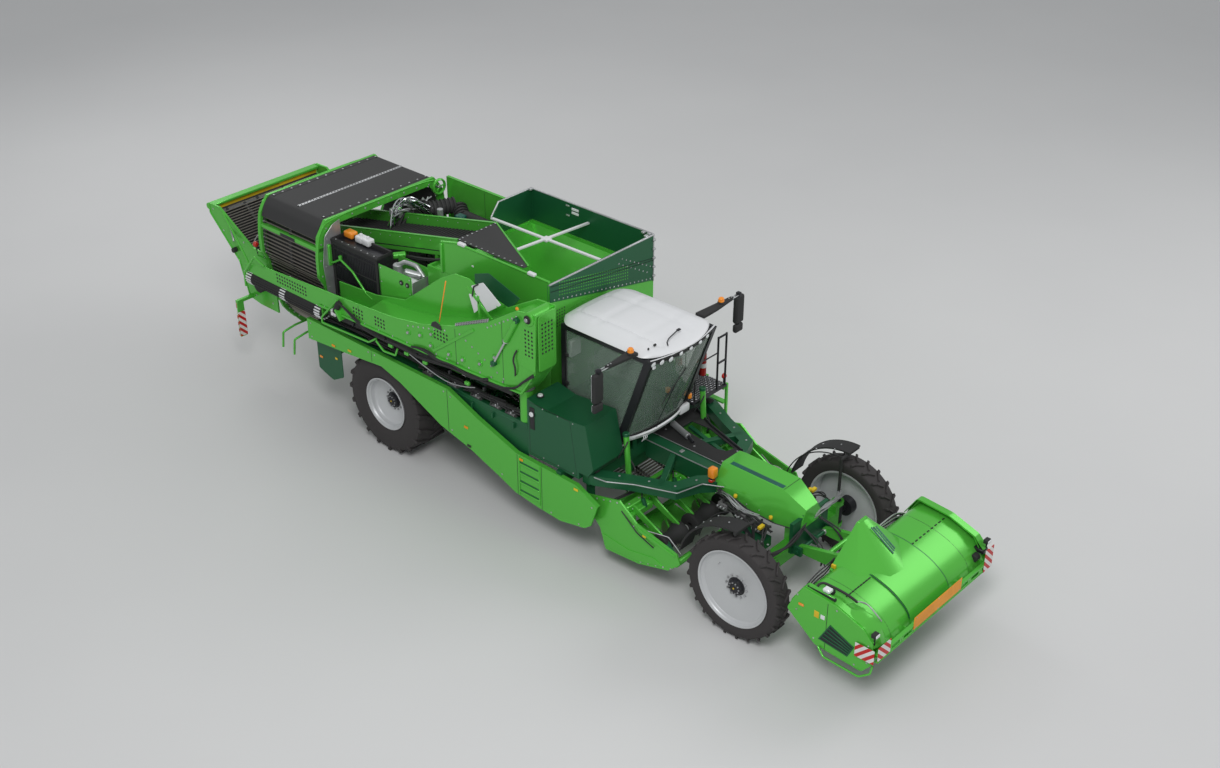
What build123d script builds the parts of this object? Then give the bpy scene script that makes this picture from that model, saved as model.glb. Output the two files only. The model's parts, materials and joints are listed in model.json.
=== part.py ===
"""Self-propelled potato harvester with a front haulm topper.

Millimetres, +Z up, ground at z = 0, origin under the middle of the machine.
The front of the machine faces -Y, its right-hand side faces -X.
"""
import os
from math import cos, radians, sin

from build123d import *

os.makedirs("parts", exist_ok=True)

# ---------------------------------------------------------------- driving dimensions
FRONT_END_Y = -7660
REAR_END_Y = 7660
BODY_HALF_WIDTH = 1680
FRONT_AXLE_Y = -5150
REAR_AXLE_Y = 2510

FRONT_TYRE_RADIUS = 870
FRONT_TYRE_WIDTH = 330
FRONT_WHEEL_X = 1400
FRONT_RIM_RADIUS = 640
FRONT_KINGPIN_X = 1100

REAR_TYRE_RADIUS = 930
REAR_TYRE_WIDTH = 740
REAR_WHEEL_X = 1225
REAR_RIM_RADIUS = 490
REAR_KINGPIN_X = 700

FIT = 0.3                 # running clearance between parts that fit together
KINGPIN_RADIUS = 55
SPINDLE_RADIUS = 50
PIVOT_PIN_RADIUS = 30

# chassis: two long beams, cross members and an upper deck
BEAM_INNER_X = 510
BEAM_OUTER_X = 600
BEAM_BOTTOM_Z = 1180
BEAM_TOP_Z = 1400
CHASSIS_FRONT_Y = -2300
DECK_BOTTOM_Z = 1900
DECK_TOP_Z = 2000
DECK_FRONT_Y = -950
POST_DEPTH = 100
PANEL_THICKNESS = 30
PANEL_INNER_X = BODY_HALF_WIDTH - PANEL_THICKNESS

# front portal and neck
PORTAL_TOP_Z = 1600
PORTAL_BOTTOM_Z = BEAM_TOP_Z
NECK_HALF_WIDTH = 200
NECK_BOTTOM_Z = 1300
NECK_FRONT_Y = -5400
HOOD_HALF_WIDTH = 360
HOOD_REAR_Y = -3900
HOOD_FRONT_Y = -5400
HOOD_TOP_Z = 1890

# cab
CAB_RIGHT_X = -870        # the cab stands to the right, the platform has the left side
CAB_LEFT_X = 680
CAB_CENTRE_X = (CAB_RIGHT_X + CAB_LEFT_X) / 2
CAB_REAR_Y = -1100
CAB_FLOOR_FRONT_Y = -2380
CAB_ROOF_FRONT_Y = -2960
CAB_FLOOR_Z = DECK_BOTTOM_Z
CAB_FLOOR_THICKNESS = 60
CAB_HEAD_Z = 3560
CAB_WALL = 60
CAB_PILLAR = 75
CAB_ROOF_THICKNESS = 140
CAB_SILL_Z = 2120
GLASS_THICKNESS = 8

# bunker
BUNKER_RIGHT_X = -880
BUNKER_LEFT_X = 1600
BUNKER_FRONT_Y = -870
BUNKER_REAR_Y = 1950
BUNKER_WALL = 40
BUNKER_RIM_Z = 3560
BUNKER_FLAP_TOP_Z = 4130

# ring elevator
RING_FRONT_Y = 4100
RING_REAR_Y = 5760
RING_PLATE = 60
RING_TOP_Z = 3830
RING_BOTTOM_Z = 1120
RING_BAND = 130
RING_WEB_INSET = 40
RING_WEB_THICKNESS = 60

# filling conveyor over the engine deck
CONVEYOR_RIGHT_X = -500
CONVEYOR_LEFT_X = 400
CONVEYOR_REAR_Y = 5300
CONVEYOR_FRONT_Y = 1600
CONVEYOR_REAR_Z = 2820
CONVEYOR_FRONT_Z = 3671
CONVEYOR_FLOOR = 30
CONVEYOR_WALL_HEIGHT = 330

# discharge boom on the right-hand side
BOOM_OUTER_X = -BODY_HALF_WIDTH
BOOM_INNER_X = -1250
BOOM_PLATE = 25
BOOM_REAR_Y = 3850
BOOM_PANEL_REAR_Y = 6020
BOOM_PIVOT_X = -1465
BOOM_PIVOT_Y = -900
BOOM_POST_RADIUS = 110
BOOM_POST_TOP_Z = 2560
BOOM_FLOOR_FRONT_Z = 2600
BOOM_FLOOR_REAR_Z = 2390
BOOM_BELT_DEPTH = 150

# haulm topper
TOPPER_HALF_WIDTH = 1520
TOPPER_SHEET = 25
TOPPER_PIVOT_Y = -5480
TOPPER_PIVOT_Z = 1100
ROTOR_Y = -6830
ROTOR_Z = 1010
ROTOR_TUBE_RADIUS = 90
ROTOR_FLAIL_RADIUS = 290

# digging unit
DIGGER_HALF_WIDTH = 1515
DIGGER_PLATE = 30
DIGGER_PIVOT_Y = -2225
DIGGER_PIVOT_Z = 1100
DIABOLO_Y = -3600
DIABOLO_Z = 800
DIABOLO_RADIUS = 190
DIABOLO_SHAFT_RADIUS = 30
ROW_SPACING = 750

SIDES = (("right", -1), ("left", 1))


# ---------------------------------------------------------------- shape helpers
def block(x_range, y_range, z_range, mode=Mode.ADD):
    """Box between two x, two y and two z positions."""
    (x0, x1), (y0, y1), (z0, z1) = sorted(x_range), sorted(y_range), sorted(z_range)
    with Locations(((x0 + x1) / 2, (y0 + y1) / 2, (z0 + z1) / 2)):
        Box(x1 - x0, y1 - y0, z1 - z0, mode=mode)


def side_plate(outline, x_range, mode=Mode.ADD):
    """Plate with a (y, z) outline between two x positions."""
    x0, x1 = sorted(x_range)
    with BuildSketch(Plane.YZ.offset(x0)) as profile:
        with BuildLine():
            Polyline(*outline, close=True)
        make_face()
    extrude(profile.sketch, amount=x1 - x0, mode=mode)


def cross_plate(outline, y_range, mode=Mode.ADD):
    """Plate with an (x, z) outline between two y positions."""
    y0, y1 = sorted(y_range)
    with BuildSketch(Plane.XZ.offset(-y1)) as profile:
        with BuildLine():
            Polyline(*outline, close=True)
        make_face()
    extrude(profile.sketch, amount=y1 - y0, mode=mode)


def flat_plate(outline, z_range, mode=Mode.ADD):
    """Plate with an (x, y) outline between two heights."""
    z0, z1 = sorted(z_range)
    with BuildSketch(Plane.XY.offset(z0)) as profile:
        with BuildLine():
            Polyline(*outline, close=True)
        make_face()
    extrude(profile.sketch, amount=z1 - z0, mode=mode)


def round_bar(start, end, radius, mode=Mode.ADD):
    """Straight round bar between two points."""
    run = Vector(*end) - Vector(*start)
    with BuildSketch(Plane(origin=start, z_dir=run)) as profile:
        Circle(radius)
    extrude(profile.sketch, amount=run.length, mode=mode)


def turned(outline, centre):
    """Solid turned about an X axis through centre, from an (x offset, radius) outline."""
    wheel_plane = Plane(origin=centre, x_dir=(1, 0, 0), z_dir=(0, -1, 0))
    with BuildSketch(wheel_plane) as profile:
        with BuildLine():
            Polyline(*outline, close=True)
        make_face()
    revolve(profile.sketch, axis=Axis(centre, (1, 0, 0)))


def mirrored_x(outline, side):
    """The same (x, y) or (x, z) outline for side +1, or mirrored for side -1."""
    return [(side * x, other) for x, other in outline]


def finish(part, label):
    """Name a finished piece and write its file."""
    part.label = label
    export_step(part, f"parts/{label}.step")


# ---------------------------------------------------------------- chassis
POST_YS = (DECK_FRONT_Y, 1350, 3550)
CROSS_YS = (CHASSIS_FRONT_Y + 50, 1350, 3600, RING_FRONT_Y - 150)
DECK_CROSS_YS = (DECK_FRONT_Y, 2100, 3900)
ENGINE_X = (480, 1380)
ENGINE_Y = (2300, 3700)
ENGINE_TOP_Z = 2950
CRADLE_DEPTH = 100
RADIATOR_X = (-1200, -900)
RADIATOR_Y = (2850, 4050)
RADIATOR_TOP_Z = 3450
CABINET_X = (-1200, -760)
CABINET_Y = (2000, 2820)
CABINET_TOP_Z = 3050
TANK_OUTRIGGER_Y = -1800
REAR_OUTRIGGER_Y = 3750
MID_OUTRIGGER_Y = 600
OUTRIGGER_BOTTOM_Z = 1240
TANK_BOTTOM_Z = 1480
REAR_OUTRIGGER_Z = (1740, 1860)

with BuildPart() as main_frame:
    for side in (-1, 1):
        beam_x = (side * BEAM_INNER_X, side * BEAM_OUTER_X)
        block(beam_x, (CHASSIS_FRONT_Y, RING_FRONT_Y), (BEAM_BOTTOM_Z, BEAM_TOP_Z))
        block(beam_x, (DECK_FRONT_Y, RING_FRONT_Y), (DECK_BOTTOM_Z, DECK_TOP_Z))
        for post_y in POST_YS:
            block(beam_x, (post_y, post_y + POST_DEPTH), (BEAM_TOP_Z, DECK_BOTTOM_Z))
        arm_x = (side * BEAM_INNER_X, side * PANEL_INNER_X)
        tank_y = (TANK_OUTRIGGER_Y, TANK_OUTRIGGER_Y + CRADLE_DEPTH)
        block(arm_x, tank_y, (OUTRIGGER_BOTTOM_Z, TANK_BOTTOM_Z))
        mid_y = (MID_OUTRIGGER_Y, MID_OUTRIGGER_Y + CRADLE_DEPTH)
        block(arm_x, mid_y, (BEAM_TOP_Z, BEAM_TOP_Z + 120))
        rear_y = (REAR_OUTRIGGER_Y, REAR_OUTRIGGER_Y + CRADLE_DEPTH)
        block(arm_x, rear_y, REAR_OUTRIGGER_Z)
        block(beam_x, rear_y, (BEAM_TOP_Z, DECK_BOTTOM_Z))
    for cross_y in CROSS_YS:
        block((-BEAM_INNER_X, BEAM_INNER_X), (cross_y, cross_y + POST_DEPTH), (BEAM_BOTTOM_Z, BEAM_TOP_Z))
    for cross_y in DECK_CROSS_YS:
        block((-BEAM_INNER_X, BEAM_INNER_X), (cross_y, cross_y + POST_DEPTH), (DECK_BOTTOM_Z, DECK_TOP_Z))
    for cradle_y in (ENGINE_Y[0], ENGINE_Y[1] - CRADLE_DEPTH):
        cradle_run = (cradle_y, cradle_y + CRADLE_DEPTH)
        block((BEAM_INNER_X, BUNKER_LEFT_X - BUNKER_WALL), cradle_run, (DECK_BOTTOM_Z, DECK_TOP_Z))
    for cradle_y in (CABINET_Y[0] + 50, RADIATOR_Y[0] + 50, RADIATOR_Y[1] - 150):
        cradle_run = (cradle_y, cradle_y + CRADLE_DEPTH)
        block((-BEAM_INNER_X, RADIATOR_X[0]), cradle_run, (DECK_BOTTOM_Z, DECK_TOP_Z))
    boom_foot_y = (BOOM_PIVOT_Y - BOOM_POST_RADIUS, BOOM_PIVOT_Y + BOOM_POST_RADIUS)
    block((-BEAM_INNER_X, BOOM_PIVOT_X - BOOM_POST_RADIUS), boom_foot_y, (DECK_BOTTOM_Z, DECK_TOP_Z))
    for bunker_y in (-300, 1200):
        bunker_run = (bunker_y, bunker_y + CRADLE_DEPTH)
        block((BEAM_INNER_X, BUNKER_LEFT_X - BUNKER_WALL), bunker_run, (DECK_BOTTOM_Z, DECK_TOP_Z))
finish(main_frame.part, "main_frame")

# One arm of the V-shaped portal, seen from above, right-hand side mirrored.
PORTAL_ARM = [
    (1320, CHASSIS_FRONT_Y),
    (1530, CHASSIS_FRONT_Y),
    (1500, -2400),
    (1230, -2900),
    (960, -3560),
    (560, -3720),
    (NECK_HALF_WIDTH, -4060),
    (NECK_HALF_WIDTH, -3760),
    (430, -3540),
    (800, -3400),
    (1060, -2830),
]
DIGGER_LUG_X = (1400, 1450)
LUG_HALF = 70
HEAD_THICKNESS = 60
TOPPER_LUG_XS = (-400, 0, 400)
TOPPER_LUG_WIDTH = 50

with BuildPart() as front_portal_frame:
    block((-1530, 1530), (CHASSIS_FRONT_Y, CHASSIS_FRONT_Y + 150), (PORTAL_BOTTOM_Z, PORTAL_TOP_Z))
    for side in (-1, 1):
        flat_plate(mirrored_x(PORTAL_ARM, side), (PORTAL_BOTTOM_Z + 20, PORTAL_TOP_Z))
        lug_x = (side * DIGGER_LUG_X[0], side * DIGGER_LUG_X[1])
        lug_y = (DIGGER_PIVOT_Y - LUG_HALF, DIGGER_PIVOT_Y + LUG_HALF)
        block(lug_x, lug_y, (DIGGER_PIVOT_Z - LUG_HALF, PORTAL_BOTTOM_Z))
        pin_start = (side * DIGGER_LUG_X[0], DIGGER_PIVOT_Y, DIGGER_PIVOT_Z)
        pin_end = (side * (DIGGER_HALF_WIDTH + 15), DIGGER_PIVOT_Y, DIGGER_PIVOT_Z)
        round_bar(pin_start, pin_end, PIVOT_PIN_RADIUS)
        mount_x = (side * 420, side * 520)
        block(mount_x, (CHASSIS_FRONT_Y, CHASSIS_FRONT_Y + 100), (PORTAL_TOP_Z, CAB_FLOOR_Z))
    block(
        (-NECK_HALF_WIDTH, NECK_HALF_WIDTH),
        (CHASSIS_FRONT_Y, NECK_FRONT_Y),
        (NECK_BOTTOM_Z, PORTAL_TOP_Z),
    )
    head_y = (NECK_FRONT_Y, NECK_FRONT_Y + HEAD_THICKNESS)
    block((-450, 450), head_y, (TOPPER_PIVOT_Z - LUG_HALF, PORTAL_TOP_Z - 40))
    for lug_centre in TOPPER_LUG_XS:
        lug_x = (lug_centre - TOPPER_LUG_WIDTH / 2, lug_centre + TOPPER_LUG_WIDTH / 2)
        lug_y = (TOPPER_PIVOT_Y - LUG_HALF, NECK_FRONT_Y)
        block(lug_x, lug_y, (TOPPER_PIVOT_Z - LUG_HALF, TOPPER_PIVOT_Z + LUG_HALF))
    round_bar(
        (TOPPER_LUG_XS[0] - 60, TOPPER_PIVOT_Y, TOPPER_PIVOT_Z),
        (TOPPER_LUG_XS[-1] + 60, TOPPER_PIVOT_Y, TOPPER_PIVOT_Z),
        PIVOT_PIN_RADIUS,
    )
finish(front_portal_frame.part, "front_portal_frame")

with BuildPart() as neck_cover:
    # Side outline: rear edge, two roof facets, nose that drops to the front.
    hood_outline = [
        (HOOD_REAR_Y, PORTAL_TOP_Z),
        (HOOD_REAR_Y, HOOD_TOP_Z - 20),
        (HOOD_REAR_Y - 400, HOOD_TOP_Z),
        (HOOD_FRONT_Y + 340, HOOD_TOP_Z - 30),
        (HOOD_FRONT_Y, PORTAL_TOP_Z + 60),
        (HOOD_FRONT_Y, PORTAL_TOP_Z),
    ]
    side_plate(hood_outline, (-HOOD_HALF_WIDTH, HOOD_HALF_WIDTH))
    long_edges = neck_cover.edges().filter_by(GeomType.LINE)
    upper_side_edges = [
        edge
        for edge in long_edges
        if abs(edge.center().X) > HOOD_HALF_WIDTH - 1 and edge.center().Z > HOOD_TOP_Z - 90
        and edge.length > 200
    ]
    chamfer(upper_side_edges, length=90)
finish(neck_cover.part, "neck_cover")

# ---------------------------------------------------------------- axles, knuckles and wheels
FORK_REACH = 230          # kingpin lugs above and below the wheel centre
LUG_THICKNESS = 60
LUG_RADIUS = 95
FORK_ROOT = (100, 190)    # distance of the fork's back plate inside the kingpin
AXLE_HALF_DEPTH = 100
AXLE_HALF_HEIGHT = 110


def axle_beam(axle_y, centre_z, kingpin_x):
    """Axle beam with a fork and two bored lugs at each end."""
    depth = (axle_y - AXLE_HALF_DEPTH, axle_y + AXLE_HALF_DEPTH)
    height = (centre_z - AXLE_HALF_HEIGHT, centre_z + AXLE_HALF_HEIGHT)
    block((-kingpin_x + FORK_ROOT[0], kingpin_x - FORK_ROOT[0]), depth, height)
    for side in (-1, 1):
        root_x = (side * (kingpin_x - FORK_ROOT[0]), side * (kingpin_x - FORK_ROOT[1]))
        block(root_x, depth, (centre_z - FORK_REACH, centre_z + FORK_REACH))
        for top in (centre_z - FORK_REACH + LUG_THICKNESS, centre_z + FORK_REACH):
            centre = (side * kingpin_x, axle_y, top - LUG_THICKNESS)
            lug_x = (side * kingpin_x, side * (kingpin_x - FORK_ROOT[0]))
            lug_depth = (axle_y - LUG_RADIUS, axle_y + LUG_RADIUS)
            block(lug_x, lug_depth, (top - LUG_THICKNESS, top))
            round_bar(centre, (side * kingpin_x, axle_y, top), LUG_RADIUS)
        bore_from = (side * kingpin_x, axle_y, centre_z - FORK_REACH)
        bore_to = (side * kingpin_x, axle_y, centre_z + FORK_REACH)
        round_bar(bore_from, bore_to, KINGPIN_RADIUS + FIT, mode=Mode.SUBTRACT)


with BuildPart() as front_axle:
    axle_beam(FRONT_AXLE_Y, FRONT_TYRE_RADIUS, FRONT_KINGPIN_X)
    pedestal_y = (FRONT_AXLE_Y - AXLE_HALF_DEPTH, FRONT_AXLE_Y + AXLE_HALF_DEPTH)
    pedestal_z = (FRONT_TYRE_RADIUS + AXLE_HALF_HEIGHT, NECK_BOTTOM_Z)
    block((-NECK_HALF_WIDTH + 40, NECK_HALF_WIDTH - 40), pedestal_y, pedestal_z)
finish(front_axle.part, "front_axle")

with BuildPart() as rear_axle:
    axle_beam(REAR_AXLE_Y, REAR_TYRE_RADIUS, REAR_KINGPIN_X)
    for side in (-1, 1):
        pad_x = (side * BEAM_INNER_X, side * (REAR_KINGPIN_X - FORK_ROOT[0]))
        pad_y = (REAR_AXLE_Y - AXLE_HALF_DEPTH, REAR_AXLE_Y + AXLE_HALF_DEPTH)
        block(pad_x, pad_y, (REAR_TYRE_RADIUS + FORK_REACH, BEAM_BOTTOM_Z))
finish(rear_axle.part, "rear_axle")

KNUCKLE_RADIUS = 80
FENDER_INNER_RADIUS = FRONT_TYRE_RADIUS + 150
FENDER_THICKNESS = 25
FENDER_HALF_WIDTH = 150
FENDER_ANGLES = (12, 92)   # degrees from the rear horizontal, over the rear quarter
FENDER_STEM_RADIUS = 25

# name, axle y, centre height, kingpin x, how far out the spindle reaches
KNUCKLES = (
    ("front", FRONT_AXLE_Y, FRONT_TYRE_RADIUS, FRONT_KINGPIN_X, FRONT_WHEEL_X + 60),
    ("rear", REAR_AXLE_Y, REAR_TYRE_RADIUS, REAR_KINGPIN_X, REAR_WHEEL_X + 20),
)
for axle_name, axle_y, centre_z, kingpin_x, spindle_end in KNUCKLES:
    for side_name, side in SIDES:
        with BuildPart() as knuckle:
            pin_low = (side * kingpin_x, axle_y, centre_z - FORK_REACH)
            pin_high = (side * kingpin_x, axle_y, centre_z + FORK_REACH)
            round_bar(pin_low, pin_high, KINGPIN_RADIUS)
            body_low = (side * kingpin_x, axle_y, centre_z - FORK_REACH + LUG_THICKNESS + 1)
            body_high = (side * kingpin_x, axle_y, centre_z + FORK_REACH - LUG_THICKNESS - 1)
            round_bar(body_low, body_high, KNUCKLE_RADIUS)
            hub_axis_start = (side * kingpin_x, axle_y, centre_z)
            round_bar(hub_axis_start, (side * spindle_end, axle_y, centre_z), SPINDLE_RADIUS)
        finish(knuckle.part, f"{axle_name}_knuckle_{side_name}")

# Mudguards over the rear quarter of the front tyres, each on a stem from its knuckle.
for side_name, side in SIDES:
    with BuildPart() as mudguard:
        wheel_centre = (side * FRONT_WHEEL_X, FRONT_AXLE_Y, FRONT_TYRE_RADIUS)
        fender_plane = Plane(origin=wheel_centre, x_dir=(0, 1, 0), z_dir=(1, 0, 0))
        first, last = FENDER_ANGLES
        with BuildSketch(fender_plane) as arc_band:
            with BuildLine():
                outer = CenterArc((0, 0), FENDER_INNER_RADIUS + FENDER_THICKNESS, first, last - first)
                inner = CenterArc((0, 0), FENDER_INNER_RADIUS, first, last - first)
                Line(outer @ 0, inner @ 0)
                Line(outer @ 1, inner @ 1)
            make_face()
        extrude(arc_band.sketch, amount=FENDER_HALF_WIDTH, both=True)
        stem_z = FRONT_TYRE_RADIUS + FENDER_INNER_RADIUS - FENDER_STEM_RADIUS - 5
        stem_foot = (side * FRONT_KINGPIN_X, FRONT_AXLE_Y, FRONT_TYRE_RADIUS + FORK_REACH)
        stem_bend = (side * FRONT_KINGPIN_X, FRONT_AXLE_Y, stem_z)
        stem_end = (side * (FRONT_WHEEL_X + FENDER_HALF_WIDTH), FRONT_AXLE_Y, stem_z)
        round_bar(stem_foot, stem_bend, FENDER_STEM_RADIUS)
        round_bar(stem_bend, stem_end, FENDER_STEM_RADIUS)
        with Locations(stem_bend):
            Sphere(FENDER_STEM_RADIUS)
        block(
            (side * (FRONT_WHEEL_X - FENDER_HALF_WIDTH), side * (FRONT_WHEEL_X + FENDER_HALF_WIDTH)),
            (FRONT_AXLE_Y - FENDER_STEM_RADIUS, FRONT_AXLE_Y + FENDER_STEM_RADIUS),
            (stem_z, FRONT_TYRE_RADIUS + FENDER_INNER_RADIUS + FENDER_THICKNESS / 2),
        )
    finish(mudguard.part, f"front_mudguard_{side_name}")


BEAD_SHARE = 0.92         # rim width as a share of the tyre width


def tyre_outline(half_width, outer_radius, rim_radius):
    """Tyre section as (x offset, radius): bead, bulged wall, rounded shoulder, crown."""
    height = outer_radius - rim_radius
    half = [
        (half_width * BEAD_SHARE, rim_radius),
        (half_width * 0.97, rim_radius + height * 0.22),
        (half_width, rim_radius + height * 0.50),
        (half_width * 0.98, rim_radius + height * 0.80),
        (half_width * 0.88, rim_radius + height * 0.95),
        (half_width * 0.60, outer_radius),
    ]
    return half + [(-offset, radius) for offset, radius in reversed(half)]


def rim_outline(side, half_width, rim_radius, disc_offset, hub_radius, bore_radius):
    """Rim section: barrel with flanges, dished disc and hub, as (x offset, radius)."""
    lip = half_width * BEAD_SHARE
    barrel_outer = rim_radius - FIT
    barrel_inner = barrel_outer - 22
    flange_inner = barrel_outer - 45
    disc_inner = disc_offset - 20
    hub_out = disc_offset + 45
    hub_in = disc_offset - 130
    points = [
        (lip, barrel_outer),
        (lip, barrel_inner),
        (disc_offset, flange_inner),
        (disc_offset, hub_radius),
        (hub_out, hub_radius - 15),
        (hub_out, bore_radius),
        (hub_in, bore_radius),
        (hub_in, hub_radius - 15),
        (disc_inner, hub_radius),
        (disc_inner, flange_inner),
        (-lip, barrel_inner),
        (-lip, barrel_outer),
    ]
    return [(side * offset, radius) for offset, radius in points]


# name, axle y, wheel x, tyre radius, tyre width, rim radius, disc offset, hub radius
WHEELS = (
    ("front", FRONT_AXLE_Y, FRONT_WHEEL_X, FRONT_TYRE_RADIUS, FRONT_TYRE_WIDTH, FRONT_RIM_RADIUS, 60, 150),
    ("rear", REAR_AXLE_Y, REAR_WHEEL_X, REAR_TYRE_RADIUS, REAR_TYRE_WIDTH, REAR_RIM_RADIUS, 40, 170),
)
for axle_name, axle_y, wheel_x, tyre_radius, width, rim_radius, disc_offset, hub_radius in WHEELS:
    for side_name, side in SIDES:
        centre = (side * wheel_x, axle_y, tyre_radius)
        with BuildPart() as tyre:
            turned(tyre_outline(width / 2, tyre_radius, rim_radius), centre)
        finish(tyre.part, f"{axle_name}_tyre_{side_name}")
        with BuildPart() as rim:
            bore = SPINDLE_RADIUS + FIT
            turned(rim_outline(side, width / 2, rim_radius, disc_offset, hub_radius, bore), centre)
        finish(rim.part, f"{axle_name}_rim_{side_name}")

# ---------------------------------------------------------------- cab
FLOOR_TOP_Z = CAB_FLOOR_Z + CAB_FLOOR_THICKNESS
HEADER = 70               # depth of the frame under the roof


def windscreen_y(height, inset=0):
    """y of the forward-leaning windscreen plane at a height, moved inwards by inset."""
    share = (height - CAB_FLOOR_Z) / (CAB_HEAD_Z - CAB_FLOOR_Z)
    return CAB_FLOOR_FRONT_Y + share * (CAB_ROOF_FRONT_Y - CAB_FLOOR_FRONT_Y) + inset


def cab_outline(inset, low_z, high_z):
    """Side outline of the cab, or of its inside, between two heights."""
    return [
        (CAB_REAR_Y - inset, low_z),
        (windscreen_y(low_z, inset), low_z),
        (windscreen_y(high_z, inset), high_z),
        (CAB_REAR_Y - inset, high_z),
    ]


WINDOW_LOW_Z = CAB_SILL_Z
WINDOW_HIGH_Z = CAB_HEAD_Z - HEADER
CAB_INSIDE_X = (CAB_RIGHT_X + CAB_WALL, CAB_LEFT_X - CAB_WALL)


def side_window(low_z, high_z, gap=0):
    """Side window or door opening outline between the pillars, shrunk by gap."""
    return [
        (CAB_REAR_Y - CAB_PILLAR - gap, low_z + gap),
        (windscreen_y(low_z, CAB_WALL + CAB_PILLAR + gap), low_z + gap),
        (windscreen_y(high_z, CAB_WALL + CAB_PILLAR + gap), high_z - gap),
        (CAB_REAR_Y - CAB_PILLAR - gap, high_z - gap),
    ]


# Door hinges: pins on the cab's rear left pillar, knuckles on the door.
HINGE_X = CAB_LEFT_X + 18
HINGE_Y = CAB_REAR_Y - CAB_PILLAR - 8
HINGE_ZS = (2250, 3200)
HINGE_PIN_RADIUS = 8
HINGE_KNUCKLE_RADIUS = 16
HINGE_LEAF = 25
HINGE_KNUCKLE_LENGTH = 55

with BuildPart() as cab_shell:
    side_plate(cab_outline(0, CAB_FLOOR_Z, CAB_HEAD_Z), (CAB_RIGHT_X, CAB_LEFT_X))
    side_plate(cab_outline(CAB_WALL, FLOOR_TOP_Z, CAB_HEAD_Z), CAB_INSIDE_X, mode=Mode.SUBTRACT)
    right_wall = (CAB_RIGHT_X, CAB_INSIDE_X[0])
    left_wall = (CAB_INSIDE_X[1], CAB_LEFT_X)
    side_plate(side_window(WINDOW_LOW_Z, WINDOW_HIGH_Z), right_wall, mode=Mode.SUBTRACT)
    side_plate(side_window(FLOOR_TOP_Z, WINDOW_HIGH_Z), left_wall, mode=Mode.SUBTRACT)
    glass_x = (CAB_INSIDE_X[0] + 15, CAB_INSIDE_X[1] - 15)
    block(glass_x, (CAB_REAR_Y - CAB_WALL, CAB_REAR_Y), (2300, WINDOW_HIGH_Z), mode=Mode.SUBTRACT)
    front_opening = [
        (windscreen_y(FLOOR_TOP_Z + 60, CAB_WALL) + 5, FLOOR_TOP_Z + 60),
        (windscreen_y(FLOOR_TOP_Z + 60) - 5, FLOOR_TOP_Z + 60),
        (windscreen_y(WINDOW_HIGH_Z) - 5, WINDOW_HIGH_Z),
        (windscreen_y(WINDOW_HIGH_Z, CAB_WALL) + 5, WINDOW_HIGH_Z),
    ]
    side_plate(front_opening, glass_x, mode=Mode.SUBTRACT)
    for hinge_z in HINGE_ZS:
        leaf_x = (CAB_LEFT_X, HINGE_X + HINGE_KNUCKLE_RADIUS)
        leaf_top = hinge_z + HINGE_LEAF
        block(leaf_x, (HINGE_Y, HINGE_Y + 50), (hinge_z, leaf_top))
        round_bar((HINGE_X, HINGE_Y, hinge_z), (HINGE_X, HINGE_Y, leaf_top), HINGE_KNUCKLE_RADIUS)
        pin_top = leaf_top + HINGE_KNUCKLE_LENGTH
        round_bar((HINGE_X, HINGE_Y, hinge_z), (HINGE_X, HINGE_Y, pin_top), HINGE_PIN_RADIUS)
finish(cab_shell.part, "cab_shell")

with BuildPart() as cab_glass:
    right_pane = (CAB_RIGHT_X + 20, CAB_RIGHT_X + 20 + GLASS_THICKNESS)
    side_plate(side_window(WINDOW_LOW_Z, WINDOW_HIGH_Z), right_pane)
    rear_pane = (CAB_REAR_Y - 30 - GLASS_THICKNESS, CAB_REAR_Y - 30)
    block(glass_x, rear_pane, (2300, WINDOW_HIGH_Z))
    screen = [
        (windscreen_y(FLOOR_TOP_Z + 60, 20), FLOOR_TOP_Z + 60),
        (windscreen_y(FLOOR_TOP_Z + 60, 20 + GLASS_THICKNESS), FLOOR_TOP_Z + 60),
        (windscreen_y(WINDOW_HIGH_Z, 20 + GLASS_THICKNESS), WINDOW_HIGH_Z),
        (windscreen_y(WINDOW_HIGH_Z, 20), WINDOW_HIGH_Z),
    ]
    side_plate(screen, glass_x)
finish(cab_glass.part, "cab_glass")

DOOR_GAP = 8
DOOR_FRAME = 70
with BuildPart() as cab_door:
    door_x = (CAB_INSIDE_X[1] + 6, CAB_LEFT_X)
    side_plate(side_window(FLOOR_TOP_Z, WINDOW_HIGH_Z, DOOR_GAP), door_x)
    side_plate(side_window(FLOOR_TOP_Z, WINDOW_HIGH_Z, DOOR_GAP + DOOR_FRAME), door_x, mode=Mode.SUBTRACT)
    for hinge_z in HINGE_ZS:
        knuckle_low = hinge_z + HINGE_LEAF + FIT
        knuckle_high = knuckle_low + HINGE_KNUCKLE_LENGTH
        round_bar((HINGE_X, HINGE_Y, knuckle_low), (HINGE_X, HINGE_Y, knuckle_high), HINGE_KNUCKLE_RADIUS)
        strap_x = (CAB_LEFT_X, HINGE_X + HINGE_KNUCKLE_RADIUS)
        block(strap_x, (HINGE_Y - 70, HINGE_Y), (knuckle_low, knuckle_high))
        hinge_bore = HINGE_PIN_RADIUS + FIT
        bore_low = (HINGE_X, HINGE_Y, knuckle_low)
        round_bar(bore_low, (HINGE_X, HINGE_Y, knuckle_high), hinge_bore, mode=Mode.SUBTRACT)
finish(cab_door.part, "cab_door")

with BuildPart() as cab_door_glass:
    pane_x = (CAB_LEFT_X - 30 - GLASS_THICKNESS, CAB_LEFT_X - 30)
    side_plate(side_window(FLOOR_TOP_Z, WINDOW_HIGH_Z, DOOR_GAP + DOOR_FRAME), pane_x)
finish(cab_door_glass.part, "cab_door_glass")

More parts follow.
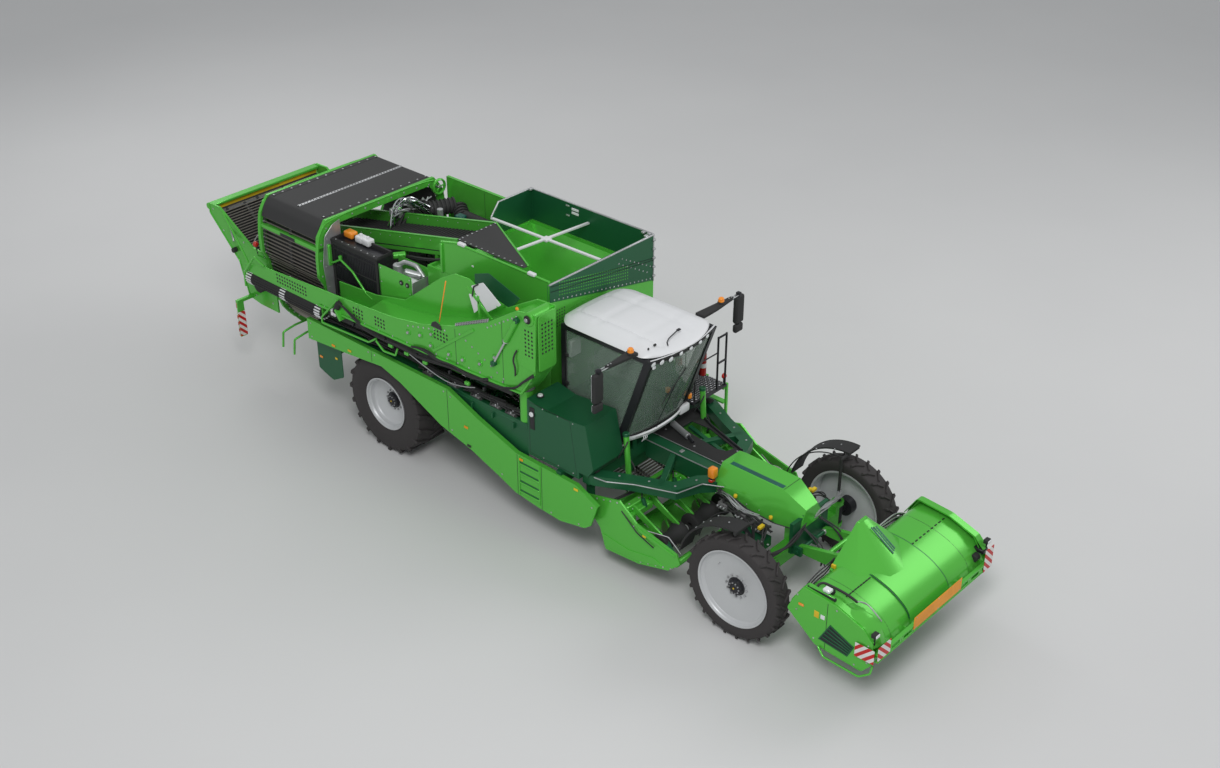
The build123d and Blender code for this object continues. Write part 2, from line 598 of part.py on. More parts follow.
ROOF_OVERHANG = 15
with BuildPart() as cab_roof:
    roof_outline = [
        (CAB_RIGHT_X - ROOF_OVERHANG, CAB_REAR_Y + ROOF_OVERHANG),
        (CAB_RIGHT_X - ROOF_OVERHANG, CAB_ROOF_FRONT_Y + 60),
        (CAB_RIGHT_X + 100, CAB_ROOF_FRONT_Y - 60),
        (CAB_CENTRE_X, CAB_ROOF_FRONT_Y - 150),
        (CAB_LEFT_X - 100, CAB_ROOF_FRONT_Y - 60),
        (CAB_LEFT_X + ROOF_OVERHANG, CAB_ROOF_FRONT_Y + 60),
        (CAB_LEFT_X + ROOF_OVERHANG, CAB_REAR_Y + ROOF_OVERHANG),
    ]
    flat_plate(roof_outline, (CAB_HEAD_Z, CAB_HEAD_Z + CAB_ROOF_THICKNESS))
    top_edges = cab_roof.edges().group_by(Axis.Z)[-1]
    chamfer(top_edges, length=50, length2=80)
finish(cab_roof.part, "cab_roof")

SEAT_Y = -1560
SEAT_BASE_X = (CAB_CENTRE_X - 180, CAB_CENTRE_X + 180)
SEAT_X = (CAB_CENTRE_X - 260, CAB_CENTRE_X + 260)
with BuildPart() as operator_seat:
    block(SEAT_BASE_X, (SEAT_Y - 200, SEAT_Y + 200), (FLOOR_TOP_Z, FLOOR_TOP_Z + 380))
    block(SEAT_X, (SEAT_Y - 270, SEAT_Y + 230), (FLOOR_TOP_Z + 380, FLOOR_TOP_Z + 500))
    backrest = [
        (SEAT_Y + 130, FLOOR_TOP_Z + 500),
        (SEAT_Y + 230, FLOOR_TOP_Z + 500),
        (SEAT_Y + 330, FLOOR_TOP_Z + 1180),
        (SEAT_Y + 240, FLOOR_TOP_Z + 1180),
    ]
    side_plate(backrest, SEAT_X)
finish(operator_seat.part, "operator_seat")

COLUMN_Y = -2160
with BuildPart() as steering_column:
    foot_x = (CAB_CENTRE_X - 90, CAB_CENTRE_X + 90)
    block(foot_x, (COLUMN_Y - 60, COLUMN_Y + 60), (FLOOR_TOP_Z, FLOOR_TOP_Z + 120))
    column_foot = Vector(CAB_CENTRE_X, COLUMN_Y, FLOOR_TOP_Z + 80)
    rim_start = Vector(CAB_CENTRE_X, COLUMN_Y + 190, FLOOR_TOP_Z + 760)
    round_bar(tuple(column_foot), tuple(rim_start), 45)
    wheel_axis = (rim_start - column_foot).normalized()
    rim_end = rim_start + wheel_axis * 35
    round_bar(tuple(rim_start), tuple(rim_end), 190)
finish(steering_column.part, "steering_column")

MIRROR_Y = -2610
MIRROR_X = 1680
MIRROR_ARM_Z = CAB_HEAD_Z + 60
MIRROR_ARM_RADIUS = 32
MIRROR_HALF_WIDTH = 110
MIRROR_HALF_DEPTH = 45
MIRROR_HEIGHT = 720
# side of the roof that each arm grows from, and the middle of its mirror
MIRROR_ARMS = ((CAB_RIGHT_X - ROOF_OVERHANG, -MIRROR_X), (CAB_LEFT_X + ROOF_OVERHANG, MIRROR_X))
with BuildPart() as mirror_arms:
    for root_x, mirror_x in MIRROR_ARMS:
        arm_tip = (mirror_x, MIRROR_Y, MIRROR_ARM_Z)
        round_bar((root_x, MIRROR_Y, MIRROR_ARM_Z), arm_tip, MIRROR_ARM_RADIUS)
        housing_x = (mirror_x - MIRROR_HALF_WIDTH, mirror_x + MIRROR_HALF_WIDTH)
        housing_y = (MIRROR_Y - MIRROR_HALF_DEPTH, MIRROR_Y + MIRROR_HALF_DEPTH)
        housing_top = MIRROR_ARM_Z + MIRROR_ARM_RADIUS
        block(housing_x, housing_y, (housing_top - MIRROR_HEIGHT, housing_top))
finish(mirror_arms.part, "mirror_arms")

TANK_TOP = [(-1040, 2500), (-1430, 2420), (-2280, 2500)]
with BuildPart() as fuel_tank:
    tank_outline = [
        (TANK_TOP[0][0], TANK_BOTTOM_Z),
        (CHASSIS_FRONT_Y + 160, TANK_BOTTOM_Z),
        (CHASSIS_FRONT_Y + 160, PORTAL_TOP_Z + 5),
        (CHASSIS_FRONT_Y - 30, PORTAL_TOP_Z + 5),
        (-2440, TANK_BOTTOM_Z + 290),
        *reversed(TANK_TOP),
    ]
    side_plate(tank_outline, (-1600, -900))
finish(fuel_tank.part, "fuel_tank")

# ---------------------------------------------------------------- platform and side panels
PLATFORM_X = (CAB_LEFT_X + 60, 1600)
PLATFORM_Y = (-2500, -1000)
PLATFORM_Z = (CAB_FLOOR_Z, CAB_FLOOR_Z + 40)
RAIL_RADIUS = 18
RAIL_HEIGHT = 950
LADDER_Y = (-2480, -2060)
with BuildPart() as cab_platform:
    block(PLATFORM_X, PLATFORM_Y, PLATFORM_Z)
    leg_y = (TANK_OUTRIGGER_Y, TANK_OUTRIGGER_Y + 80)
    for leg_x in ((900, 980), (1500, 1580)):
        block(leg_x, leg_y, (TANK_BOTTOM_Z, PLATFORM_Z[0]))
    # guard rail across the front, outside the door's swing
    rail_y = PLATFORM_Y[0] + 25
    rail_xs = (PLATFORM_X[1] - 240, PLATFORM_X[1] - 30)
    rail_top = PLATFORM_Z[1] + RAIL_HEIGHT
    for rail_x in rail_xs:
        round_bar((rail_x, rail_y, PLATFORM_Z[0]), (rail_x, rail_y, rail_top + RAIL_RADIUS), RAIL_RADIUS)
    for rail_z in (rail_top, rail_top - RAIL_HEIGHT / 2):
        round_bar((rail_xs[0], rail_y, rail_z), (rail_xs[1], rail_y, rail_z), RAIL_RADIUS)
finish(cab_platform.part, "cab_platform")

with BuildPart() as access_ladder:
    ladder_x = (PLATFORM_X[1], PLATFORM_X[1] + 40)
    for stile_y in LADDER_Y:
        block(ladder_x, (stile_y - 20, stile_y + 20), (700, PLATFORM_Z[1]))
    for rung in range(5):
        rung_z = 760 + rung * 270
        block((ladder_x[0] - 60, ladder_x[1]), LADDER_Y, (rung_z, rung_z + 30))
finish(access_ladder.part, "access_ladder")

# Side panel outline as (y, z), from the rear top corner forwards and back underneath.
SIDE_PANEL = [
    (4350, 2020),
    (740, 2000),
    (40, 1720),
    (-830, 1440),
    (-2140, 1410),
    (-2590, 1190),
    (-2450, 780),
    (-2320, 680),
    (-1790, 570),
    (-1310, 600),
    (-800, 660),
    (-450, 800),
    (210, 1040),
    (940, 1220),
    (1900, 1650),
    (2380, 1790),
    (3240, 1700),
    (4350, 1610),
]
for side_name, side in SIDES:
    with BuildPart() as side_panel:
        side_plate(SIDE_PANEL, (side * PANEL_INNER_X, side * BODY_HALF_WIDTH))
    finish(side_panel.part, f"{side_name}_side_panel")

# ---------------------------------------------------------------- bunker and its filling conveyor
with BuildPart() as bunker:
    bunker_x = (BUNKER_RIGHT_X, BUNKER_LEFT_X)
    bunker_y = (BUNKER_FRONT_Y, BUNKER_REAR_Y)
    block(bunker_x, bunker_y, (DECK_TOP_Z, BUNKER_RIM_Z))
    inside_x = (BUNKER_RIGHT_X + BUNKER_WALL, BUNKER_LEFT_X - BUNKER_WALL)
    inside_y = (BUNKER_FRONT_Y + BUNKER_WALL, BUNKER_REAR_Y - BUNKER_WALL)
    block(inside_x, inside_y, (DECK_TOP_Z + BUNKER_WALL, BUNKER_RIM_Z), mode=Mode.SUBTRACT)
finish(bunker.part, "bunker")

with BuildPart() as bunker_extension:
    front_flap_y = (BUNKER_FRONT_Y, BUNKER_FRONT_Y + BUNKER_WALL)
    block(bunker_x, front_flap_y, (BUNKER_RIM_Z, BUNKER_FLAP_TOP_Z))
    left_flap_x = (BUNKER_LEFT_X - BUNKER_WALL, BUNKER_LEFT_X)
    block(left_flap_x, (BUNKER_FRONT_Y, BUNKER_REAR_Y - 350), (BUNKER_RIM_Z, BUNKER_FLAP_TOP_Z))
    right_flap_x = (BUNKER_RIGHT_X, BUNKER_RIGHT_X + BUNKER_WALL)
    block(right_flap_x, (BUNKER_FRONT_Y, CONVEYOR_FRONT_Y - 50), (BUNKER_RIM_Z, BUNKER_FLAP_TOP_Z - 170))
finish(bunker_extension.part, "bunker_extension")


def conveyor_z(y, above=0):
    """Height of the conveyor's underside at y, moved up by above."""
    share = (CONVEYOR_REAR_Y - y) / (CONVEYOR_REAR_Y - CONVEYOR_FRONT_Y)
    return CONVEYOR_REAR_Z + share * (CONVEYOR_FRONT_Z - CONVEYOR_REAR_Z) + above


def conveyor_band(low, high):
    """Side outline of a band of the conveyor between two heights above its underside."""
    return [
        (CONVEYOR_REAR_Y, conveyor_z(CONVEYOR_REAR_Y, low)),
        (CONVEYOR_FRONT_Y, conveyor_z(CONVEYOR_FRONT_Y, low)),
        (CONVEYOR_FRONT_Y, conveyor_z(CONVEYOR_FRONT_Y, high)),
        (CONVEYOR_REAR_Y, conveyor_z(CONVEYOR_REAR_Y, high)),
    ]


CONVEYOR_SIDE = 25
CONVEYOR_LEG_YS = (2120, 3920)
BELT_DEPTH = 110
with BuildPart() as filling_conveyor:
    conveyor_x = (CONVEYOR_RIGHT_X, CONVEYOR_LEFT_X)
    side_plate(conveyor_band(0, CONVEYOR_WALL_HEIGHT), conveyor_x)
    trough_x = (CONVEYOR_RIGHT_X + CONVEYOR_SIDE, CONVEYOR_LEFT_X - CONVEYOR_SIDE)
    side_plate(conveyor_band(CONVEYOR_FLOOR, CONVEYOR_WALL_HEIGHT + 50), trough_x, mode=Mode.SUBTRACT)
    for leg_y in CONVEYOR_LEG_YS:
        for leg_x in ((CONVEYOR_RIGHT_X, CONVEYOR_RIGHT_X + 60), (CONVEYOR_LEFT_X - 60, CONVEYOR_LEFT_X)):
            leg_outline = [
                (leg_y, DECK_TOP_Z),
                (leg_y + 60, DECK_TOP_Z),
                (leg_y + 60, conveyor_z(leg_y + 60, 5)),
                (leg_y, conveyor_z(leg_y, 5)),
            ]
            side_plate(leg_outline, leg_x)
finish(filling_conveyor.part, "filling_conveyor")

with BuildPart() as filling_belt:
    belt_x = (trough_x[0] + 5, trough_x[1] - 5)
    side_plate(conveyor_band(CONVEYOR_FLOOR, CONVEYOR_FLOOR + BELT_DEPTH), belt_x)
finish(filling_belt.part, "filling_belt")

# Rubber flap that hangs from the conveyor's head into the bunker.
with BuildPart() as bunker_guide_flap:
    flap_z = conveyor_z(CONVEYOR_FRONT_Y, CONVEYOR_WALL_HEIGHT)
    flap_outline = [
        (CONVEYOR_RIGHT_X, CONVEYOR_FRONT_Y + 5),
        (CONVEYOR_LEFT_X, CONVEYOR_FRONT_Y + 5),
        (CONVEYOR_RIGHT_X + 80, 60),
        (CONVEYOR_RIGHT_X, 60),
    ]
    flat_plate(flap_outline, (flap_z, flap_z + 10))
finish(bunker_guide_flap.part, "bunker_guide_flap")

# ---------------------------------------------------------------- engine deck
with BuildPart() as engine_block:
    block(ENGINE_X, ENGINE_Y, (DECK_TOP_Z, ENGINE_TOP_Z))
finish(engine_block.part, "engine_block")

with BuildPart() as air_filter_and_exhaust:
    filter_z = ENGINE_TOP_Z + 190
    round_bar((1150, 2500, filter_z), (1150, 3250, filter_z), 170)
    block((1050, 1250), (2600, 3150), (ENGINE_TOP_Z, filter_z))
    round_bar((700, 3350, ENGINE_TOP_Z), (700, 3350, ENGINE_TOP_Z + 420), 110)
    round_bar((700, 2450, ENGINE_TOP_Z + 150), (700, 3100, ENGINE_TOP_Z + 150), 120)
    block((640, 760), (2600, 2950), (ENGINE_TOP_Z, ENGINE_TOP_Z + 150))
finish(air_filter_and_exhaust.part, "air_filter_and_exhaust")

with BuildPart() as radiator_unit:
    block(RADIATOR_X, RADIATOR_Y, (DECK_TOP_Z, RADIATOR_TOP_Z))
finish(radiator_unit.part, "radiator_unit")

with BuildPart() as service_cabinet:
    block(CABINET_X, CABINET_Y, (DECK_TOP_Z, CABINET_TOP_Z))
finish(service_cabinet.part, "service_cabinet")

with BuildPart() as engine_side_panel:
    panel_x = (BUNKER_LEFT_X - BUNKER_WALL, BUNKER_LEFT_X)
    block(panel_x, (BUNKER_REAR_Y, RING_FRONT_Y), (DECK_BOTTOM_Z, 3750))
finish(engine_side_panel.part, "engine_side_panel")

# ---------------------------------------------------------------- ring elevator
# Half outline of the ring seen from the rear, as (x, height share from bottom to top).
RING_HALF = (
    (820, 0.0),
    (1180, 0.16),
    (1360, 0.40),
    (1400, 0.55),
    (1500, 0.62),
    (1500, 0.76),
    (1450, 0.90),
    (1260, 1.0),
)


def ring_outline(inset):
    """Closed (x, z) outline of the ring, moved inwards by inset."""
    low_z = RING_BOTTOM_Z + inset
    high_z = RING_TOP_Z - inset
    half = [(x - inset, low_z + share * (high_z - low_z)) for x, share in RING_HALF]
    return half + [(-x, z) for x, z in reversed(half)]


web_inner = RING_WEB_INSET + RING_WEB_THICKNESS
with BuildPart() as ring_elevator_frame:
    for plate_y in (RING_FRONT_Y, RING_REAR_Y - RING_PLATE):
        plate_run = (plate_y, plate_y + RING_PLATE)
        cross_plate(ring_outline(0), plate_run)
        cross_plate(ring_outline(RING_BAND), plate_run, mode=Mode.SUBTRACT)
    tie_y = (RING_FRONT_Y + RING_PLATE / 2, RING_REAR_Y - RING_PLATE / 2)
    for side in (-1, 1):
        tie_x = (side * 500, side * 600)
        block(tie_x, tie_y, (RING_TOP_Z - RING_BAND - 20, RING_TOP_Z - web_inner))
        block(tie_x, tie_y, (RING_BOTTOM_Z + web_inner, RING_BOTTOM_Z + RING_BAND + 20))
    # flanges on the front plate that meet the ends of the chassis and deck beams
    for low_z, high_z in ((BEAM_BOTTOM_Z, BEAM_TOP_Z), (DECK_BOTTOM_Z, DECK_TOP_Z)):
        block((-1290, 1290), (RING_FRONT_Y, RING_FRONT_Y + RING_PLATE), (low_z, high_z))
finish(ring_elevator_frame.part, "ring_elevator_frame")

with BuildPart() as ring_elevator_web:
    web_y = (RING_FRONT_Y + RING_PLATE + 2, RING_REAR_Y - RING_PLATE - 2)
    cross_plate(ring_outline(RING_WEB_INSET), web_y)
    cross_plate(ring_outline(web_inner), web_y, mode=Mode.SUBTRACT)
finish(ring_elevator_web.part, "ring_elevator_web")

# ---------------------------------------------------------------- rear web unit
REAR_PLATE_X = (1240, 1270)
# Side plate outline as (y, z): up the back of the ring, along the web and back underneath.
REAR_PLATE = [
    (RING_REAR_Y, 1450),
    (RING_REAR_Y, 2550),
    (6350, 2600),
    (7250, 3140),
    (REAR_END_Y - 90, 3120),
    (REAR_END_Y - 90, 2930),
    (6800, 2180),
    (6600, 1500),
    (6300, 1450),
]
TOP_BAR_RADIUS = 60
REAR_TIES = ((6100, 1500), (6600, 1980))    # y and z of the two cross ties
REAR_TIE_DEPTH = 60
TOW_BORE_RADIUS = 20.5
with BuildPart() as rear_web_frame:
    for side in (-1, 1):
        side_plate(REAR_PLATE, (side * REAR_PLATE_X[0], side * REAR_PLATE_X[1]))
        board_arm_x = (side * REAR_PLATE_X[0], side * 1640)
        block(board_arm_x, (6500, 6560), (1520, 1580))
        block((side * 1500, side * 1640), (6510, 6540), (820, 1580))
        flange_x = (side * REAR_PLATE_X[0], side * 1390)
        block(flange_x, (RING_REAR_Y, RING_REAR_Y + 40), (2350, 2550))
    bar_y = REAR_END_Y - TOP_BAR_RADIUS
    round_bar((-REAR_PLATE_X[1], bar_y, 3050), (REAR_PLATE_X[1], bar_y, 3050), TOP_BAR_RADIUS)
    for tie_y, tie_z in REAR_TIES:
        tie_run = (tie_y, tie_y + REAR_TIE_DEPTH)
        block((-REAR_PLATE_X[0], REAR_PLATE_X[0]), tie_run, (tie_z, tie_z + REAR_TIE_DEPTH))
    tow_y, tow_z = REAR_TIES[0]
    block((-80, 80), (tow_y, tow_y + 190), (tow_z, tow_z + REAR_TIE_DEPTH))
    tow_centre_y = tow_y + 130
    tow_low = (0, tow_centre_y, tow_z)
    tow_high = (0, tow_centre_y, tow_z + REAR_TIE_DEPTH)
    round_bar(tow_low, tow_high, TOW_BORE_RADIUS, mode=Mode.SUBTRACT)
finish(rear_web_frame.part, "rear_web_frame")

with BuildPart() as rear_rod_web:
    rear_web_outline = [
        (5900, 1720),
        (6050, 1640),
        (7470, 2860),
        (7380, 2960),
    ]
    side_plate(rear_web_outline, (-REAR_PLATE_X[0], REAR_PLATE_X[0]))
finish(rear_rod_web.part, "rear_rod_web")

# ---------------------------------------------------------------- sieve webs under the machine
with BuildPart() as first_sieve_web:
    first_web_outline = [
        (-2420, 600),
        (-2420, 730),
        (1500, 1760),
        (1560, 1640),
    ]
    side_plate(first_web_outline, (-BEAM_INNER_X, BEAM_INNER_X))
finish(first_sieve_web.part, "first_sieve_web")

with BuildPart() as second_sieve_web:
    web_x = (-BEAM_INNER_X + 10, BEAM_INNER_X - 10)
    block(web_x, (1650, RING_REAR_Y - 200), (BEAM_TOP_Z, BEAM_TOP_Z + 130))
finish(second_sieve_web.part, "second_sieve_web")

# ---------------------------------------------------------------- discharge boom
with BuildPart() as boom_pivot_post:
    post_base = (BOOM_PIVOT_X, BOOM_PIVOT_Y, DECK_TOP_Z)
    round_bar(post_base, (BOOM_PIVOT_X, BOOM_PIVOT_Y, BOOM_POST_TOP_Z), BOOM_POST_RADIUS)
finish(boom_pivot_post.part, "boom_pivot_post")


def boom_floor_z(y):
    """Height of the boom's underside at y."""
    front_y = BOOM_PIVOT_Y - BOOM_POST_RADIUS
    share = (y - front_y) / (BOOM_REAR_Y - front_y)
    return BOOM_FLOOR_FRONT_Z + share * (BOOM_FLOOR_REAR_Z - BOOM_FLOOR_FRONT_Z)


BOOM_PROFILE = [
    (BOOM_PIVOT_Y - BOOM_POST_RADIUS, BOOM_FLOOR_FRONT_Z),
    (BOOM_REAR_Y, BOOM_FLOOR_REAR_Z),
    (BOOM_REAR_Y, 2745),
    (2870, 2820),
    (2110, 2990),
    (1390, 3450),
    (460, 4030),
    (-600, 4160),
    (-1380, 4180),
    (-1320, 3050),
]
BOOM_TAIL = [
    (BOOM_REAR_Y - 10, BOOM_FLOOR_REAR_Z),
    (BOOM_PANEL_REAR_Y, 2380),
    (BOOM_PANEL_REAR_Y, 2520),
    (5500, 2630),
    (BOOM_REAR_Y - 10, 2745),
]
ROLL_RADIUS = 120
ROLL_X = BOOM_OUTER_X + ROLL_RADIUS + 5
ROLL_Z = 2270
with BuildPart() as boom_frame:
    side_plate(BOOM_PROFILE, (BOOM_OUTER_X, BOOM_INNER_X))
    trough_profile = [
        (BOOM_REAR_Y + 20, boom_floor_z(BOOM_REAR_Y + 20) + BOOM_PLATE),
        (BOOM_REAR_Y + 20, 4300),
        (-1340, 4300),
        (-1290, 3050),
        (BOOM_PIVOT_Y - BOOM_POST_RADIUS + 30, boom_floor_z(BOOM_PIVOT_Y) + BOOM_PLATE),
    ]
    trough_inside = (BOOM_OUTER_X + BOOM_PLATE, BOOM_INNER_X - BOOM_PLATE)
    side_plate(trough_profile, trough_inside, mode=Mode.SUBTRACT)
    side_plate(BOOM_TAIL, (BOOM_OUTER_X, BOOM_OUTER_X + BOOM_PLATE))
    turret = (BOOM_PIVOT_X, BOOM_PIVOT_Y, BOOM_POST_TOP_Z + FIT)
    round_bar(turret, (BOOM_PIVOT_X, BOOM_PIVOT_Y, BOOM_FLOOR_FRONT_Z + 10), BOOM_POST_RADIUS + 30)
    for ear_y in (BOOM_REAR_Y + 20, BOOM_PANEL_REAR_Y - 40):
        block((BOOM_OUTER_X, ROLL_X + 40), (ear_y, ear_y + 30), (ROLL_Z - 40, 2460))
finish(boom_frame.part, "boom_frame")

with BuildPart() as boom_belt:
    belt_front_y = BOOM_PIVOT_Y + BOOM_POST_RADIUS + 60
    belt_outline = [
        (belt_front_y, boom_floor_z(belt_front_y)),
        (belt_front_y, boom_floor_z(belt_front_y) - BOOM_BELT_DEPTH),
        (BOOM_REAR_Y - 60, boom_floor_z(BOOM_REAR_Y - 60) - BOOM_BELT_DEPTH),
        (BOOM_REAR_Y - 60, boom_floor_z(BOOM_REAR_Y - 60)),
    ]
    side_plate(belt_outline, (BOOM_OUTER_X + 60, BOOM_INNER_X - 60))
finish(boom_belt.part, "boom_belt")

with BuildPart() as boom_end_rolls:
    roll_start = (ROLL_X, BOOM_REAR_Y + 50 + FIT, ROLL_Z)
    round_bar(roll_start, (ROLL_X, BOOM_PANEL_REAR_Y - 40 - FIT, ROLL_Z), ROLL_RADIUS)
finish(boom_end_rolls.part, "boom_end_rolls")

# ---------------------------------------------------------------- haulm topper
# Outlines as (y, z): outside of the hood, its hollow and the end plates.
TOPPER_HOOD = [
    (-6260, 1060),
    (-6270, 1300),
    (-6400, 1440),
    (-6800, 1430),
    (-7200, 1310),
    (-7480, 1110),
    (-7570, 850),
    (-7400, 830),
]
TOPPER_HOLLOW = [
    (-6290, 1000),
    (-6300, 1290),
    (-6415, 1410),
    (-6795, 1400),
    (-7185, 1283),
    (-7455, 1095),
    (-7543, 800),
]
TOPPER_SIDE = [
    (-6110, 1060),
    (-6190, 1230),
    (-6370, 1550),
    (-6930, 1500),
    (-7400, 1330),
    (-7560, 1180),
    (-7600, 820),
    (-7420, 590),
    (-6620, 640),
]
# Gearbox cover as (x, y): its foot inside the hood and the small flat on its peak.
WEDGE_FOOT = [(-520, -6280), (-480, -6750), (-280, -7050), (280, -7050), (480, -6750), (520, -6280)]
WEDGE_PEAK = [(-110, -6270), (-100, -6300), (-60, -6330), (60, -6330), (100, -6300), (110, -6270)]
WEDGE_Z = (1330, 1860)
ARM_XS = (-310, 310)
with BuildPart() as topper_housing:
    inside = TOPPER_HALF_WIDTH - TOPPER_SHEET
    side_plate(TOPPER_HOOD, (-inside, inside))
    for side in (-1, 1):
        side_plate(TOPPER_SIDE, (side * inside, side * TOPPER_HALF_WIDTH))
    for outline, height in zip((WEDGE_FOOT, WEDGE_PEAK), WEDGE_Z):
        with BuildSketch(Plane.XY.offset(height)):
            with BuildLine():
                Polyline(*outline, close=True)
            make_face()
    loft(ruled=True)
    side_plate(TOPPER_HOLLOW, (-inside, inside), mode=Mode.SUBTRACT)
    block((-1500, 1500), (FRONT_END_Y, FRONT_END_Y + 60), (860, 1000))
    for rail_x in (-1400, -500, 500, 1400):
        block((rail_x - 20, rail_x + 20), (FRONT_END_Y + 30, -7550), (880, 980))
    for arm_x in ARM_XS:
        arm_outline = [
            (TOPPER_PIVOT_Y + 60, TOPPER_PIVOT_Z - 60),
            (TOPPER_PIVOT_Y + 60, TOPPER_PIVOT_Z + 60),
            (-6275, 1300),
            (-6265, 1120),
        ]
        side_plate(arm_outline, (arm_x - 35, arm_x + 35))
    eye_start = (ARM_XS[0] - 36, TOPPER_PIVOT_Y, TOPPER_PIVOT_Z)
    eye_end = (ARM_XS[1] + 36, TOPPER_PIVOT_Y, TOPPER_PIVOT_Z)
    round_bar(eye_start, eye_end, PIVOT_PIN_RADIUS + FIT, mode=Mode.SUBTRACT)
finish(topper_housing.part, "topper_housing")

with BuildPart() as topper_rotor:
    rotor_half = TOPPER_HALF_WIDTH - TOPPER_SHEET - FIT
    round_bar((-rotor_half, ROTOR_Y, ROTOR_Z), (rotor_half, ROTOR_Y, ROTOR_Z), ROTOR_TUBE_RADIUS)
    flail_count = 16
    for number in range(flail_count):
        flail_x = -1400 + number * 2800 / (flail_count - 1)
        angle = radians(number * 135)
        tip_y = ROTOR_Y + ROTOR_FLAIL_RADIUS * cos(angle)
        tip_z = ROTOR_Z + ROTOR_FLAIL_RADIUS * sin(angle)
        with BuildSketch(Plane.YZ.offset(flail_x - 30)) as flail:
            with BuildLine():
                Polyline(
                    (ROTOR_Y + 25 * sin(angle), ROTOR_Z - 25 * cos(angle)),
                    (tip_y + 25 * sin(angle), tip_z - 25 * cos(angle)),
                    (tip_y - 25 * sin(angle), tip_z + 25 * cos(angle)),
                    (ROTOR_Y - 25 * sin(angle), ROTOR_Z + 25 * cos(angle)),
                    close=True,
                )
            make_face()
        extrude(flail.sketch, amount=60)
finish(topper_rotor.part, "topper_rotor")

# ---------------------------------------------------------------- digging unit
DIGGER_SIDE = [
    (-2130, 1120),
    (-2170, 1190),
    (-2900, 1380),
    (-3250, 1120),
    (-4060, 930),
    (-4130, 780),
    (-3900, 560),
    (-3300, 390),
    (-2620, 340),
    (-2500, 700),
    (-2200, 1010),
]
digger_inner = DIGGER_HALF_WIDTH - DIGGER_PLATE
with BuildPart() as digging_frame:
    for side in (-1, 1):
        side_plate(DIGGER_SIDE, (side * digger_inner, side * DIGGER_HALF_WIDTH))
    eye_start = (-DIGGER_HALF_WIDTH - 1, DIGGER_PIVOT_Y, DIGGER_PIVOT_Z)
    eye_end = (DIGGER_HALF_WIDTH + 1, DIGGER_PIVOT_Y, DIGGER_PIVOT_Z)
    round_bar(eye_start, eye_end, PIVOT_PIN_RADIUS + FIT, mode=Mode.SUBTRACT)
    for tube_y, tube_z in ((-4020, 720), (-2950, 1180)):
        round_bar((-digger_inner, tube_y, tube_z), (digger_inner, tube_y, tube_z), 55)
    for row in (-1.5, -0.5, 0.5, 1.5):
        row_x = row * ROW_SPACING
        share_outline = [
            (-3330, 400),
            (-3300, 450),
            (-2700, 560),
            (-2700, 520),
        ]
        side_plate(share_outline, (row_x - 300, row_x + 300))
    block((-digger_inner, digger_inner), (-2780, -2700), (500, 580))
finish(digging_frame.part, "digging_frame")

with BuildPart() as diabolo_rollers:
    shaft_half = digger_inner - FIT
    round_bar((-shaft_half, DIABOLO_Y, DIABOLO_Z), (shaft_half, DIABOLO_Y, DIABOLO_Z), DIABOLO_SHAFT_RADIUS)
    for row in (-1.5, -0.5, 0.5, 1.5):
        drum = [
            (-270, 0),
            (-270, DIABOLO_RADIUS),
            (-180, DIABOLO_RADIUS - 20),
            (0, DIABOLO_RADIUS - 70),
            (180, DIABOLO_RADIUS - 20),
            (270, DIABOLO_RADIUS),
            (270, 0),
        ]
        turned(drum, (row * ROW_SPACING, DIABOLO_Y, DIABOLO_Z))
finish(diabolo_rollers.part, "diabolo_rollers")
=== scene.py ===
"""Looks of a self-propelled potato harvester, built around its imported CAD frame.

Metres, +Z up, ground at z = 0. The front of the machine faces -Y, its right-hand side faces -X.
Each group of pieces has one operator; main() calls them in order.
"""
import json
from math import atan2, cos, degrees, pi, radians, sin

import bpy
from mathutils import Matrix, Vector


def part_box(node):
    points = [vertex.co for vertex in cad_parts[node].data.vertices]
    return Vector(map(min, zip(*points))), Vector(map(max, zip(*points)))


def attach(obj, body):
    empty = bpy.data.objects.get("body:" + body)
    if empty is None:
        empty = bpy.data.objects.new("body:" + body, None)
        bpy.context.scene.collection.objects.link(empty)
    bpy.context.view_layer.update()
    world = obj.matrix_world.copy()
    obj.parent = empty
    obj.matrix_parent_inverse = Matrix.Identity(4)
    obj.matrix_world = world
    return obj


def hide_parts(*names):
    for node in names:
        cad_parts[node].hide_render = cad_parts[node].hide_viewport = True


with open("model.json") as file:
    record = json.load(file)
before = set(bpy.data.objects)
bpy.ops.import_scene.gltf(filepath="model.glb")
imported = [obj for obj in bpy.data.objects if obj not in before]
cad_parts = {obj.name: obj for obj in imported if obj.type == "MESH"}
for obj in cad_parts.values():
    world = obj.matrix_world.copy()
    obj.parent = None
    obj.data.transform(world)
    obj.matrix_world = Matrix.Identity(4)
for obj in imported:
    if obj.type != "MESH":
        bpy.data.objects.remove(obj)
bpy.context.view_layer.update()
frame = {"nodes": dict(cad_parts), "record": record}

bl_info = {
    "name": "Potato harvester looks", "version": (1, 0, 0), "blender": (4, 5, 0),
    "location": "View3D > Sidebar > Harvester",
    "description": "Models and finishes the visible pieces of a potato harvester", "category": "Object",
}

RIGHT, LEFT = -1, 1
SIDES = (("right", RIGHT), ("left", LEFT))

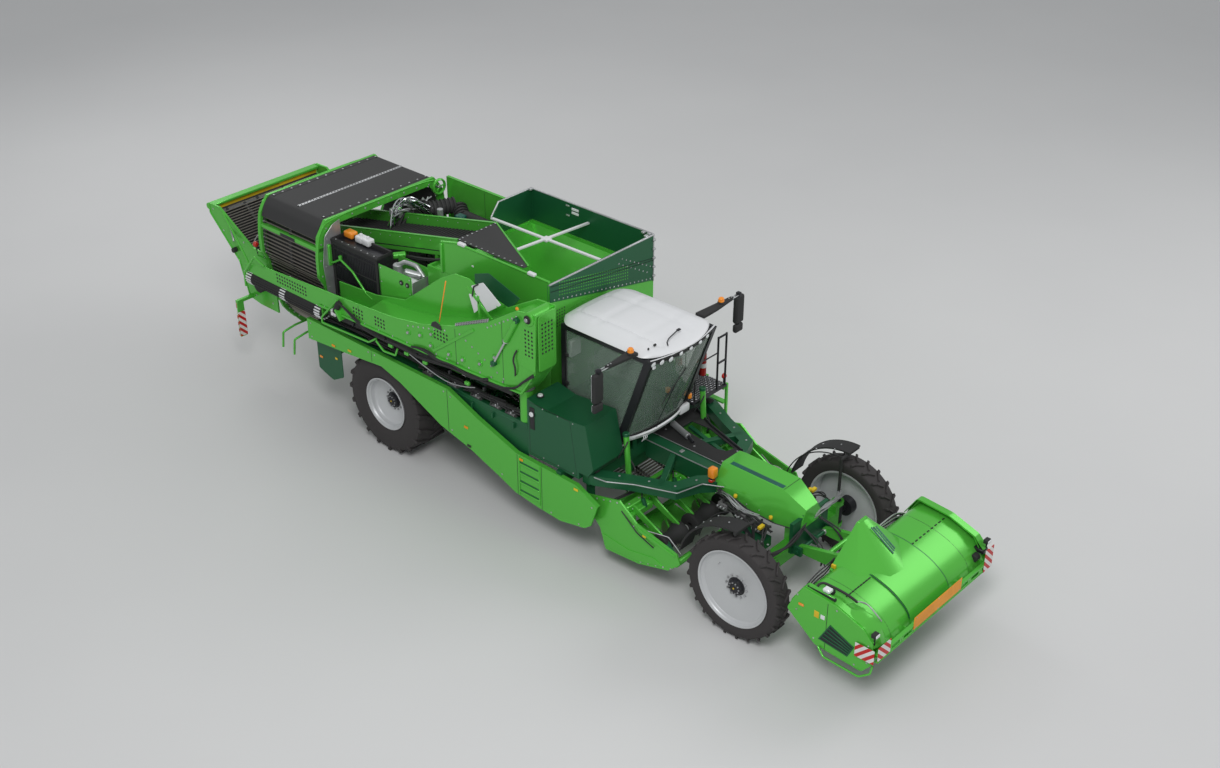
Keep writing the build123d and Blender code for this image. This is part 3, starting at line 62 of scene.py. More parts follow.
# Finishes, by the names of their materials.
GREEN = "light_green_paint"
TEAL = "teal_stripe_paint"
# Dark green also paints shade: lines on the hood, step slots on the sides, a shadow plate in the boom.
DARK_GREEN = "dark_green_paint"
# Black steel also paints the shade in the hood slits and the topper's side slot.
BLACK_STEEL = "black_steel"
# Black plastic also paints shade in round holes and a highlight on the boom rolls' ribs.
PLASTIC = "black_plastic"
# Black rubber also paints the shade under the rear web.
RUBBER = "black_rubber"
TYRE = "tyre_rubber"
RIM = "rim_grey_paint"
WEB_STEEL = "rod_web_steel"
# Zinc also draws the portal edge line that is partly a painted highlight.
ZINC = "zinc_steel"
CHROME = "chrome_rod"
IRON = "engine_iron"
WHITE = "roof_white"
GLASS = "cab_glass"
MIRROR = "mirror_glass"
CLOTH = "seat_fabric"
RED = "red_paint"
AMBER_LENS = "amber_lens"
RED_LENS = "red_lens"
CLEAR_LENS = "clear_lens"
ORANGE = "orange_board"
STRIPES = "striped_board"
YELLOW = "yellow_paint"


# ---------------------------------------------------------------- sizes and colours
def length(name, text, default):
    """A size that a user may change, in metres."""
    return bpy.props.FloatProperty(name=name, description=text, default=default, min=0.0005, unit="LENGTH")


def colour(name, text, default):
    """A colour that a user may change, linear."""
    return bpy.props.FloatVectorProperty(
        name=name, description=text, default=default, size=3, min=0, max=1, subtype="COLOR",
    )


class HarvesterSizes(bpy.types.PropertyGroup):
    """Sizes of the small things that the CAD frame leaves out."""

    sheet_edge: length("Sheet edge", "Rounding of sheet and plate edges", 0.004)
    bolt_radius: length("Bolt radius", "Radius of a plain bolt head", 0.012)
    hose_radius: length("Hose radius", "Radius of a hydraulic hose", 0.011)
    seat_swell: length("Seat swell", "How far the seat cushions crown", 0.022)


class HarvesterColours(bpy.types.PropertyGroup):
    """Main colours of the machine."""

    light_green: colour("Light green", "Paint of most sheets and frames", (0.11, 0.57, 0.048))
    # Dark green also paints shade: lines on the hood, step slots on the sides, a shadow plate in the boom.
    dark_green: colour("Dark green", "Paint of the tank, neck and flaps", (0.006, 0.034, 0.017))
    stripe_teal: colour("Stripe teal", "Stripes on the covers", (0.004, 0.1, 0.075))
    roof: colour("Roof", "Cab roof and its front lip", (0.6, 0.6, 0.6))
    rim: colour("Rim", "Wheel rims", (0.42, 0.42, 0.43))
    tyre: colour("Tyre", "Clean tyre rubber", (0.03, 0.028, 0.025))
    soil: colour("Soil", "Dried soil and dust", (0.16, 0.115, 0.065))
    glass: colour("Glass", "Tint of the cab glass", (0.045, 0.085, 0.06))
    board: colour("Board", "Blank board on the front rail", (0.85, 0.33, 0.01))


def sizes():
    """The sizes kept with the scene."""
    return bpy.context.scene.harvester_sizes


def colours():
    """The colours kept with the scene."""
    return bpy.context.scene.harvester_colours


# ---------------------------------------------------------------- modelling helpers
BEVEL_ROOM = 0.45  # most of a thin side that the bevel of a box may take
PLATE_BEVEL_ROOM = 0.4  # the same for a plate's thickness
ROD_BEVEL = 0.18  # bevel of a rod's rims as a share of its radius
ROD_SHARP = radians(60)
PLATE_SHARP = radians(50)
HEAD_HEIGHT, HEAD_BEVEL, WASHER_REACH = 0.6, 0.15, 1.35  # shares of a bolt's radius
WASHER_HEIGHT = 0.4  # share of its head's height


def select_only(*pieces):
    """Deselect everything, select these pieces and make the last one active."""
    for piece in bpy.context.selected_objects:
        piece.select_set(False)
    for piece in pieces:
        piece.select_set(True)
    bpy.context.view_layer.objects.active = pieces[-1] if pieces else None


def settle():
    """Put the active piece's place, turn and size into its mesh."""
    bpy.ops.object.transform_apply(location=True, rotation=True, scale=True)
    return bpy.context.object


def edit_all(*steps):
    """Run edit mode steps on all of the active piece. A step is a function without arguments."""
    bpy.ops.object.mode_set(mode="EDIT")
    bpy.ops.mesh.select_all(action="SELECT")
    for step in steps:
        step()
    bpy.ops.object.mode_set(mode="OBJECT")
    return bpy.context.object


def round_edges(amount, segments=1):
    """Edit mode step that bevels all selected edges."""
    return lambda: bpy.ops.mesh.bevel(offset=amount, segments=segments, affect="EDGES", clamp_overlap=True)


def face_out():
    """Edit mode step that turns all faces outwards."""
    bpy.ops.mesh.normals_make_consistent(inside=False)


def block(low, high, edge=None, segments=1):
    """Box between any two opposite corners, with bevelled edges."""
    select_only()
    low, high = (Vector(map(pick, low, high)) for pick in (min, max))
    bpy.ops.mesh.primitive_cube_add(size=1, location=(low + high) / 2, scale=high - low)
    settle()
    edge = sizes().sheet_edge if edge is None else edge
    room = BEVEL_ROOM * min(high - low)
    return edit_all(round_edges(min(edge, room), segments))


def towards(start, end):
    """Rotation that points local Z from start to end."""
    return (Vector(end) - Vector(start)).to_track_quat("Z", "Y")


def rod(start, end, radius, sides=12, tip=None, edge=None):
    """Round bar or cone from start to end, its rims bevelled."""
    select_only()
    start, end = Vector(start), Vector(end)
    bpy.ops.mesh.primitive_cone_add(
        vertices=sides, radius1=radius, radius2=radius if tip is None else tip, depth=(end - start).length,
        location=(start + end) / 2, rotation=towards(start, end).to_euler(),
    )
    piece = settle()
    edge = ROD_BEVEL * radius if edge is None else edge
    if edge:
        bpy.ops.object.mode_set(mode="EDIT")
        bpy.ops.mesh.select_all(action="DESELECT")
        bpy.ops.mesh.edges_select_sharp(sharpness=ROD_SHARP)
        bpy.ops.mesh.bevel(offset=edge, segments=1, affect="EDGES")
        bpy.ops.object.mode_set(mode="OBJECT")
    return piece


def bar(start, end, width, height, edge=0.003):
    """Rectangular bar from start to end; height stays upright where it can."""
    select_only()
    start, end = Vector(start), Vector(end)
    run = end - start
    turn = run.to_track_quat("X", "Z")
    bpy.ops.mesh.primitive_cube_add(
        size=1, location=(start + end) / 2, scale=(run.length, width, height), rotation=turn.to_euler(),
    )
    settle()
    return edit_all(round_edges(min(edge, BEVEL_ROOM * width, BEVEL_ROOM * height)))


def on_axis(axis, depth, across):
    """A point from its depth along an axis and its two other coordinates in x, y, z order."""
    point = list(across)
    point.insert("xyz".index(axis), depth)
    return Vector(point)


def extruded(axis, thick, edge):
    """Extrude the flat shape in edit mode along an axis, face it outwards and bevel its sharp edges."""
    edge = sizes().sheet_edge if edge is None else edge
    bpy.ops.mesh.select_all(action="SELECT")
    bpy.ops.mesh.extrude_region_move(TRANSFORM_OT_translate={"value": on_axis(axis, thick, (0, 0))})
    bpy.ops.mesh.select_all(action="SELECT")
    bpy.ops.mesh.normals_make_consistent(inside=False)
    if edge:
        bpy.ops.mesh.select_all(action="DESELECT")
        bpy.ops.mesh.edges_select_sharp(sharpness=PLATE_SHARP)
        bpy.ops.mesh.bevel(offset=min(edge, PLATE_BEVEL_ROOM * abs(thick)), segments=1, affect="EDGES")
    bpy.ops.object.mode_set(mode="OBJECT")
    return bpy.context.object


def plate(outline, axis, low, high, edge=None, corner=0, segments=3):
    """Plate cut to an outline of (x, y), (x, z) or (y, z) points, from low to high along the third axis."""
    select_only()
    bpy.ops.mesh.primitive_circle_add(vertices=len(outline), fill_type="NGON")
    piece = bpy.context.object
    for vertex, point in zip(piece.data.vertices, outline):
        vertex.co = on_axis(axis, low, point)
    bpy.ops.object.mode_set(mode="EDIT")
    bpy.ops.mesh.select_all(action="SELECT")
    if corner:
        bpy.ops.mesh.bevel(offset=corner, segments=segments, affect="VERTICES")
    return extruded(axis, high - low, edge)


def window_plate(outer, inner, axis, low, high, edge=None):
    """Plate with a window: both outlines have as many points, in the same order."""
    loops = []
    for outline in (outer, inner):
        select_only()
        bpy.ops.mesh.primitive_circle_add(vertices=len(outline), fill_type="NOTHING")
        loop = bpy.context.object
        for vertex, point in zip(loop.data.vertices, outline):
            vertex.co = on_axis(axis, low, point)
        loops.append(loop)
    select_only(*loops)
    bpy.ops.object.join()
    bpy.ops.object.mode_set(mode="EDIT")
    bpy.ops.mesh.select_all(action="SELECT")
    bpy.ops.mesh.bridge_edge_loops()
    return extruded(axis, high - low, edge)


def turned(outline, centre, axis="x", steps=48, span=360):
    """Solid turned about an axis through centre, from (along, radius) points."""
    select_only()
    bpy.ops.mesh.primitive_circle_add(vertices=len(outline), fill_type="NOTHING")
    piece = bpy.context.object
    centre = Vector(centre)
    along = on_axis(axis, 1, (0, 0))
    out = Vector((0, 0, 1)) if axis != "z" else Vector((1, 0, 0))
    for vertex, (place, radius) in zip(piece.data.vertices, outline):
        vertex.co = centre + along * place + out * radius
    bpy.ops.object.mode_set(mode="EDIT")
    bpy.ops.mesh.select_all(action="SELECT")
    bpy.ops.mesh.spin(steps=steps, angle=radians(span), center=centre, axis=along)
    bpy.ops.mesh.select_all(action="SELECT")
    bpy.ops.mesh.remove_doubles(threshold=0.0002)
    bpy.ops.mesh.normals_make_consistent(inside=False)
    bpy.ops.object.mode_set(mode="OBJECT")
    return piece


def dome(centre, radius, height, axis=(0, 0, 1), sides=16):
    """Lens or cap: half a ball flattened to a height."""
    select_only()
    turn = Vector(axis).to_track_quat("Z", "Y")
    bpy.ops.mesh.primitive_uv_sphere_add(segments=sides, ring_count=8, radius=radius)
    piece = bpy.context.object
    bpy.ops.object.mode_set(mode="EDIT")
    bpy.ops.mesh.select_all(action="SELECT")
    bpy.ops.mesh.bisect(plane_co=(0, 0, 0), plane_no=(0, 0, 1), clear_inner=True, use_fill=True)
    bpy.ops.object.mode_set(mode="OBJECT")
    piece.scale = (1, 1, height / radius)
    piece.rotation_euler = turn.to_euler()
    piece.location = centre
    return settle()


def swept(path, radius, round_steps, steps):
    """Round piece along a smooth line through loose points."""
    line = bpy.data.curves.new("swept", "CURVE")
    line.dimensions = "3D"
    line.bevel_depth = radius
    line.bevel_resolution = round_steps
    line.resolution_u = steps
    line.use_fill_caps = True
    spline = line.splines.new("NURBS")
    spline.points.add(len(path) - 1)
    for point, place in zip(spline.points, path):
        point.co = (*place, 1)
    spline.order_u = 3
    spline.use_endpoint_u = True
    piece = bpy.data.objects.new("swept", line)
    bpy.context.scene.collection.objects.link(piece)
    select_only(piece)
    bpy.ops.object.convert(target="MESH")
    return bpy.context.object


def tube(points, radius, bend=0.25, steps=4, sides=3):
    """Bent tube: straight runs with a bend at each corner, bend as a share of the shorter run."""
    points = [Vector(p) for p in points]
    path = [points[0]]
    for before, here, after in zip(points, points[1:], points[2:]):
        reach = bend * min((before - here).length, (after - here).length)
        path += [
            here + (before - here).normalized() * reach, here, here + (after - here).normalized() * reach,
        ]
    path.append(points[-1])
    return swept(path, radius, sides, steps)


def hose(points, radius=None):
    """Held hose on one smooth line through loose points."""
    return swept(points, radius or sizes().hose_radius, 1, 5)


def copies(source, places):
    """Copies of one piece, each with its own mesh, at offsets or matrices, joined; the source goes."""
    made = []
    for place in places:
        twin = bpy.data.objects.new(source.name, source.data.copy())
        bpy.context.scene.collection.objects.link(twin)
        twin.data.transform(place if isinstance(place, Matrix) else Matrix.Translation(place))
        made.append(twin)
    old = source.data
    bpy.data.objects.remove(source)
    bpy.data.meshes.remove(old)
    return joined(made)


def joined(pieces):
    """One piece out of several."""
    select_only(*pieces)
    if len(pieces) > 1:
        bpy.ops.object.join()
    return bpy.context.object


def moved(piece, matrix):
    """The same piece, its mesh moved by a matrix."""
    piece.data.transform(matrix)
    return piece


def turn_about(point, angle, axis):
    """Matrix of a turn in degrees about an axis through a point."""
    point = Vector(point)
    return Matrix.Translation(point) @ Matrix.Rotation(radians(angle), 4, axis) @ Matrix.Translation(-point)


def spread(first, last, count):
    """Evenly spaced numbers or points from first to last."""
    if not isinstance(first, (int, float)):
        first, last = Vector(first), Vector(last)
    return [first + (last - first) * (i / (count - 1)) for i in range(count)]


def bolts(points, axis="x", radius=None, height=None):
    """Hexagon bolt heads with washers at points, pointing along an axis."""
    radius = radius or sizes().bolt_radius
    height = height or HEAD_HEIGHT * radius
    out = on_axis(axis, 1, (0, 0))
    head = rod(-out * height, out * height, radius, 6, edge=HEAD_BEVEL * radius)
    rest = out * height * WASHER_HEIGHT
    washer = rod(-rest, rest, radius * WASHER_REACH, 10, edge=0)
    return copies(joined([head, washer]), [Vector(p) for p in points])


class Kit:
    """Pieces of one group on one body, joined by finish when the group is done."""

    def __init__(self, name, body):
        self.name, self.body, self.heap = name, body, {}

    def add(self, finish, *pieces):
        """Take pieces of one finish."""
        self.heap.setdefault(finish, []).extend(pieces)

    def deliver(self, *replaced, smooth=38):
        """Join and dress the pieces by finish, attach them to the body, hide the replaced CAD nodes and
        return the first piece.
        """
        first = None
        for finish, pieces in self.heap.items():
            piece = joined(pieces)
            piece.name = f"{self.name}_{finish}"
            piece.data.name = piece.name
            dress(piece, finish)
            bpy.ops.object.shade_smooth_by_angle(angle=radians(smooth))
            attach(piece, self.body)
            first = first or piece
        if replaced:
            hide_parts(*replaced)
        return first


def build(name, body, makers, *replaced):
    kit = Kit(name, body)
    for make in makers:
        make(kit)
    return kit.deliver(*replaced)


def dress(piece, finish):
    """Give a whole piece one finish."""
    piece.data.materials.clear()
    piece.data.materials.append(bpy.data.materials[finish])


def softened(points, reach=0.3, steps=4):
    """The same open line with each inner corner rounded; reach is a share of the shorter run."""
    points = [Vector(p) for p in points]
    line = [points[0]]
    for before, here, after in zip(points, points[1:], points[2:]):
        span = reach * min((before - here).length, (after - here).length)
        start = here + (before - here).normalized() * span
        end = here + (after - here).normalized() * span
        for i in range(steps + 1):
            t = i / steps
            line.append(start * (1 - t) ** 2 + here * 2 * t * (1 - t) + end * t ** 2)
    return line + [points[-1]]


def skin(rows, thick=0.0, outwards=-1.0):
    """Sheet over rows of points, each row as long, thickened by a Solidify modifier."""
    select_only()
    across, along = len(rows[0]), len(rows)
    bpy.ops.mesh.primitive_grid_add(x_subdivisions=across - 1, y_subdivisions=along - 1, size=1)
    piece = bpy.context.object
    for vertex in piece.data.vertices:
        i = round((vertex.co.x + 0.5) * (across - 1))
        j = round((vertex.co.y + 0.5) * (along - 1))
        vertex.co = rows[j][i]
    if thick:
        solid = piece.modifiers.new("thickness", "SOLIDIFY")
        solid.thickness = thick
        solid.offset = outwards
        bpy.ops.object.modifier_apply(modifier=solid.name)
        edit_all(face_out)
    return piece


def folded_sheet(line, axis, low, high, thick, outwards=-1.0):
    """Bent sheet: an open line of two coordinates carried from low to high along the third axis."""
    return skin([[on_axis(axis, depth, p) for p in line] for depth in (low, high)], thick, outwards)


# ---------------------------------------------------------------- finishes
def node(tree, kind, link=None, **settings):
    """Add a node; link maps input names to sockets or values, settings are the node's own."""
    made = tree.nodes.new(kind)
    for key, value in settings.items():
        setattr(made, key, value)
    for key, value in (link or {}).items():
        if isinstance(value, bpy.types.NodeSocket):
            tree.links.new(value, made.inputs[key])
        else:
            made.inputs[key].default_value = value
    return made


def sum_of(tree, operation, a, b, clamp=False):
    """Output of a Math node."""
    return node(tree, "ShaderNodeMath", {0: a, 1: b}, operation=operation, use_clamp=clamp).outputs[0]


def stretch(tree, value, low, high, start=0.0, end=1.0):
    """Map low..high of a value to start..end, clamped."""
    link = {"Value": value, "From Min": low, "From Max": high, "To Min": start, "To Max": end}
    return node(tree, "ShaderNodeMapRange", link).outputs[0]


def blend_colour(tree, share, first, second, kind="MIX"):
    """Mix two colours by a share."""
    made = node(tree, "ShaderNodeMix", data_type="RGBA", blend_type=kind)
    for key, value in ((0, share), (6, first), (7, second)):
        if isinstance(value, bpy.types.NodeSocket):
            tree.links.new(value, made.inputs[key])
        else:
            made.inputs[key].default_value = value if key == 0 else (*value[:3], 1)
    return made.outputs[2]


def noise(tree, vector, scale, detail=3.0, roughness=0.55):
    """Noise value over a vector."""
    link = {"Vector": vector, "Scale": scale, "Detail": detail, "Roughness": roughness}
    return node(tree, "ShaderNodeTexNoise", link).outputs[0]


def new_group(name, inputs, outputs):
    """Empty shader node group with float inputs (name, default) and float outputs."""
    tree = bpy.data.node_groups.new(name, "ShaderNodeTree")
    for label, default in inputs:
        socket = tree.interface.new_socket(label, in_out="INPUT", socket_type="NodeSocketFloat")
        socket.default_value = default
    for label in outputs:
        tree.interface.new_socket(label, in_out="OUTPUT", socket_type="NodeSocketFloat")
    return tree, tree.nodes.new("NodeGroupInput").outputs, tree.nodes.new("NodeGroupOutput").inputs


def make_weather_group():
    """Dust that lies on upward faces and low down, with soft colour clouds and fine grain."""
    inputs = (("Dust", 0.3), ("Cloud Scale", 1.5), ("Grain Scale", 400.0), ("Low Dirt", 0.4))
    tree, given, put = new_group("weather", inputs, ("Cloud", "Dust", "Grain"))
    place = node(tree, "ShaderNodeTexCoord").outputs["Object"]
    normal = node(tree, "ShaderNodeNewGeometry").outputs["Normal"]
    upward = stretch(tree, node(tree, "ShaderNodeSeparateXYZ", {0: normal}).outputs[2], 0.1, 1.0)
    height = node(tree, "ShaderNodeSeparateXYZ", {0: place}).outputs[2]
    cloud = noise(tree, place, given["Cloud Scale"], 4.0)
    speck = stretch(tree, noise(tree, place, 23.0, 6.0, 0.7), 0.42, 0.72)
    lying = sum_of(tree, "MULTIPLY", sum_of(tree, "MULTIPLY", upward, speck), given["Dust"])
    splash = stretch(tree, height, 1.5, 0.3, 0.0, 1.0)
    patch = stretch(tree, noise(tree, place, 5.0, 5.0, 0.65), 0.45, 0.7)
    low = sum_of(tree, "MULTIPLY", sum_of(tree, "MULTIPLY", splash, patch), given["Low Dirt"])
    tree.links.new(cloud, put["Cloud"])
    tree.links.new(sum_of(tree, "ADD", lying, low, True), put["Dust"])
    tree.links.new(noise(tree, place, given["Grain Scale"], 2.0), put["Grain"])


def make_scuff_group():
    """Thin scratches and bright rubbed spots."""
    tree, given, put = new_group("scuffs", (("Scale", 9.0), ("Amount", 0.3)), ("Mask",))
    place = node(tree, "ShaderNodeTexCoord").outputs["Object"]
    drawn = node(tree, "ShaderNodeMapping", {"Vector": place, "Scale": (1.0, 7.0, 7.0)}).outputs[0]
    line = stretch(tree, noise(tree, drawn, given["Scale"], 8.0, 0.8), 0.63, 0.7)
    where = stretch(tree, noise(tree, place, 1.7, 2.0), 0.5, 0.62)
    mask = sum_of(tree, "MULTIPLY", sum_of(tree, "MULTIPLY", line, where), given["Amount"], True)
    tree.links.new(mask, put["Mask"])


def use_group(tree, name, **values):
    """A group placed in a material with its own values; underscores stand for spaces."""
    made = tree.nodes.new("ShaderNodeGroup")
    made.node_tree = bpy.data.node_groups[name]
    for key, value in values.items():
        made.inputs[key.replace("_", " ")].default_value = value
    return made.outputs


def new_material(name):
    """Material with a bare Principled shader: its tree and the shader."""
    material = bpy.data.materials.new(name)
    material.use_nodes = True
    tree = material.node_tree
    tree.nodes.clear()
    shader = tree.nodes.new("ShaderNodeBsdfPrincipled")
    output = tree.nodes.new("ShaderNodeOutputMaterial")
    tree.links.new(shader.outputs[0], output.inputs[0])
    return tree, shader


def bump(tree, shader, height, strength, distance):
    """Drive the shader's normal by a height."""
    made = node(tree, "ShaderNodeBump", {"Height": height, "Strength": strength, "Distance": distance})
    tree.links.new(made.outputs[0], shader.inputs["Normal"])


def coated(
    name, base, rough, metal=0.0, coat=0.0, cloud=0.16, dust=0.25, low_dirt=0.45, scuff=0.2, grain=300.0,
    grain_depth=0.0006, scuff_colour=(0.45, 0.45, 0.45),
):
    """Paint, plastic or metal with colour clouds, dust, scuffs and fine grain."""
    tree, shader = new_material(name)
    weather = use_group(tree, "weather", Dust=dust, Low_Dirt=low_dirt, Grain_Scale=grain)
    scuffs = use_group(tree, "scuffs", Amount=scuff)
    dark = [c * (1 - cloud) for c in base]
    light = [min(1, c * (1 + cloud)) for c in base]
    ground = blend_colour(tree, stretch(tree, weather["Cloud"], 0.35, 0.65), dark, light)
    ground = blend_colour(tree, scuffs["Mask"], ground, scuff_colour)
    ground = blend_colour(tree, weather["Dust"], ground, colours().soil)
    tree.links.new(ground, shader.inputs["Base Color"])
    worn = sum_of(tree, "ADD", weather["Dust"], scuffs["Mask"], True)
    tree.links.new(stretch(tree, worn, 0.0, 1.0, rough, min(1.0, rough + 0.4)), shader.inputs["Roughness"])
    shader.inputs["Metallic"].default_value = metal
    shader.inputs["Coat Weight"].default_value = coat
    shader.inputs["Coat Roughness"].default_value = 0.12
    shader.inputs["Specular IOR Level"].default_value = 0.5 if metal else 0.32
    bump(tree, shader, weather["Grain"], 0.25, grain_depth)
    return tree, shader


def make_plain_finishes():
    """Finishes that differ only in colour, gloss and wear."""
    paint = colours()
    steel = (0.35, 0.34, 0.33)
    coated(GREEN, paint.light_green, 0.52, coat=0.03, dust=0.1, low_dirt=0.35, scuff=0.12)
    coated(DARK_GREEN, paint.dark_green, 0.42, coat=0.04, dust=0.12, low_dirt=0.3, scuff=0.1)
    coated(TEAL, paint.stripe_teal, 0.35, coat=0.2, dust=0.08, scuff=0.05)
    coated(BLACK_STEEL, (0.016, 0.017, 0.019), 0.42, dust=0.22, scuff=0.25, scuff_colour=steel)
    coated(PLASTIC, (0.028, 0.028, 0.031), 0.5, dust=0.3, scuff=0.1, grain=700, grain_depth=0.001)
    coated(RIM, paint.rim, 0.32, metal=0.25, coat=0.2, dust=0.12, low_dirt=0.22, scuff=0.08)
    coated(WEB_STEEL, (0.2, 0.17, 0.14), 0.38, metal=0.8, cloud=0.35, dust=0.4, scuff=0.4)
    coated(ZINC, (0.46, 0.47, 0.48), 0.38, metal=0.65, cloud=0.22, dust=0.2, scuff=0.15)
    coated(CHROME, (0.62, 0.63, 0.65), 0.12, metal=1.0, cloud=0.04, dust=0.04, low_dirt=0.1, scuff=0.05)
    coated(IRON, (0.17, 0.17, 0.18), 0.5, metal=0.35, cloud=0.35, dust=0.3, grain=160, grain_depth=0.002)
    coated(WHITE, paint.roof, 0.45, coat=0.1, cloud=0.05, dust=0.1, scuff=0.04, grain=500)
    coated(RED, (0.48, 0.012, 0.01), 0.3, coat=0.4, dust=0.08, scuff=0.08)
    coated(YELLOW, (0.72, 0.5, 0.02), 0.4, dust=0.1, scuff=0.08)


def make_rubber_finishes():
    """Belt rubber, and tyre rubber with soil in its tread."""
    coated(RUBBER, (0.022, 0.022, 0.024), 0.62, cloud=0.3, dust=0.35, scuff=0.15)
    tree, shader = new_material(TYRE)
    place = node(tree, "ShaderNodeTexCoord").outputs["Object"]
    weather = use_group(tree, "weather", Dust=0.5, Low_Dirt=0.6, Grain_Scale=220.0)
    caked = stretch(tree, noise(tree, place, 3.1, 6.0, 0.7), 0.36, 0.58)
    fine = stretch(tree, noise(tree, place, 31.0, 5.0, 0.7), 0.35, 0.7)
    mask = sum_of(tree, "MULTIPLY", caked, fine)
    mask = sum_of(tree, "ADD", sum_of(tree, "MULTIPLY", mask, 0.95), weather["Dust"], True)
    clean = [c * 1.5 for c in colours().tyre]
    rubber = blend_colour(tree, weather["Cloud"], colours().tyre, clean)
    tree.links.new(blend_colour(tree, mask, rubber, colours().soil), shader.inputs["Base Color"])
    tree.links.new(stretch(tree, mask, 0.0, 1.0, 0.62, 0.95), shader.inputs["Roughness"])
    bump(tree, shader, sum_of(tree, "ADD", weather["Grain"], mask), 0.5, 0.004)


def make_glass_finishes():
    """Tinted cab glass, mirror glass and lamp lenses."""
    tree, shader = new_material(GLASS)
    weather = use_group(tree, "weather", Dust=0.2, Low_Dirt=0.0, Grain_Scale=40.0)
    tint = [c * 0.8 for c in colours().glass]
    tree.links.new(blend_colour(tree, weather["Cloud"], tint, colours().glass), shader.inputs["Base Color"])
    tree.links.new(stretch(tree, weather["Dust"], 0.0, 1.0, 0.03, 0.3), shader.inputs["Roughness"])
    tree.links.new(stretch(tree, weather["Dust"], 0.0, 1.0, 0.12, 0.4), shader.inputs["Alpha"])
    shader.inputs["Specular IOR Level"].default_value = 0.3
    for name, base, metal, rough in (
        (MIRROR, (0.75, 0.77, 0.8), 1.0, 0.05), (AMBER_LENS, (0.92, 0.3, 0.025), 0.0, 0.2),
        (RED_LENS, (0.55, 0.02, 0.012), 0.0, 0.16), (CLEAR_LENS, (0.8, 0.82, 0.84), 0.15, 0.12),
    ):
        tree, shader = coated(name, base, rough, metal=metal, coat=0.5, cloud=0.06, dust=0.06, scuff=0.03)
        ribs = node(tree, "ShaderNodeTexWave", {"Scale": 60.0})
        bump(tree, shader, ribs.outputs[1], 0.0 if metal == 1.0 else 0.25, 0.001)


def make_seat_finish():
    """Woven seat cloth."""
    tree, shader = new_material(CLOTH)
    place = node(tree, "ShaderNodeTexCoord").outputs["Object"]
    weather = use_group(tree, "weather", Dust=0.2, Low_Dirt=0.0)
    threads = [
        node(tree, "ShaderNodeTexWave", {"Vector": place, "Scale": 110.0}, bands_direction=d).outputs[1]
        for d in ("X", "Y", "Z")
    ]
    weave = sum_of(tree, "ADD", sum_of(tree, "ADD", threads[0], threads[1]), threads[2])
    cloth = blend_colour(tree, stretch(tree, weave, 0.6, 2.4), (0.014, 0.015, 0.018), (0.05, 0.052, 0.058))
    tree.links.new(blend_colour(tree, weather["Dust"], cloth, colours().soil), shader.inputs["Base Color"])
    shader.inputs["Roughness"].default_value = 0.85
    shader.inputs["Sheen Weight"].default_value = 0.3
    bump(tree, shader, weave, 0.5, 0.0015)


def make_board_finishes():
    """Blank orange board and red and white slanted stripes."""
    coated(ORANGE, colours().board, 0.38, cloud=0.08, dust=0.06, scuff=0.06)
    tree, shader = coated(STRIPES, (0.7, 0.7, 0.7), 0.35, dust=0.06, scuff=0.04)
    place = node(tree, "ShaderNodeTexCoord").outputs["Object"]
    x, y, z = node(tree, "ShaderNodeSeparateXYZ", {0: place}).outputs
    slant = sum_of(tree, "ADD", sum_of(tree, "ADD", x, y), z)
    run = sum_of(tree, "FRACT", sum_of(tree, "DIVIDE", slant, 0.14), 0.0)
    share = sum_of(tree, "GREATER_THAN", run, 0.5)
    weather = use_group(tree, "weather", Dust=0.15)
    painted = blend_colour(tree, share, (0.75, 0.74, 0.72), (0.55, 0.012, 0.012))
    painted = blend_colour(tree, weather["Dust"], painted, colours().soil)
    tree.links.new(painted, shader.inputs["Base Color"])


class OBJECT_OT_harvester_finishes(bpy.types.Operator):
    """Make every finish and dress the CAD pieces in theirs"""

    bl_idname = "object.harvester_finishes"
    bl_label = "Finishes"

    def execute(self, context):
        make_weather_group()
        make_scuff_group()
        make_plain_finishes()
        make_rubber_finishes()
        make_glass_finishes()
        make_seat_finish()
        make_board_finishes()
        slot_of_node = {part["node"]: part["material_slot"] for part in frame["record"]["subparts"]}
        for name, piece in frame["nodes"].items():
            finish = bpy.data.materials[slot_of_node[name]]
            for place in piece.material_slots:
                place.material = finish
            if not piece.material_slots:
                piece.data.materials.append(finish)
        return {"FINISHED"}


# ---------------------------------------------------------------- wheels
def tyre_section(half, tread, bead):
    """Closed (along, radius) outline of a tyre: bead, bulged wall, rounded shoulder and crown."""
    wall = tread - bead
    side = [
        (0.84 * half, bead - 0.004), (0.93 * half, bead + 0.12 * wall), (1.0 * half, bead + 0.42 * wall),
        (0.99 * half, bead + 0.68 * wall), (0.92 * half, tread - 0.055), (0.76 * half, tread - 0.04),
        (0.38 * half, tread - 0.033),
    ]
    return side + [(0.0, tread - 0.031)] + [(-x, r) for x, r in reversed(side)]


def tread_lug(centre, half, tread, side, width, rake):
    """One slanted tread bar in two lengths lying on the crown, and its block on the shoulder."""
    def onto_crown(piece, along):
        return moved(piece, turn_about((0, 0, 0), -degrees(along / tread), "X"))

    parts = []
    along = 0.0
    for inner, outer, slope, wide, wider in (
        (-0.03 * half, 0.56 * half, rake, 1.1 * width, width),
        (0.54 * half, 0.965 * half, 0.55 * rake, width, 1.25 * width),
    ):
        rise = slope * (outer - inner)
        outline = [
            (side * inner, (-rise - wide) / 2), (side * inner, (wide - rise) / 2),
            (side * outer, (rise + wider) / 2), (side * outer, (rise - wider) / 2),
        ]
        part = plate(outline, "z", tread - 0.06, tread - 0.005, edge=0.009)
        parts.append(onto_crown(part, along + rise / 2))
        along += rise
    shoulder = block(
        (side * 0.9 * half, -0.45 * width, tread - 0.135),
        (side * 0.985 * half, 0.45 * width, tread - 0.014), 0.009,
    )
    parts.append(onto_crown(shoulder, along))
    return moved(joined(parts), Matrix.Translation(centre))


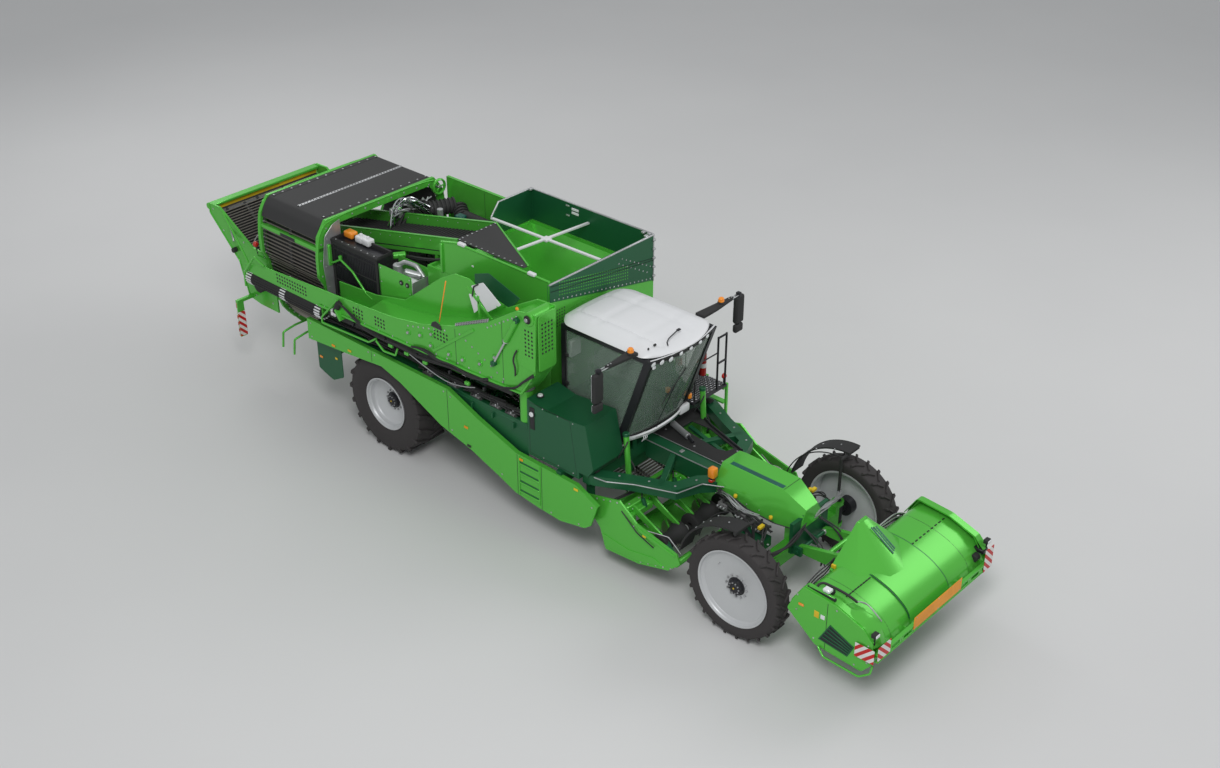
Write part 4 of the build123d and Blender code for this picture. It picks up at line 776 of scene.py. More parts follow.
def make_tyre(kit, name, count, width, rake):
    """Carcass and tread lugs in the place of a CAD tyre."""
    low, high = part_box(name)
    centre, tread, half = (low + high) / 2, (high.z - low.z) / 2, (high.x - low.x) / 2
    rim_low, rim_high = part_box(name.replace("tyre", "rim"))
    bead = (rim_high.z - rim_low.z) / 2
    kit.add(TYRE, turned(tyre_section(half, tread, bead), centre, steps=64))
    for side in (RIGHT, LEFT):
        lug = tread_lug(centre, half, tread, side, width, rake)
        shift = 0.5 if side > 0 else 0.0
        kit.add(TYRE, copies(lug, [turn_about(centre, 360 * (i + shift) / count, "X") for i in range(count)]))
    return centre


FRONT_DISC = [  # along from the wheel centre, radius: outer face first, then back
    (0.146, 0.64), (0.158, 0.64), (0.16, 0.628), (0.15, 0.614), (0.124, 0.608), (0.112, 0.594),
    (0.104, 0.572), (0.09, 0.56), (0.05, 0.29), (0.038, 0.235), (0.038, 0.09), (0.026, 0.09),
    (0.026, 0.24), (0.04, 0.295), (0.078, 0.562), (0.092, 0.58), (0.098, 0.598), (-0.128, 0.598),
    (-0.146, 0.612), (-0.152, 0.64), (-0.14, 0.64), (-0.134, 0.618), (0.11, 0.618), (0.136, 0.622),
]
REAR_DISC = [
    (0.326, 0.49), (0.338, 0.492), (0.343, 0.478), (0.332, 0.462), (0.3, 0.455), (0.282, 0.438),
    (0.215, 0.432), (0.196, 0.42), (0.186, 0.4), (0.13, 0.245), (0.122, 0.205), (0.122, 0.09),
    (0.106, 0.09), (0.106, 0.21), (0.114, 0.252), (0.17, 0.405), (0.182, 0.424), (-0.29, 0.43),
    (-0.322, 0.458), (-0.34, 0.49), (-0.326, 0.49), (-0.312, 0.466), (0.29, 0.466), (0.318, 0.474),
]


def make_rim(kit, centre, side, disc, face, bolt_ring):
    """Dished disc with its barrel, a dark hub, wheel nuts and a valve."""
    section = [(side * along, radius) for along, radius in disc]
    kit.add(RIM, turned(section, centre, steps=72))
    hub = [
        (face - 0.16, 0.0), (face - 0.16, 0.15), (face + 0.004, 0.15), (face + 0.01, 0.142),
        (face + 0.012, 0.128), (face + 0.052, 0.122), (face + 0.062, 0.108), (face + 0.064, 0.07),
        (face + 0.074, 0.062), (face + 0.074, 0.0),
    ]
    kit.add(BLACK_STEEL, turned([(side * along, radius) for along, radius in hub], centre, steps=32))
    nuts = []
    for count, radius, along in ((12, bolt_ring, face + 0.006), (10, 0.088, face + 0.064)):
        ring = [
            centre + Vector(
                (side * along, radius * cos(2 * pi * i / count), radius * sin(2 * pi * i / count)),
            )
            for i in range(count)
        ]
        nuts.append(bolts(ring, "x", radius=0.014 if count == 12 else 0.009, height=0.016))
    kit.add(ZINC, *nuts)
    cap = centre + Vector((side * (face + 0.074), 0, 0))
    kit.add(YELLOW, rod(cap, cap + Vector((side * 0.008, 0, 0)), 0.016, 12))
    valve = centre + Vector((side * (face + 0.03), 0.3, 0.3))
    kit.add(ZINC, rod(valve, valve + Vector((side * 0.05, 0, 0)), 0.006, 8))


class OBJECT_OT_harvester_wheels(bpy.types.Operator):
    """Model the treaded tyres and the dished rims"""

    bl_idname = "object.harvester_wheels"
    bl_label = "Wheels"

    def execute(self, context):
        # axle, lugs on each side, lug width, rake, disc section, hub face, bolt ring radius
        wheels = (
            ("front", 24, 0.04, 0.95, FRONT_DISC, 0.04, 0.185),
            ("rear", 19, 0.066, 0.62, REAR_DISC, 0.124, 0.18),
        )
        for axle, count, width, rake, disc, face, ring in wheels:
            for hand, side in SIDES:
                name = f"{axle}_tyre_{hand}"
                kit = Kit(f"{axle}_wheel_{hand}", f"{axle}_wheel_{hand}")
                centre = make_tyre(kit, name, count, width, rake)
                make_rim(kit, centre, side, disc, face, ring)
                kit.deliver(name, f"{axle}_rim_{hand}")
        return {"FINISHED"}


# ---------------------------------------------------------------- haulm topper
HOOD_LINE = [
    (-6.262, 1.06), (-6.27, 1.3), (-6.4, 1.432), (-6.8, 1.422), (-7.2, 1.31), (-7.48, 1.11), (-7.565, 0.85),
]
END_LINE = [
    (-6.11, 1.04), (-6.19, 1.23), (-6.37, 1.535), (-6.93, 1.49), (-7.4, 1.33), (-7.56, 1.16), (-7.6, 0.82),
    (-7.42, 0.595), (-6.62, 0.645),
]
TOPPER_HALF = 1.52
RAIL_Y = -7.66


def hood_point(share, lift=0.0):
    """Point of the hood's rounded line at a share of its length, lifted off it."""
    line = softened(HOOD_LINE, 0.42, 4)
    i = min(int(share * (len(line) - 1)), len(line) - 2)
    here = line[i].lerp(line[i + 1], share * (len(line) - 1) - i)
    run = (line[i + 1] - line[i]).normalized()
    return here + Vector((-run.y, run.x)) * -lift


def make_topper_hood(kit):
    """Rounded hood sheets, raised middle with painted shade lines at its edges, black painted shade in the
    slits, end plates.
    """
    line = softened(HOOD_LINE, 0.42, 4)
    kit.add(GREEN, folded_sheet(line, "x", -1.495, 1.495, 0.01, 1.0))
    raised = [hood_point(i / 24, 0.016) for i in range(5, 25)]
    kit.add(GREEN, folded_sheet(raised, "x", -0.52, 0.47, 0.018, 1.0))
    # Dark green strips along the raised middle's edges: painted shade lines of the step.
    ribs = [hood_point(i / 24, 0.02) for i in range(8, 24)]
    for shade_line_x in (-0.535, 0.485):
        kit.add(DARK_GREEN, folded_sheet(ribs, "x", shade_line_x - 0.009, shade_line_x + 0.009, 0.006, 1.0))
    seams = [hood_point(i / 24, 0.0095) for i in range(4, 25)]
    for seam_x in (-1.0, 1.05):
        kit.add(BLACK_STEEL, folded_sheet(seams, "x", seam_x - 0.0025, seam_x + 0.0025, 0.002, 1.0))
    # Black blocks in the slits: painted shade inside the openings.
    for low, high in ((-1.14, -0.6), (0.52, 1.36)):
        for slit in spread((low, 0, 0), (high, 0, 0), 9):
            kit.add(BLACK_STEEL, block((slit.x - 0.026, -6.868, 1.405), (slit.x + 0.026, -6.85, 1.42), 0.001))
    for side in (RIGHT, LEFT):
        kit.add(GREEN, plate(END_LINE, "x", side * 1.495, side * TOPPER_HALF, edge=0.006, corner=0.03))
        flange = sorted((side * 1.385, side * 1.5))
        top = softened(
            [(-6.165, 1.205), (-6.37, 1.547), (-6.93, 1.502), (-7.4, 1.342), (-7.565, 1.17)], 0.12, 3,
        )
        kit.add(
            GREEN, folded_sheet(top, "x", *flange, 0.012, -1.0),
            folded_sheet(
                [(-6.26, 1.28), (-6.4, 1.53), (-6.93, 1.49), (-7.38, 1.33), (-7.5, 1.16)], "x",
                flange[0] - 0.002 if side > 0 else flange[1] + 0.002,
                (flange[0] if side > 0 else flange[1]) + side * 0.008, 0.01, -1.0,
            ),
        )
    lip = [(-6.3, 1.02), (-6.3, 0.99), (-6.33, 0.97)]
    kit.add(GREEN, folded_sheet(lip, "x", -1.49, 1.49, 0.008))


def make_gearbox_cover(kit):
    """Pointed cover in the middle with three stripes and a yellow plate."""
    peak = [(-0.11, -6.27), (-0.1, -6.3), (-0.06, -6.33), (0.06, -6.33), (0.1, -6.3), (0.11, -6.27)]
    foot = [
        (-0.74, -6.27, 1.34), (-0.72, -6.75, 1.4), (-0.5, -7.44, 1.12), (-0.06, -7.36, 1.19),
        (0.49, -6.72, 1.4), (0.62, -6.27, 1.34),
    ]
    kit.add(
        GREEN, skin([[(x, y, 1.852) for x, y in peak], foot], 0.01, 0.0),
        plate(peak, "z", 1.846, 1.858, edge=0.003),
    )
    back = [(-0.74, 1.3), (-0.11, 1.852), (0.11, 1.852), (0.62, 1.3)]
    kit.add(GREEN, plate(back, "y", -6.274, -6.262, edge=0.003))

    def on_front(x, y):
        return Vector((x, y, 1.86 - 0.41 * (x - 0.06) + 0.681 * (y + 6.33)))

    for k in range(3):
        x = -0.02 + 0.065 * k
        stripe = bar(on_front(x, -6.46), on_front(x + 0.02, -6.86 + 0.03 * k), 0.026, 0.01, 0.001)
        kit.add(TEAL, stripe)
    kit.add(YELLOW, block((-0.735, -6.36, 1.395), (-0.7, -6.29, 1.45), 0.002))


def make_topper_side(kit):
    """Right end: seam, louvre, slot in black painted shade, plates, hump, side guard and reflector."""
    face = -TOPPER_HALF
    kit.add(BLACK_STEEL, block((face - 0.003, -6.8, 0.66), (face + 0.01, -6.792, 1.46), 0.001))
    louvre = [(-6.87, 1.1), (-7.25, 0.94), (-7.17, 0.76), (-6.71, 0.8)]
    kit.add(BLACK_STEEL, plate(louvre, "x", face - 0.004, face + 0.004, edge=0.001, corner=0.012))
    frame_line = [(-6.86, 1.125), (-7.28, 0.95), (-7.18, 0.735), (-6.68, 0.785)]
    kit.add(DARK_GREEN, window_plate(frame_line, louvre, "x", face - 0.008, face + 0.002, edge=0.002))
    for k in range(4):
        share = (k + 0.7) / 4.6
        start = Vector((face - 0.008, -6.87 + 0.15 * share, 1.1 - 0.3 * share))
        end = Vector((face - 0.008, -7.25 + 0.08 * share, 0.94 - 0.18 * share))
        kit.add(DARK_GREEN, bar(start, end, 0.01, 0.022, 0.002))
    # Black block under a green lip: painted shade in the slot.
    kit.add(BLACK_STEEL, block((-1.478, -6.88, 1.486), (-1.44, -6.4, 1.552), 0.004))
    kit.add(GREEN, block((-1.47, -6.86, 1.52), (-1.448, -6.42, 1.558), 0.004))
    kit.add(YELLOW, block((face - 0.004, -6.66, 1.13), (face + 0.002, -6.58, 1.24), 0.001))
    kit.add(CLEAR_LENS, block((face - 0.004, -6.76, 1.15), (face + 0.002, -6.69, 1.22), 0.001))
    kit.add(AMBER_LENS, block((face - 0.012, -6.4, 1.2), (face + 0.002, -6.31, 1.24), 0.004))
    hump = [
        [Vector((x, y, z)) for y, z in softened(line, 0.3, 3)]
        for x, line in (
            (
                -1.498,
                [(-6.95, 1.49), (-7.08, 1.42), (-7.2, 1.4), (-7.34, 1.37), (-7.5, 1.24), (-7.575, 1.08)],
            ),
            (
                -1.4,
                [(-6.98, 1.46), (-7.08, 1.44), (-7.2, 1.455), (-7.36, 1.4), (-7.52, 1.25), (-7.585, 1.06)],
            ),
            (
                -1.24,
                [(-6.98, 1.4), (-7.08, 1.4), (-7.2, 1.44), (-7.37, 1.39), (-7.52, 1.24), (-7.585, 1.05)],
            ),
            (
                -1.13,
                [(-6.99, 1.36), (-7.08, 1.335), (-7.2, 1.32), (-7.35, 1.22), (-7.49, 1.09), (-7.56, 0.98)],
            ),
        )
    ]
    kit.add(GREEN, skin(hump, 0.01, 0.0))
    guard = [
        (face - 0.02, -6.7, 0.66), (face - 0.055, -6.82, 0.565), (face - 0.055, -7.42, 0.545),
        (face - 0.02, -7.58, 0.66), (face - 0.01, -7.6, 0.8),
    ]
    kit.add(GREEN, tube(guard, 0.016, 0.3))
    for side in (RIGHT, LEFT):
        points = [
            (side * (TOPPER_HALF + 0.002), y, z)
            for y, z in (
                (-6.28, 1.1), (-6.28, 1.36), (-6.6, 0.75), (-7.5, 0.8), (-7.5, 1.1), (-6.95, 1.42),
                (-7.3, 0.66),
            )
        ]
        kit.add(ZINC, bolts(points, "x", 0.011))


def make_front_rail(kit):
    """Front rail with windows, blank board, warning boards, lamps and roller ends."""
    half, bays = 1.5, 10
    width = 2 * half / bays
    bay_outer = [(-half, 0.865), (-half + width, 0.865), (-half + width, 0.998), (-half, 0.998)]
    bay_inner = [
        (-half + 0.045, 0.9), (-half + width - 0.045, 0.9), (-half + width - 0.045, 0.962),
        (-half + 0.045, 0.962),
    ]
    bay = window_plate(bay_outer, bay_inner, "y", RAIL_Y + 0.004, RAIL_Y + 0.016, edge=0.002)
    kit.add(GREEN, copies(bay, [(width * i, 0, 0) for i in range(bays)]))
    for low, high in ((0.985, 1.0), (0.86, 0.875)):
        kit.add(GREEN, block((-half, RAIL_Y, low), (half, RAIL_Y + 0.06, high), 0.004))
    for bracket_x in (-1.38, -0.7, 0.0, 0.7, 1.38):
        kit.add(
            GREEN,
            block((bracket_x - 0.006, RAIL_Y + 0.02, 0.87), (bracket_x + 0.006, -7.545, 0.99), 0.003),
        )
    kit.add(ORANGE, block((-0.62, RAIL_Y - 0.006, 0.925), (0.64, RAIL_Y + 0.004, 1.14), 0.004))
    kit.add(GREEN, block((-0.6, RAIL_Y + 0.002, 1.0), (0.62, RAIL_Y + 0.012, 1.115), 0.004))
    board_points = [(x, RAIL_Y - 0.006, z) for x in (-0.56, 0.01, 0.58) for z in (0.945, 1.12)]
    kit.add(ZINC, bolts(board_points, "y", 0.008))
    kit.add(
        STRIPES, block((-1.515, RAIL_Y - 0.004, 0.9), (-1.2, RAIL_Y + 0.004, 1.14), 0.003),
        block((-1.546, -7.62, 0.84), (-1.538, -7.3, 1.08), 0.003),
        block((1.28, RAIL_Y - 0.004, 0.86), (1.515, RAIL_Y + 0.004, 1.26), 0.003),
    )
    kit.add(GREEN, bar((-1.53, -7.45, 0.96), (-1.53, -7.62, 0.88), 0.02, 0.03))
    for side in (RIGHT, LEFT):
        lamp_x = side * 1.47
        kit.add(
            PLASTIC, rod((side * 1.34, -7.5, 1.07), (side * 1.22, -7.5, 1.07), 0.062, 20),
            block((lamp_x - 0.055, -7.6, 1.26), (lamp_x + 0.055, -7.52, 1.33), 0.012),
        )
        kit.add(CLEAR_LENS, block((lamp_x - 0.046, -7.612, 1.27), (lamp_x + 0.046, -7.596, 1.32), 0.006))
        kit.add(BLACK_STEEL, bar((lamp_x, -7.56, 1.26), (lamp_x, -7.56, 1.12), 0.02, 0.02))
    kit.add(BLACK_STEEL, block((1.36, -7.58, 1.1), (1.5, -7.4, 1.17), 0.01))


def make_topper_lines(kit):
    """Hoses, motors and arms behind and over the hood."""
    kit.add(CLEAR_LENS, block((-1.44, -6.75, 1.545), (-1.34, -6.63, 1.6), 0.01))
    kit.add(PLASTIC, block((-1.36, -6.72, 1.43), (-1.22, -6.6, 1.5), 0.015))
    kit.add(
        RUBBER,
        hose(
            [
                (-1.42, -6.5, 1.44), (-1.28, -6.44, 1.56), (-1.2, -6.7, 1.5), (-1.18, -6.92, 1.47),
                (-1.26, -7.1, 1.5),
            ],
            0.02,
        ),
    )
    kit.add(
        ZINC,
        hose([(-1.26, -7.08, 1.5), (-1.2, -7.18, 1.52), (-1.22, -7.32, 1.47), (-1.2, -7.44, 1.36)], 0.009),
        hose(
            [(-1.24, -7.06, 1.49), (-1.16, -7.18, 1.47), (-1.14, -7.32, 1.38), (-1.1, -7.42, 1.24)], 0.009,
        ),
    )
    for k in range(5):
        lane_y, lane_z = -6.225 + 0.028 * (k % 2), 1.26 + 0.035 * k
        line = [
            (-0.52, -6.2, 1.36 + 0.01 * k), (-0.7, lane_y, lane_z), (-1.05, lane_y, lane_z + 0.01),
            (-1.3, -6.22, 1.16 + 0.03 * k),
        ]
        kit.add(ZINC if k % 2 else RUBBER, hose(line))
        line = [
            (0.5, -6.2, 1.34), (0.75, lane_y, lane_z), (1.1, lane_y, lane_z - 0.01),
            (1.32, -6.24, 1.12 + 0.03 * k),
        ]
        kit.add(RUBBER if k % 2 else ZINC, hose(line))
    for side in (RIGHT, LEFT):
        kit.add(BLACK_STEEL, rod((side * 1.18, -6.21, 1.12), (side * 1.36, -6.21, 1.12), 0.085, 18))
        kit.add(IRON, rod((side * 1.36, -6.21, 1.12), (side * 1.44, -6.21, 1.12), 0.055, 6))
        arm = [(-5.43, 1.155), (-5.6, 1.2), (-6.3, 1.36), (-6.3, 1.06), (-5.6, 1.03), (-5.43, 1.045)]
        kit.add(GREEN, plate(arm, "x", side * 0.275, side * 0.345, edge=0.008, corner=0.04))
        kit.add(ZINC, rod((side * 0.25, -5.48, 1.1), (side * 0.37, -5.48, 1.1), 0.045, 16))
        kit.add(GREEN, bar((side * 0.31, -6.05, 1.33), (side * 0.14, -6.28, 1.62), 0.05, 0.02))
    kit.add(
        GREEN, rod((-0.3, -5.95, 1.22), (0.3, -5.95, 1.22), 0.045, 16),
        block((-0.85, -6.27, 1.06), (0.85, -6.2, 1.2), 0.012),
    )


class OBJECT_OT_harvester_topper(bpy.types.Operator):
    """Model the haulm topper's hood, ends, front rail, lamps and hoses"""

    bl_idname = "object.harvester_topper"
    bl_label = "Haulm topper"

    def execute(self, context):
        makers = (make_topper_hood, make_gearbox_cover, make_topper_side, make_front_rail, make_topper_lines)
        build("topper", "haulm_topper", makers, "topper_housing")
        return {"FINISHED"}


# ---------------------------------------------------------------- cab
ROOF_LOW, ROOF_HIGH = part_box("cab_roof")
SHELL_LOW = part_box("cab_shell")[0]
SEAT_LOW, SEAT_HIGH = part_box("operator_seat")
CAB_X = (ROOF_LOW.x + ROOF_HIGH.x) / 2
PLATFORM_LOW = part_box("cab_platform")[0]
TANK_LOW, TANK_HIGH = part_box("fuel_tank")


SCREEN_FOOT_Y, SCREEN_FOOT_Z = -2.38, 1.9
SCREEN_HEIGHT, SCREEN_LEAN = 1.66, 0.58


def screen_y(z):
    """Front of the cab frame at a height: it leans forward upwards."""
    return SCREEN_FOOT_Y - (z - SCREEN_FOOT_Z) / SCREEN_HEIGHT * SCREEN_LEAN


def make_roof(kit):
    """Crowned roof panel with shallow channels, rounded rim and fittings."""
    columns, rows_count = 40, 48
    half = (ROOF_HIGH.x - ROOF_LOW.x) / 2
    rows = []
    for j in range(rows_count + 1):
        v = -cos(pi * j / rows_count)
        row = []
        for i in range(columns + 1):
            u = -cos(pi * i / columns)
            narrow = 1 - 0.31 * max(0.0, (-v - 0.68) / 0.32) ** 2 - 0.3 * max(0.0, (v - 0.78) / 0.22) ** 2
            x = CAB_X + half * u * narrow
            front = -2.93 - 0.125 * (1 - u * u)
            rear = -0.965 - 0.03 * u * u
            y = rear + (front - rear) * (0.5 + 0.5 * v)
            fall = max(abs(u), abs(v)) ** 7
            crown = 0.045 * (1 - u * u) * (1 - v * v)
            channel = 0.0
            for line_u in (-0.52, 0.36):
                channel -= 0.026 * max(0.0, 1 - abs(u - line_u) / 0.07) * (abs(v) < 0.86)
            for line_v in (-0.3, 0.42):
                channel -= 0.022 * max(0.0, 1 - abs(v - line_v) / 0.06) * (abs(u) < 0.8)
            step = 0.014 if abs(u) < 0.8 and -0.8 < v < 0.66 else 0.0
            row.append((x, y, 3.652 + crown + channel + step - 0.082 * fall))
        rows.append(row)
    kit.add(WHITE, skin(rows, 0.016, -1.0))
    rim = []
    for lift, shrink in ((3.572, 0.0), (3.562, 0.02)):
        rim.append(
            [
                (
                    CAB_X + (half - shrink) * (-cos(pi * i / 24)) * 0.965,
                    -2.93 - 0.125 * sin(pi * i / 24) ** 2 + shrink, lift,
                )
                for i in range(25)
            ],
        )
    kit.add(WHITE, skin(rim, 0.012, 0.0))
    kit.add(PLASTIC, block((ROOF_LOW.x + 0.06, -2.86, 3.53), (ROOF_HIGH.x - 0.06, -1.12, 3.575), 0.015))
    for x, y, size in ((-0.76, -2.8, 0.018), (-0.6, -2.79, 0.026)):
        kit.add(PLASTIC, block((x - size, y - 0.6 * size, 3.68), (x + size, y + 0.6 * size, 3.712), 0.006))
    aerial = [
        (-0.46, -2.93, 3.675), (-0.45, -2.9, 3.72), (-0.36, -2.86, 3.735), (-0.12, -2.81, 3.745),
        (-0.06, -2.8, 3.745),
    ]
    kit.add(BLACK_STEEL, tube(aerial, 0.01, 0.3), block((-0.1, -2.83, 3.735), (-0.03, -2.78, 3.757), 0.006))


def make_windows(kit):
    """Curved windscreen and flat side and rear panes with rubber seals."""
    def row_at(z, lift=0.0, ends=1.0):
        points = []
        for i in range(17):
            u = -1 + 2 * i / 16
            x = CAB_X + 0.735 * u * ends
            points.append((x, screen_y(z) + 0.035 - (0.125 + lift) * (1 - abs(u) ** 2.4), z))
        return points
    kit.add(GLASS, skin([row_at(1.99 + 1.52 * j / 10) for j in range(11)], 0.006, 0.0))
    for z, tall in ((1.985, 0.022), (3.515, 0.03)):
        kit.add(RUBBER, skin([row_at(z - tall, 0.004), row_at(z + tall, 0.004)], 0.014, 0.0))
    lip = [
        row_at(z, lift, 1.04)
        for z, lift in ((1.885, 0.03), (1.895, 0.055), (1.955, 0.065), (1.975, 0.04))
    ]
    kit.add(WHITE, skin(lip, 0.012, 0.0), block((0.44, -2.47, 1.84), (0.68, -2.39, 1.98), 0.02, 2))
    for x in (-0.5, -0.46, -0.42):
        kit.add(WHITE, tube([(x, -2.5, 1.93), (x, -2.51, 1.86), (x, -2.47, 1.8)], 0.008, 0.3))
    right = SHELL_LOW.x + 0.032
    pane = [(-1.19, 2.14), (-2.4, 2.14), (-2.88, 3.49), (-1.19, 3.49)]
    kit.add(GLASS, plate(pane, "x", right - 0.003, right + 0.003, edge=0, corner=0.06))
    outer = [(-1.16, 2.11), (-2.42, 2.11), (-2.915, 3.52), (-1.16, 3.52)]
    kit.add(RUBBER, window_plate(outer, pane, "x", right - 0.012, right + 0.012, edge=0.003))
    rear_pane = [(-0.78, 2.3), (0.58, 2.3), (0.58, 3.46), (-0.78, 3.46)]
    rear_outer = [(-0.81, 2.27), (0.61, 2.27), (0.61, 3.49), (-0.81, 3.49)]
    kit.add(GLASS, plate(rear_pane, "y", -1.136, -1.13, edge=0, corner=0.05))
    kit.add(RUBBER, window_plate(rear_outer, rear_pane, "y", -1.146, -1.12, edge=0.003))
    for height in (2.5, 3.0):
        kit.add(PLASTIC, block((right - 0.03, -1.24, height), (right - 0.006, -1.17, height + 0.06), 0.006))
    wiper_z = 2.05
    kit.add(
        BLACK_STEEL, rod((-0.25, screen_y(2.02) - 0.1, 2.0), (-0.25, screen_y(2.02) - 0.14, 2.01), 0.018),
        tube(
            [
                (-0.25, screen_y(wiper_z) - 0.13, wiper_z), (-0.18, screen_y(2.5) - 0.125, 2.5),
                (-0.12, screen_y(2.85) - 0.12, 2.85),
            ],
            0.007, 0.2,
        ),
    )
    kit.add(RUBBER, bar((-0.3, screen_y(2.5) - 0.118, 2.5), (0.0, screen_y(3.1) - 0.12, 3.1), 0.012, 0.02))


def make_lamps(kit):
    """Work lamps under the roof, beacons on the mirror arms."""
    for i, x in enumerate((-0.8, -0.66, -0.5, -0.3, -0.08, 0.16, 0.38)):
        u = (x - CAB_X) / 0.735
        y = -2.95 - 0.14 * (1 - u * u)
        z = 3.505 if i < 3 else 3.535
        size = 0.052 if i < 3 else 0.04
        kit.add(
            PLASTIC,
            rod((x, y + 0.09, z + 0.01), (x, y + 0.02, z - 0.008), size * 0.8, 14, tip=size * 1.05),
        )
        kit.add(CLEAR_LENS, dome((x, y + 0.02, z - 0.008), size * 0.95, 0.014, (0, -1, -0.12), 14))
    kit.add(PLASTIC, block((-0.82, -2.93, 3.4), (-0.74, -2.86, 3.46), 0.01))
    kit.add(CLEAR_LENS, block((-0.815, -2.945, 3.405), (-0.745, -2.925, 3.455), 0.008))
    for x, y, z in ((-0.98, -2.64, 3.66), (1.2, -2.62, 3.655)):
        kit.add(PLASTIC, rod((x, y, z - 0.03), (x, y, z + 0.012), 0.062, 18))
        kit.add(
            AMBER_LENS, rod((x, y, z + 0.01), (x, y, z + 0.07), 0.054, 18, tip=0.05, edge=0.012),
            dome((x, y, z + 0.068), 0.047, 0.025, sides=18),
        )


def make_mirrors(kit):
    """Grey tapered arms, twin rods, rounded mirror housings and their glass."""
    for side, root in ((RIGHT, -0.87), (LEFT, 0.68)):
        tip = side * 1.5
        outline = [
            (root, -2.7), (root, -2.52), (side * 1.12, -2.555), (tip, -2.585), (tip, -2.64),
            (side * 1.05, -2.69),
        ]
        kit.add(PLASTIC, plate(outline, "z", 3.585, 3.648, edge=0.012, corner=0.015))
        for lift in (-0.022, 0.022):
            kit.add(
                ZINC,
                rod(
                    (tip - side * 0.06, -2.612 + lift, 3.618), (side * 1.66, -2.612 + lift, 3.618), 0.01,
                    10,
                ),
            )
        kit.add(
            BLACK_STEEL,
            block((side * 1.66 - 0.035, -2.65, 3.57), (side * 1.66 + 0.035, -2.575, 3.66), 0.012, 2),
        )
        low, high = sorted((side * 1.575, side * 1.785))
        kit.add(
            PLASTIC, block((low, -2.655, 3.1), (high, -2.565, 3.6), 0.045, 4),
            block((low + 0.005, -2.65, 2.935), (high - 0.005, -2.57, 3.085), 0.035, 4),
        )
        kit.add(BLACK_STEEL, rod((side * 1.68, -2.61, 3.06), (side * 1.68, -2.61, 3.12), 0.03, 12))
        kit.add(
            MIRROR, block((low + 0.018, -2.572, 3.125), (high - 0.018, -2.561, 3.575), 0.006),
            block((low + 0.02, -2.577, 2.955), (high - 0.02, -2.566, 3.065), 0.005),
        )
        kit.add(ZINC, bolts([(side * x, -2.62, 3.65) for x in (1.46, 1.4)], "z", 0.01))


def cushion(low, high, crown, seams, axis):
    """Padded block: crowned faces, pulled-in sides and sewn channels across one axis."""
    select_only()
    low, high = Vector(low), Vector(high)
    size, middle = high - low, (low + high) / 2
    bpy.ops.mesh.primitive_cube_add(size=1)
    piece = bpy.context.object
    edit_all(lambda: bpy.ops.mesh.subdivide(number_cuts=15))
    piece.scale = size
    settle()
    edit_all(lambda: bpy.ops.mesh.select_all(action="SELECT"))
    thin = min(range(3), key=lambda i: size[i])
    for vertex in piece.data.vertices:
        share = [2 * vertex.co[i] / size[i] for i in range(3)]
        flat = [i for i in range(3) if i != thin]
        swell = (1 - share[flat[0]] ** 4) * (1 - share[flat[1]] ** 4)
        vertex.co[thin] *= 0.8 + crown / size[thin] * 2 * swell
        for i in flat:
            vertex.co[i] *= 1 - 0.05 * (share[thin] ** 2) * abs(share[i]) ** 3
        for place in seams:
            gap = abs(share[axis] - place)
            if gap < 0.09 and abs(share[thin]) > 0.9:
                vertex.co[thin] *= 1 - 0.18 * (1 - gap / 0.09)
        corner = sum(abs(s) ** 6 for s in share)
        if corner > 1.5:
            vertex.co *= 1 - 0.035 * (corner - 1.5)
        vertex.co += middle
    soft = piece.modifiers.new("round", "SUBSURF")
    soft.levels = soft.render_levels = 1
    bpy.ops.object.modifier_apply(modifier=soft.name)
    return piece


def make_seat():
    """Driver's seat: cushions, headrest, arms and bellows."""
    x = (SEAT_LOW.x + SEAT_HIGH.x) / 2
    swell = sizes().seat_swell
    parts = (
        ("seat_cushion", (x - 0.25, -1.8, 2.36), (x + 0.25, -1.36, 2.49), (-0.35, 0.35), 0),
        ("seat_back", (x - 0.24, -1.42, 2.48), (x + 0.24, -1.28, 2.98), (-0.45, 0.05, 0.5), 2),
        ("seat_headrest", (x - 0.13, -1.4, 2.99), (x + 0.13, -1.31, 3.13), (), 0),
    )
    for name, corner, far_corner, seams, axis in parts:
        pad = cushion(corner, far_corner, swell, seams, axis)
        pad.name = name
        dress(pad, CLOTH)
        bpy.ops.object.shade_smooth_by_angle(angle=radians(70))
        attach(pad, "chassis")
        if name == "seat_cushion":
            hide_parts("operator_seat")
    kit = Kit("seat", "chassis")
    for k in range(4):
        kit.add(
            RUBBER, block((x - 0.17, -1.74, 2.05 + 0.06 * k), (x + 0.17, -1.42, 2.1 + 0.06 * k), 0.018, 2),
        )
    kit.add(
        PLASTIC, block((x - 0.2, -1.78, 1.965), (x + 0.2, -1.38, 2.05), 0.02),
        block((x - 0.24, -1.78, 2.29), (x + 0.24, -1.34, 2.36), 0.02),
    )
    for side in (RIGHT, LEFT):
        kit.add(
            PLASTIC,
            block((x + side * 0.29 - 0.035, -1.72, 2.6), (x + side * 0.29 + 0.035, -1.4, 2.65), 0.02, 2),
        )
        kit.add(BLACK_STEEL, bar((x + side * 0.29, -1.4, 2.61), (x + side * 0.25, -1.36, 2.42), 0.03, 0.03))
    kit.add(
        PLASTIC, block((x - 0.31, -1.9, 2.62), (x - 0.23, -1.66, 2.67), 0.015, 2),
        rod((x - 0.27, -1.86, 2.66), (x - 0.27, -1.88, 2.78), 0.022, 12, tip=0.03),
    )
    kit.deliver()


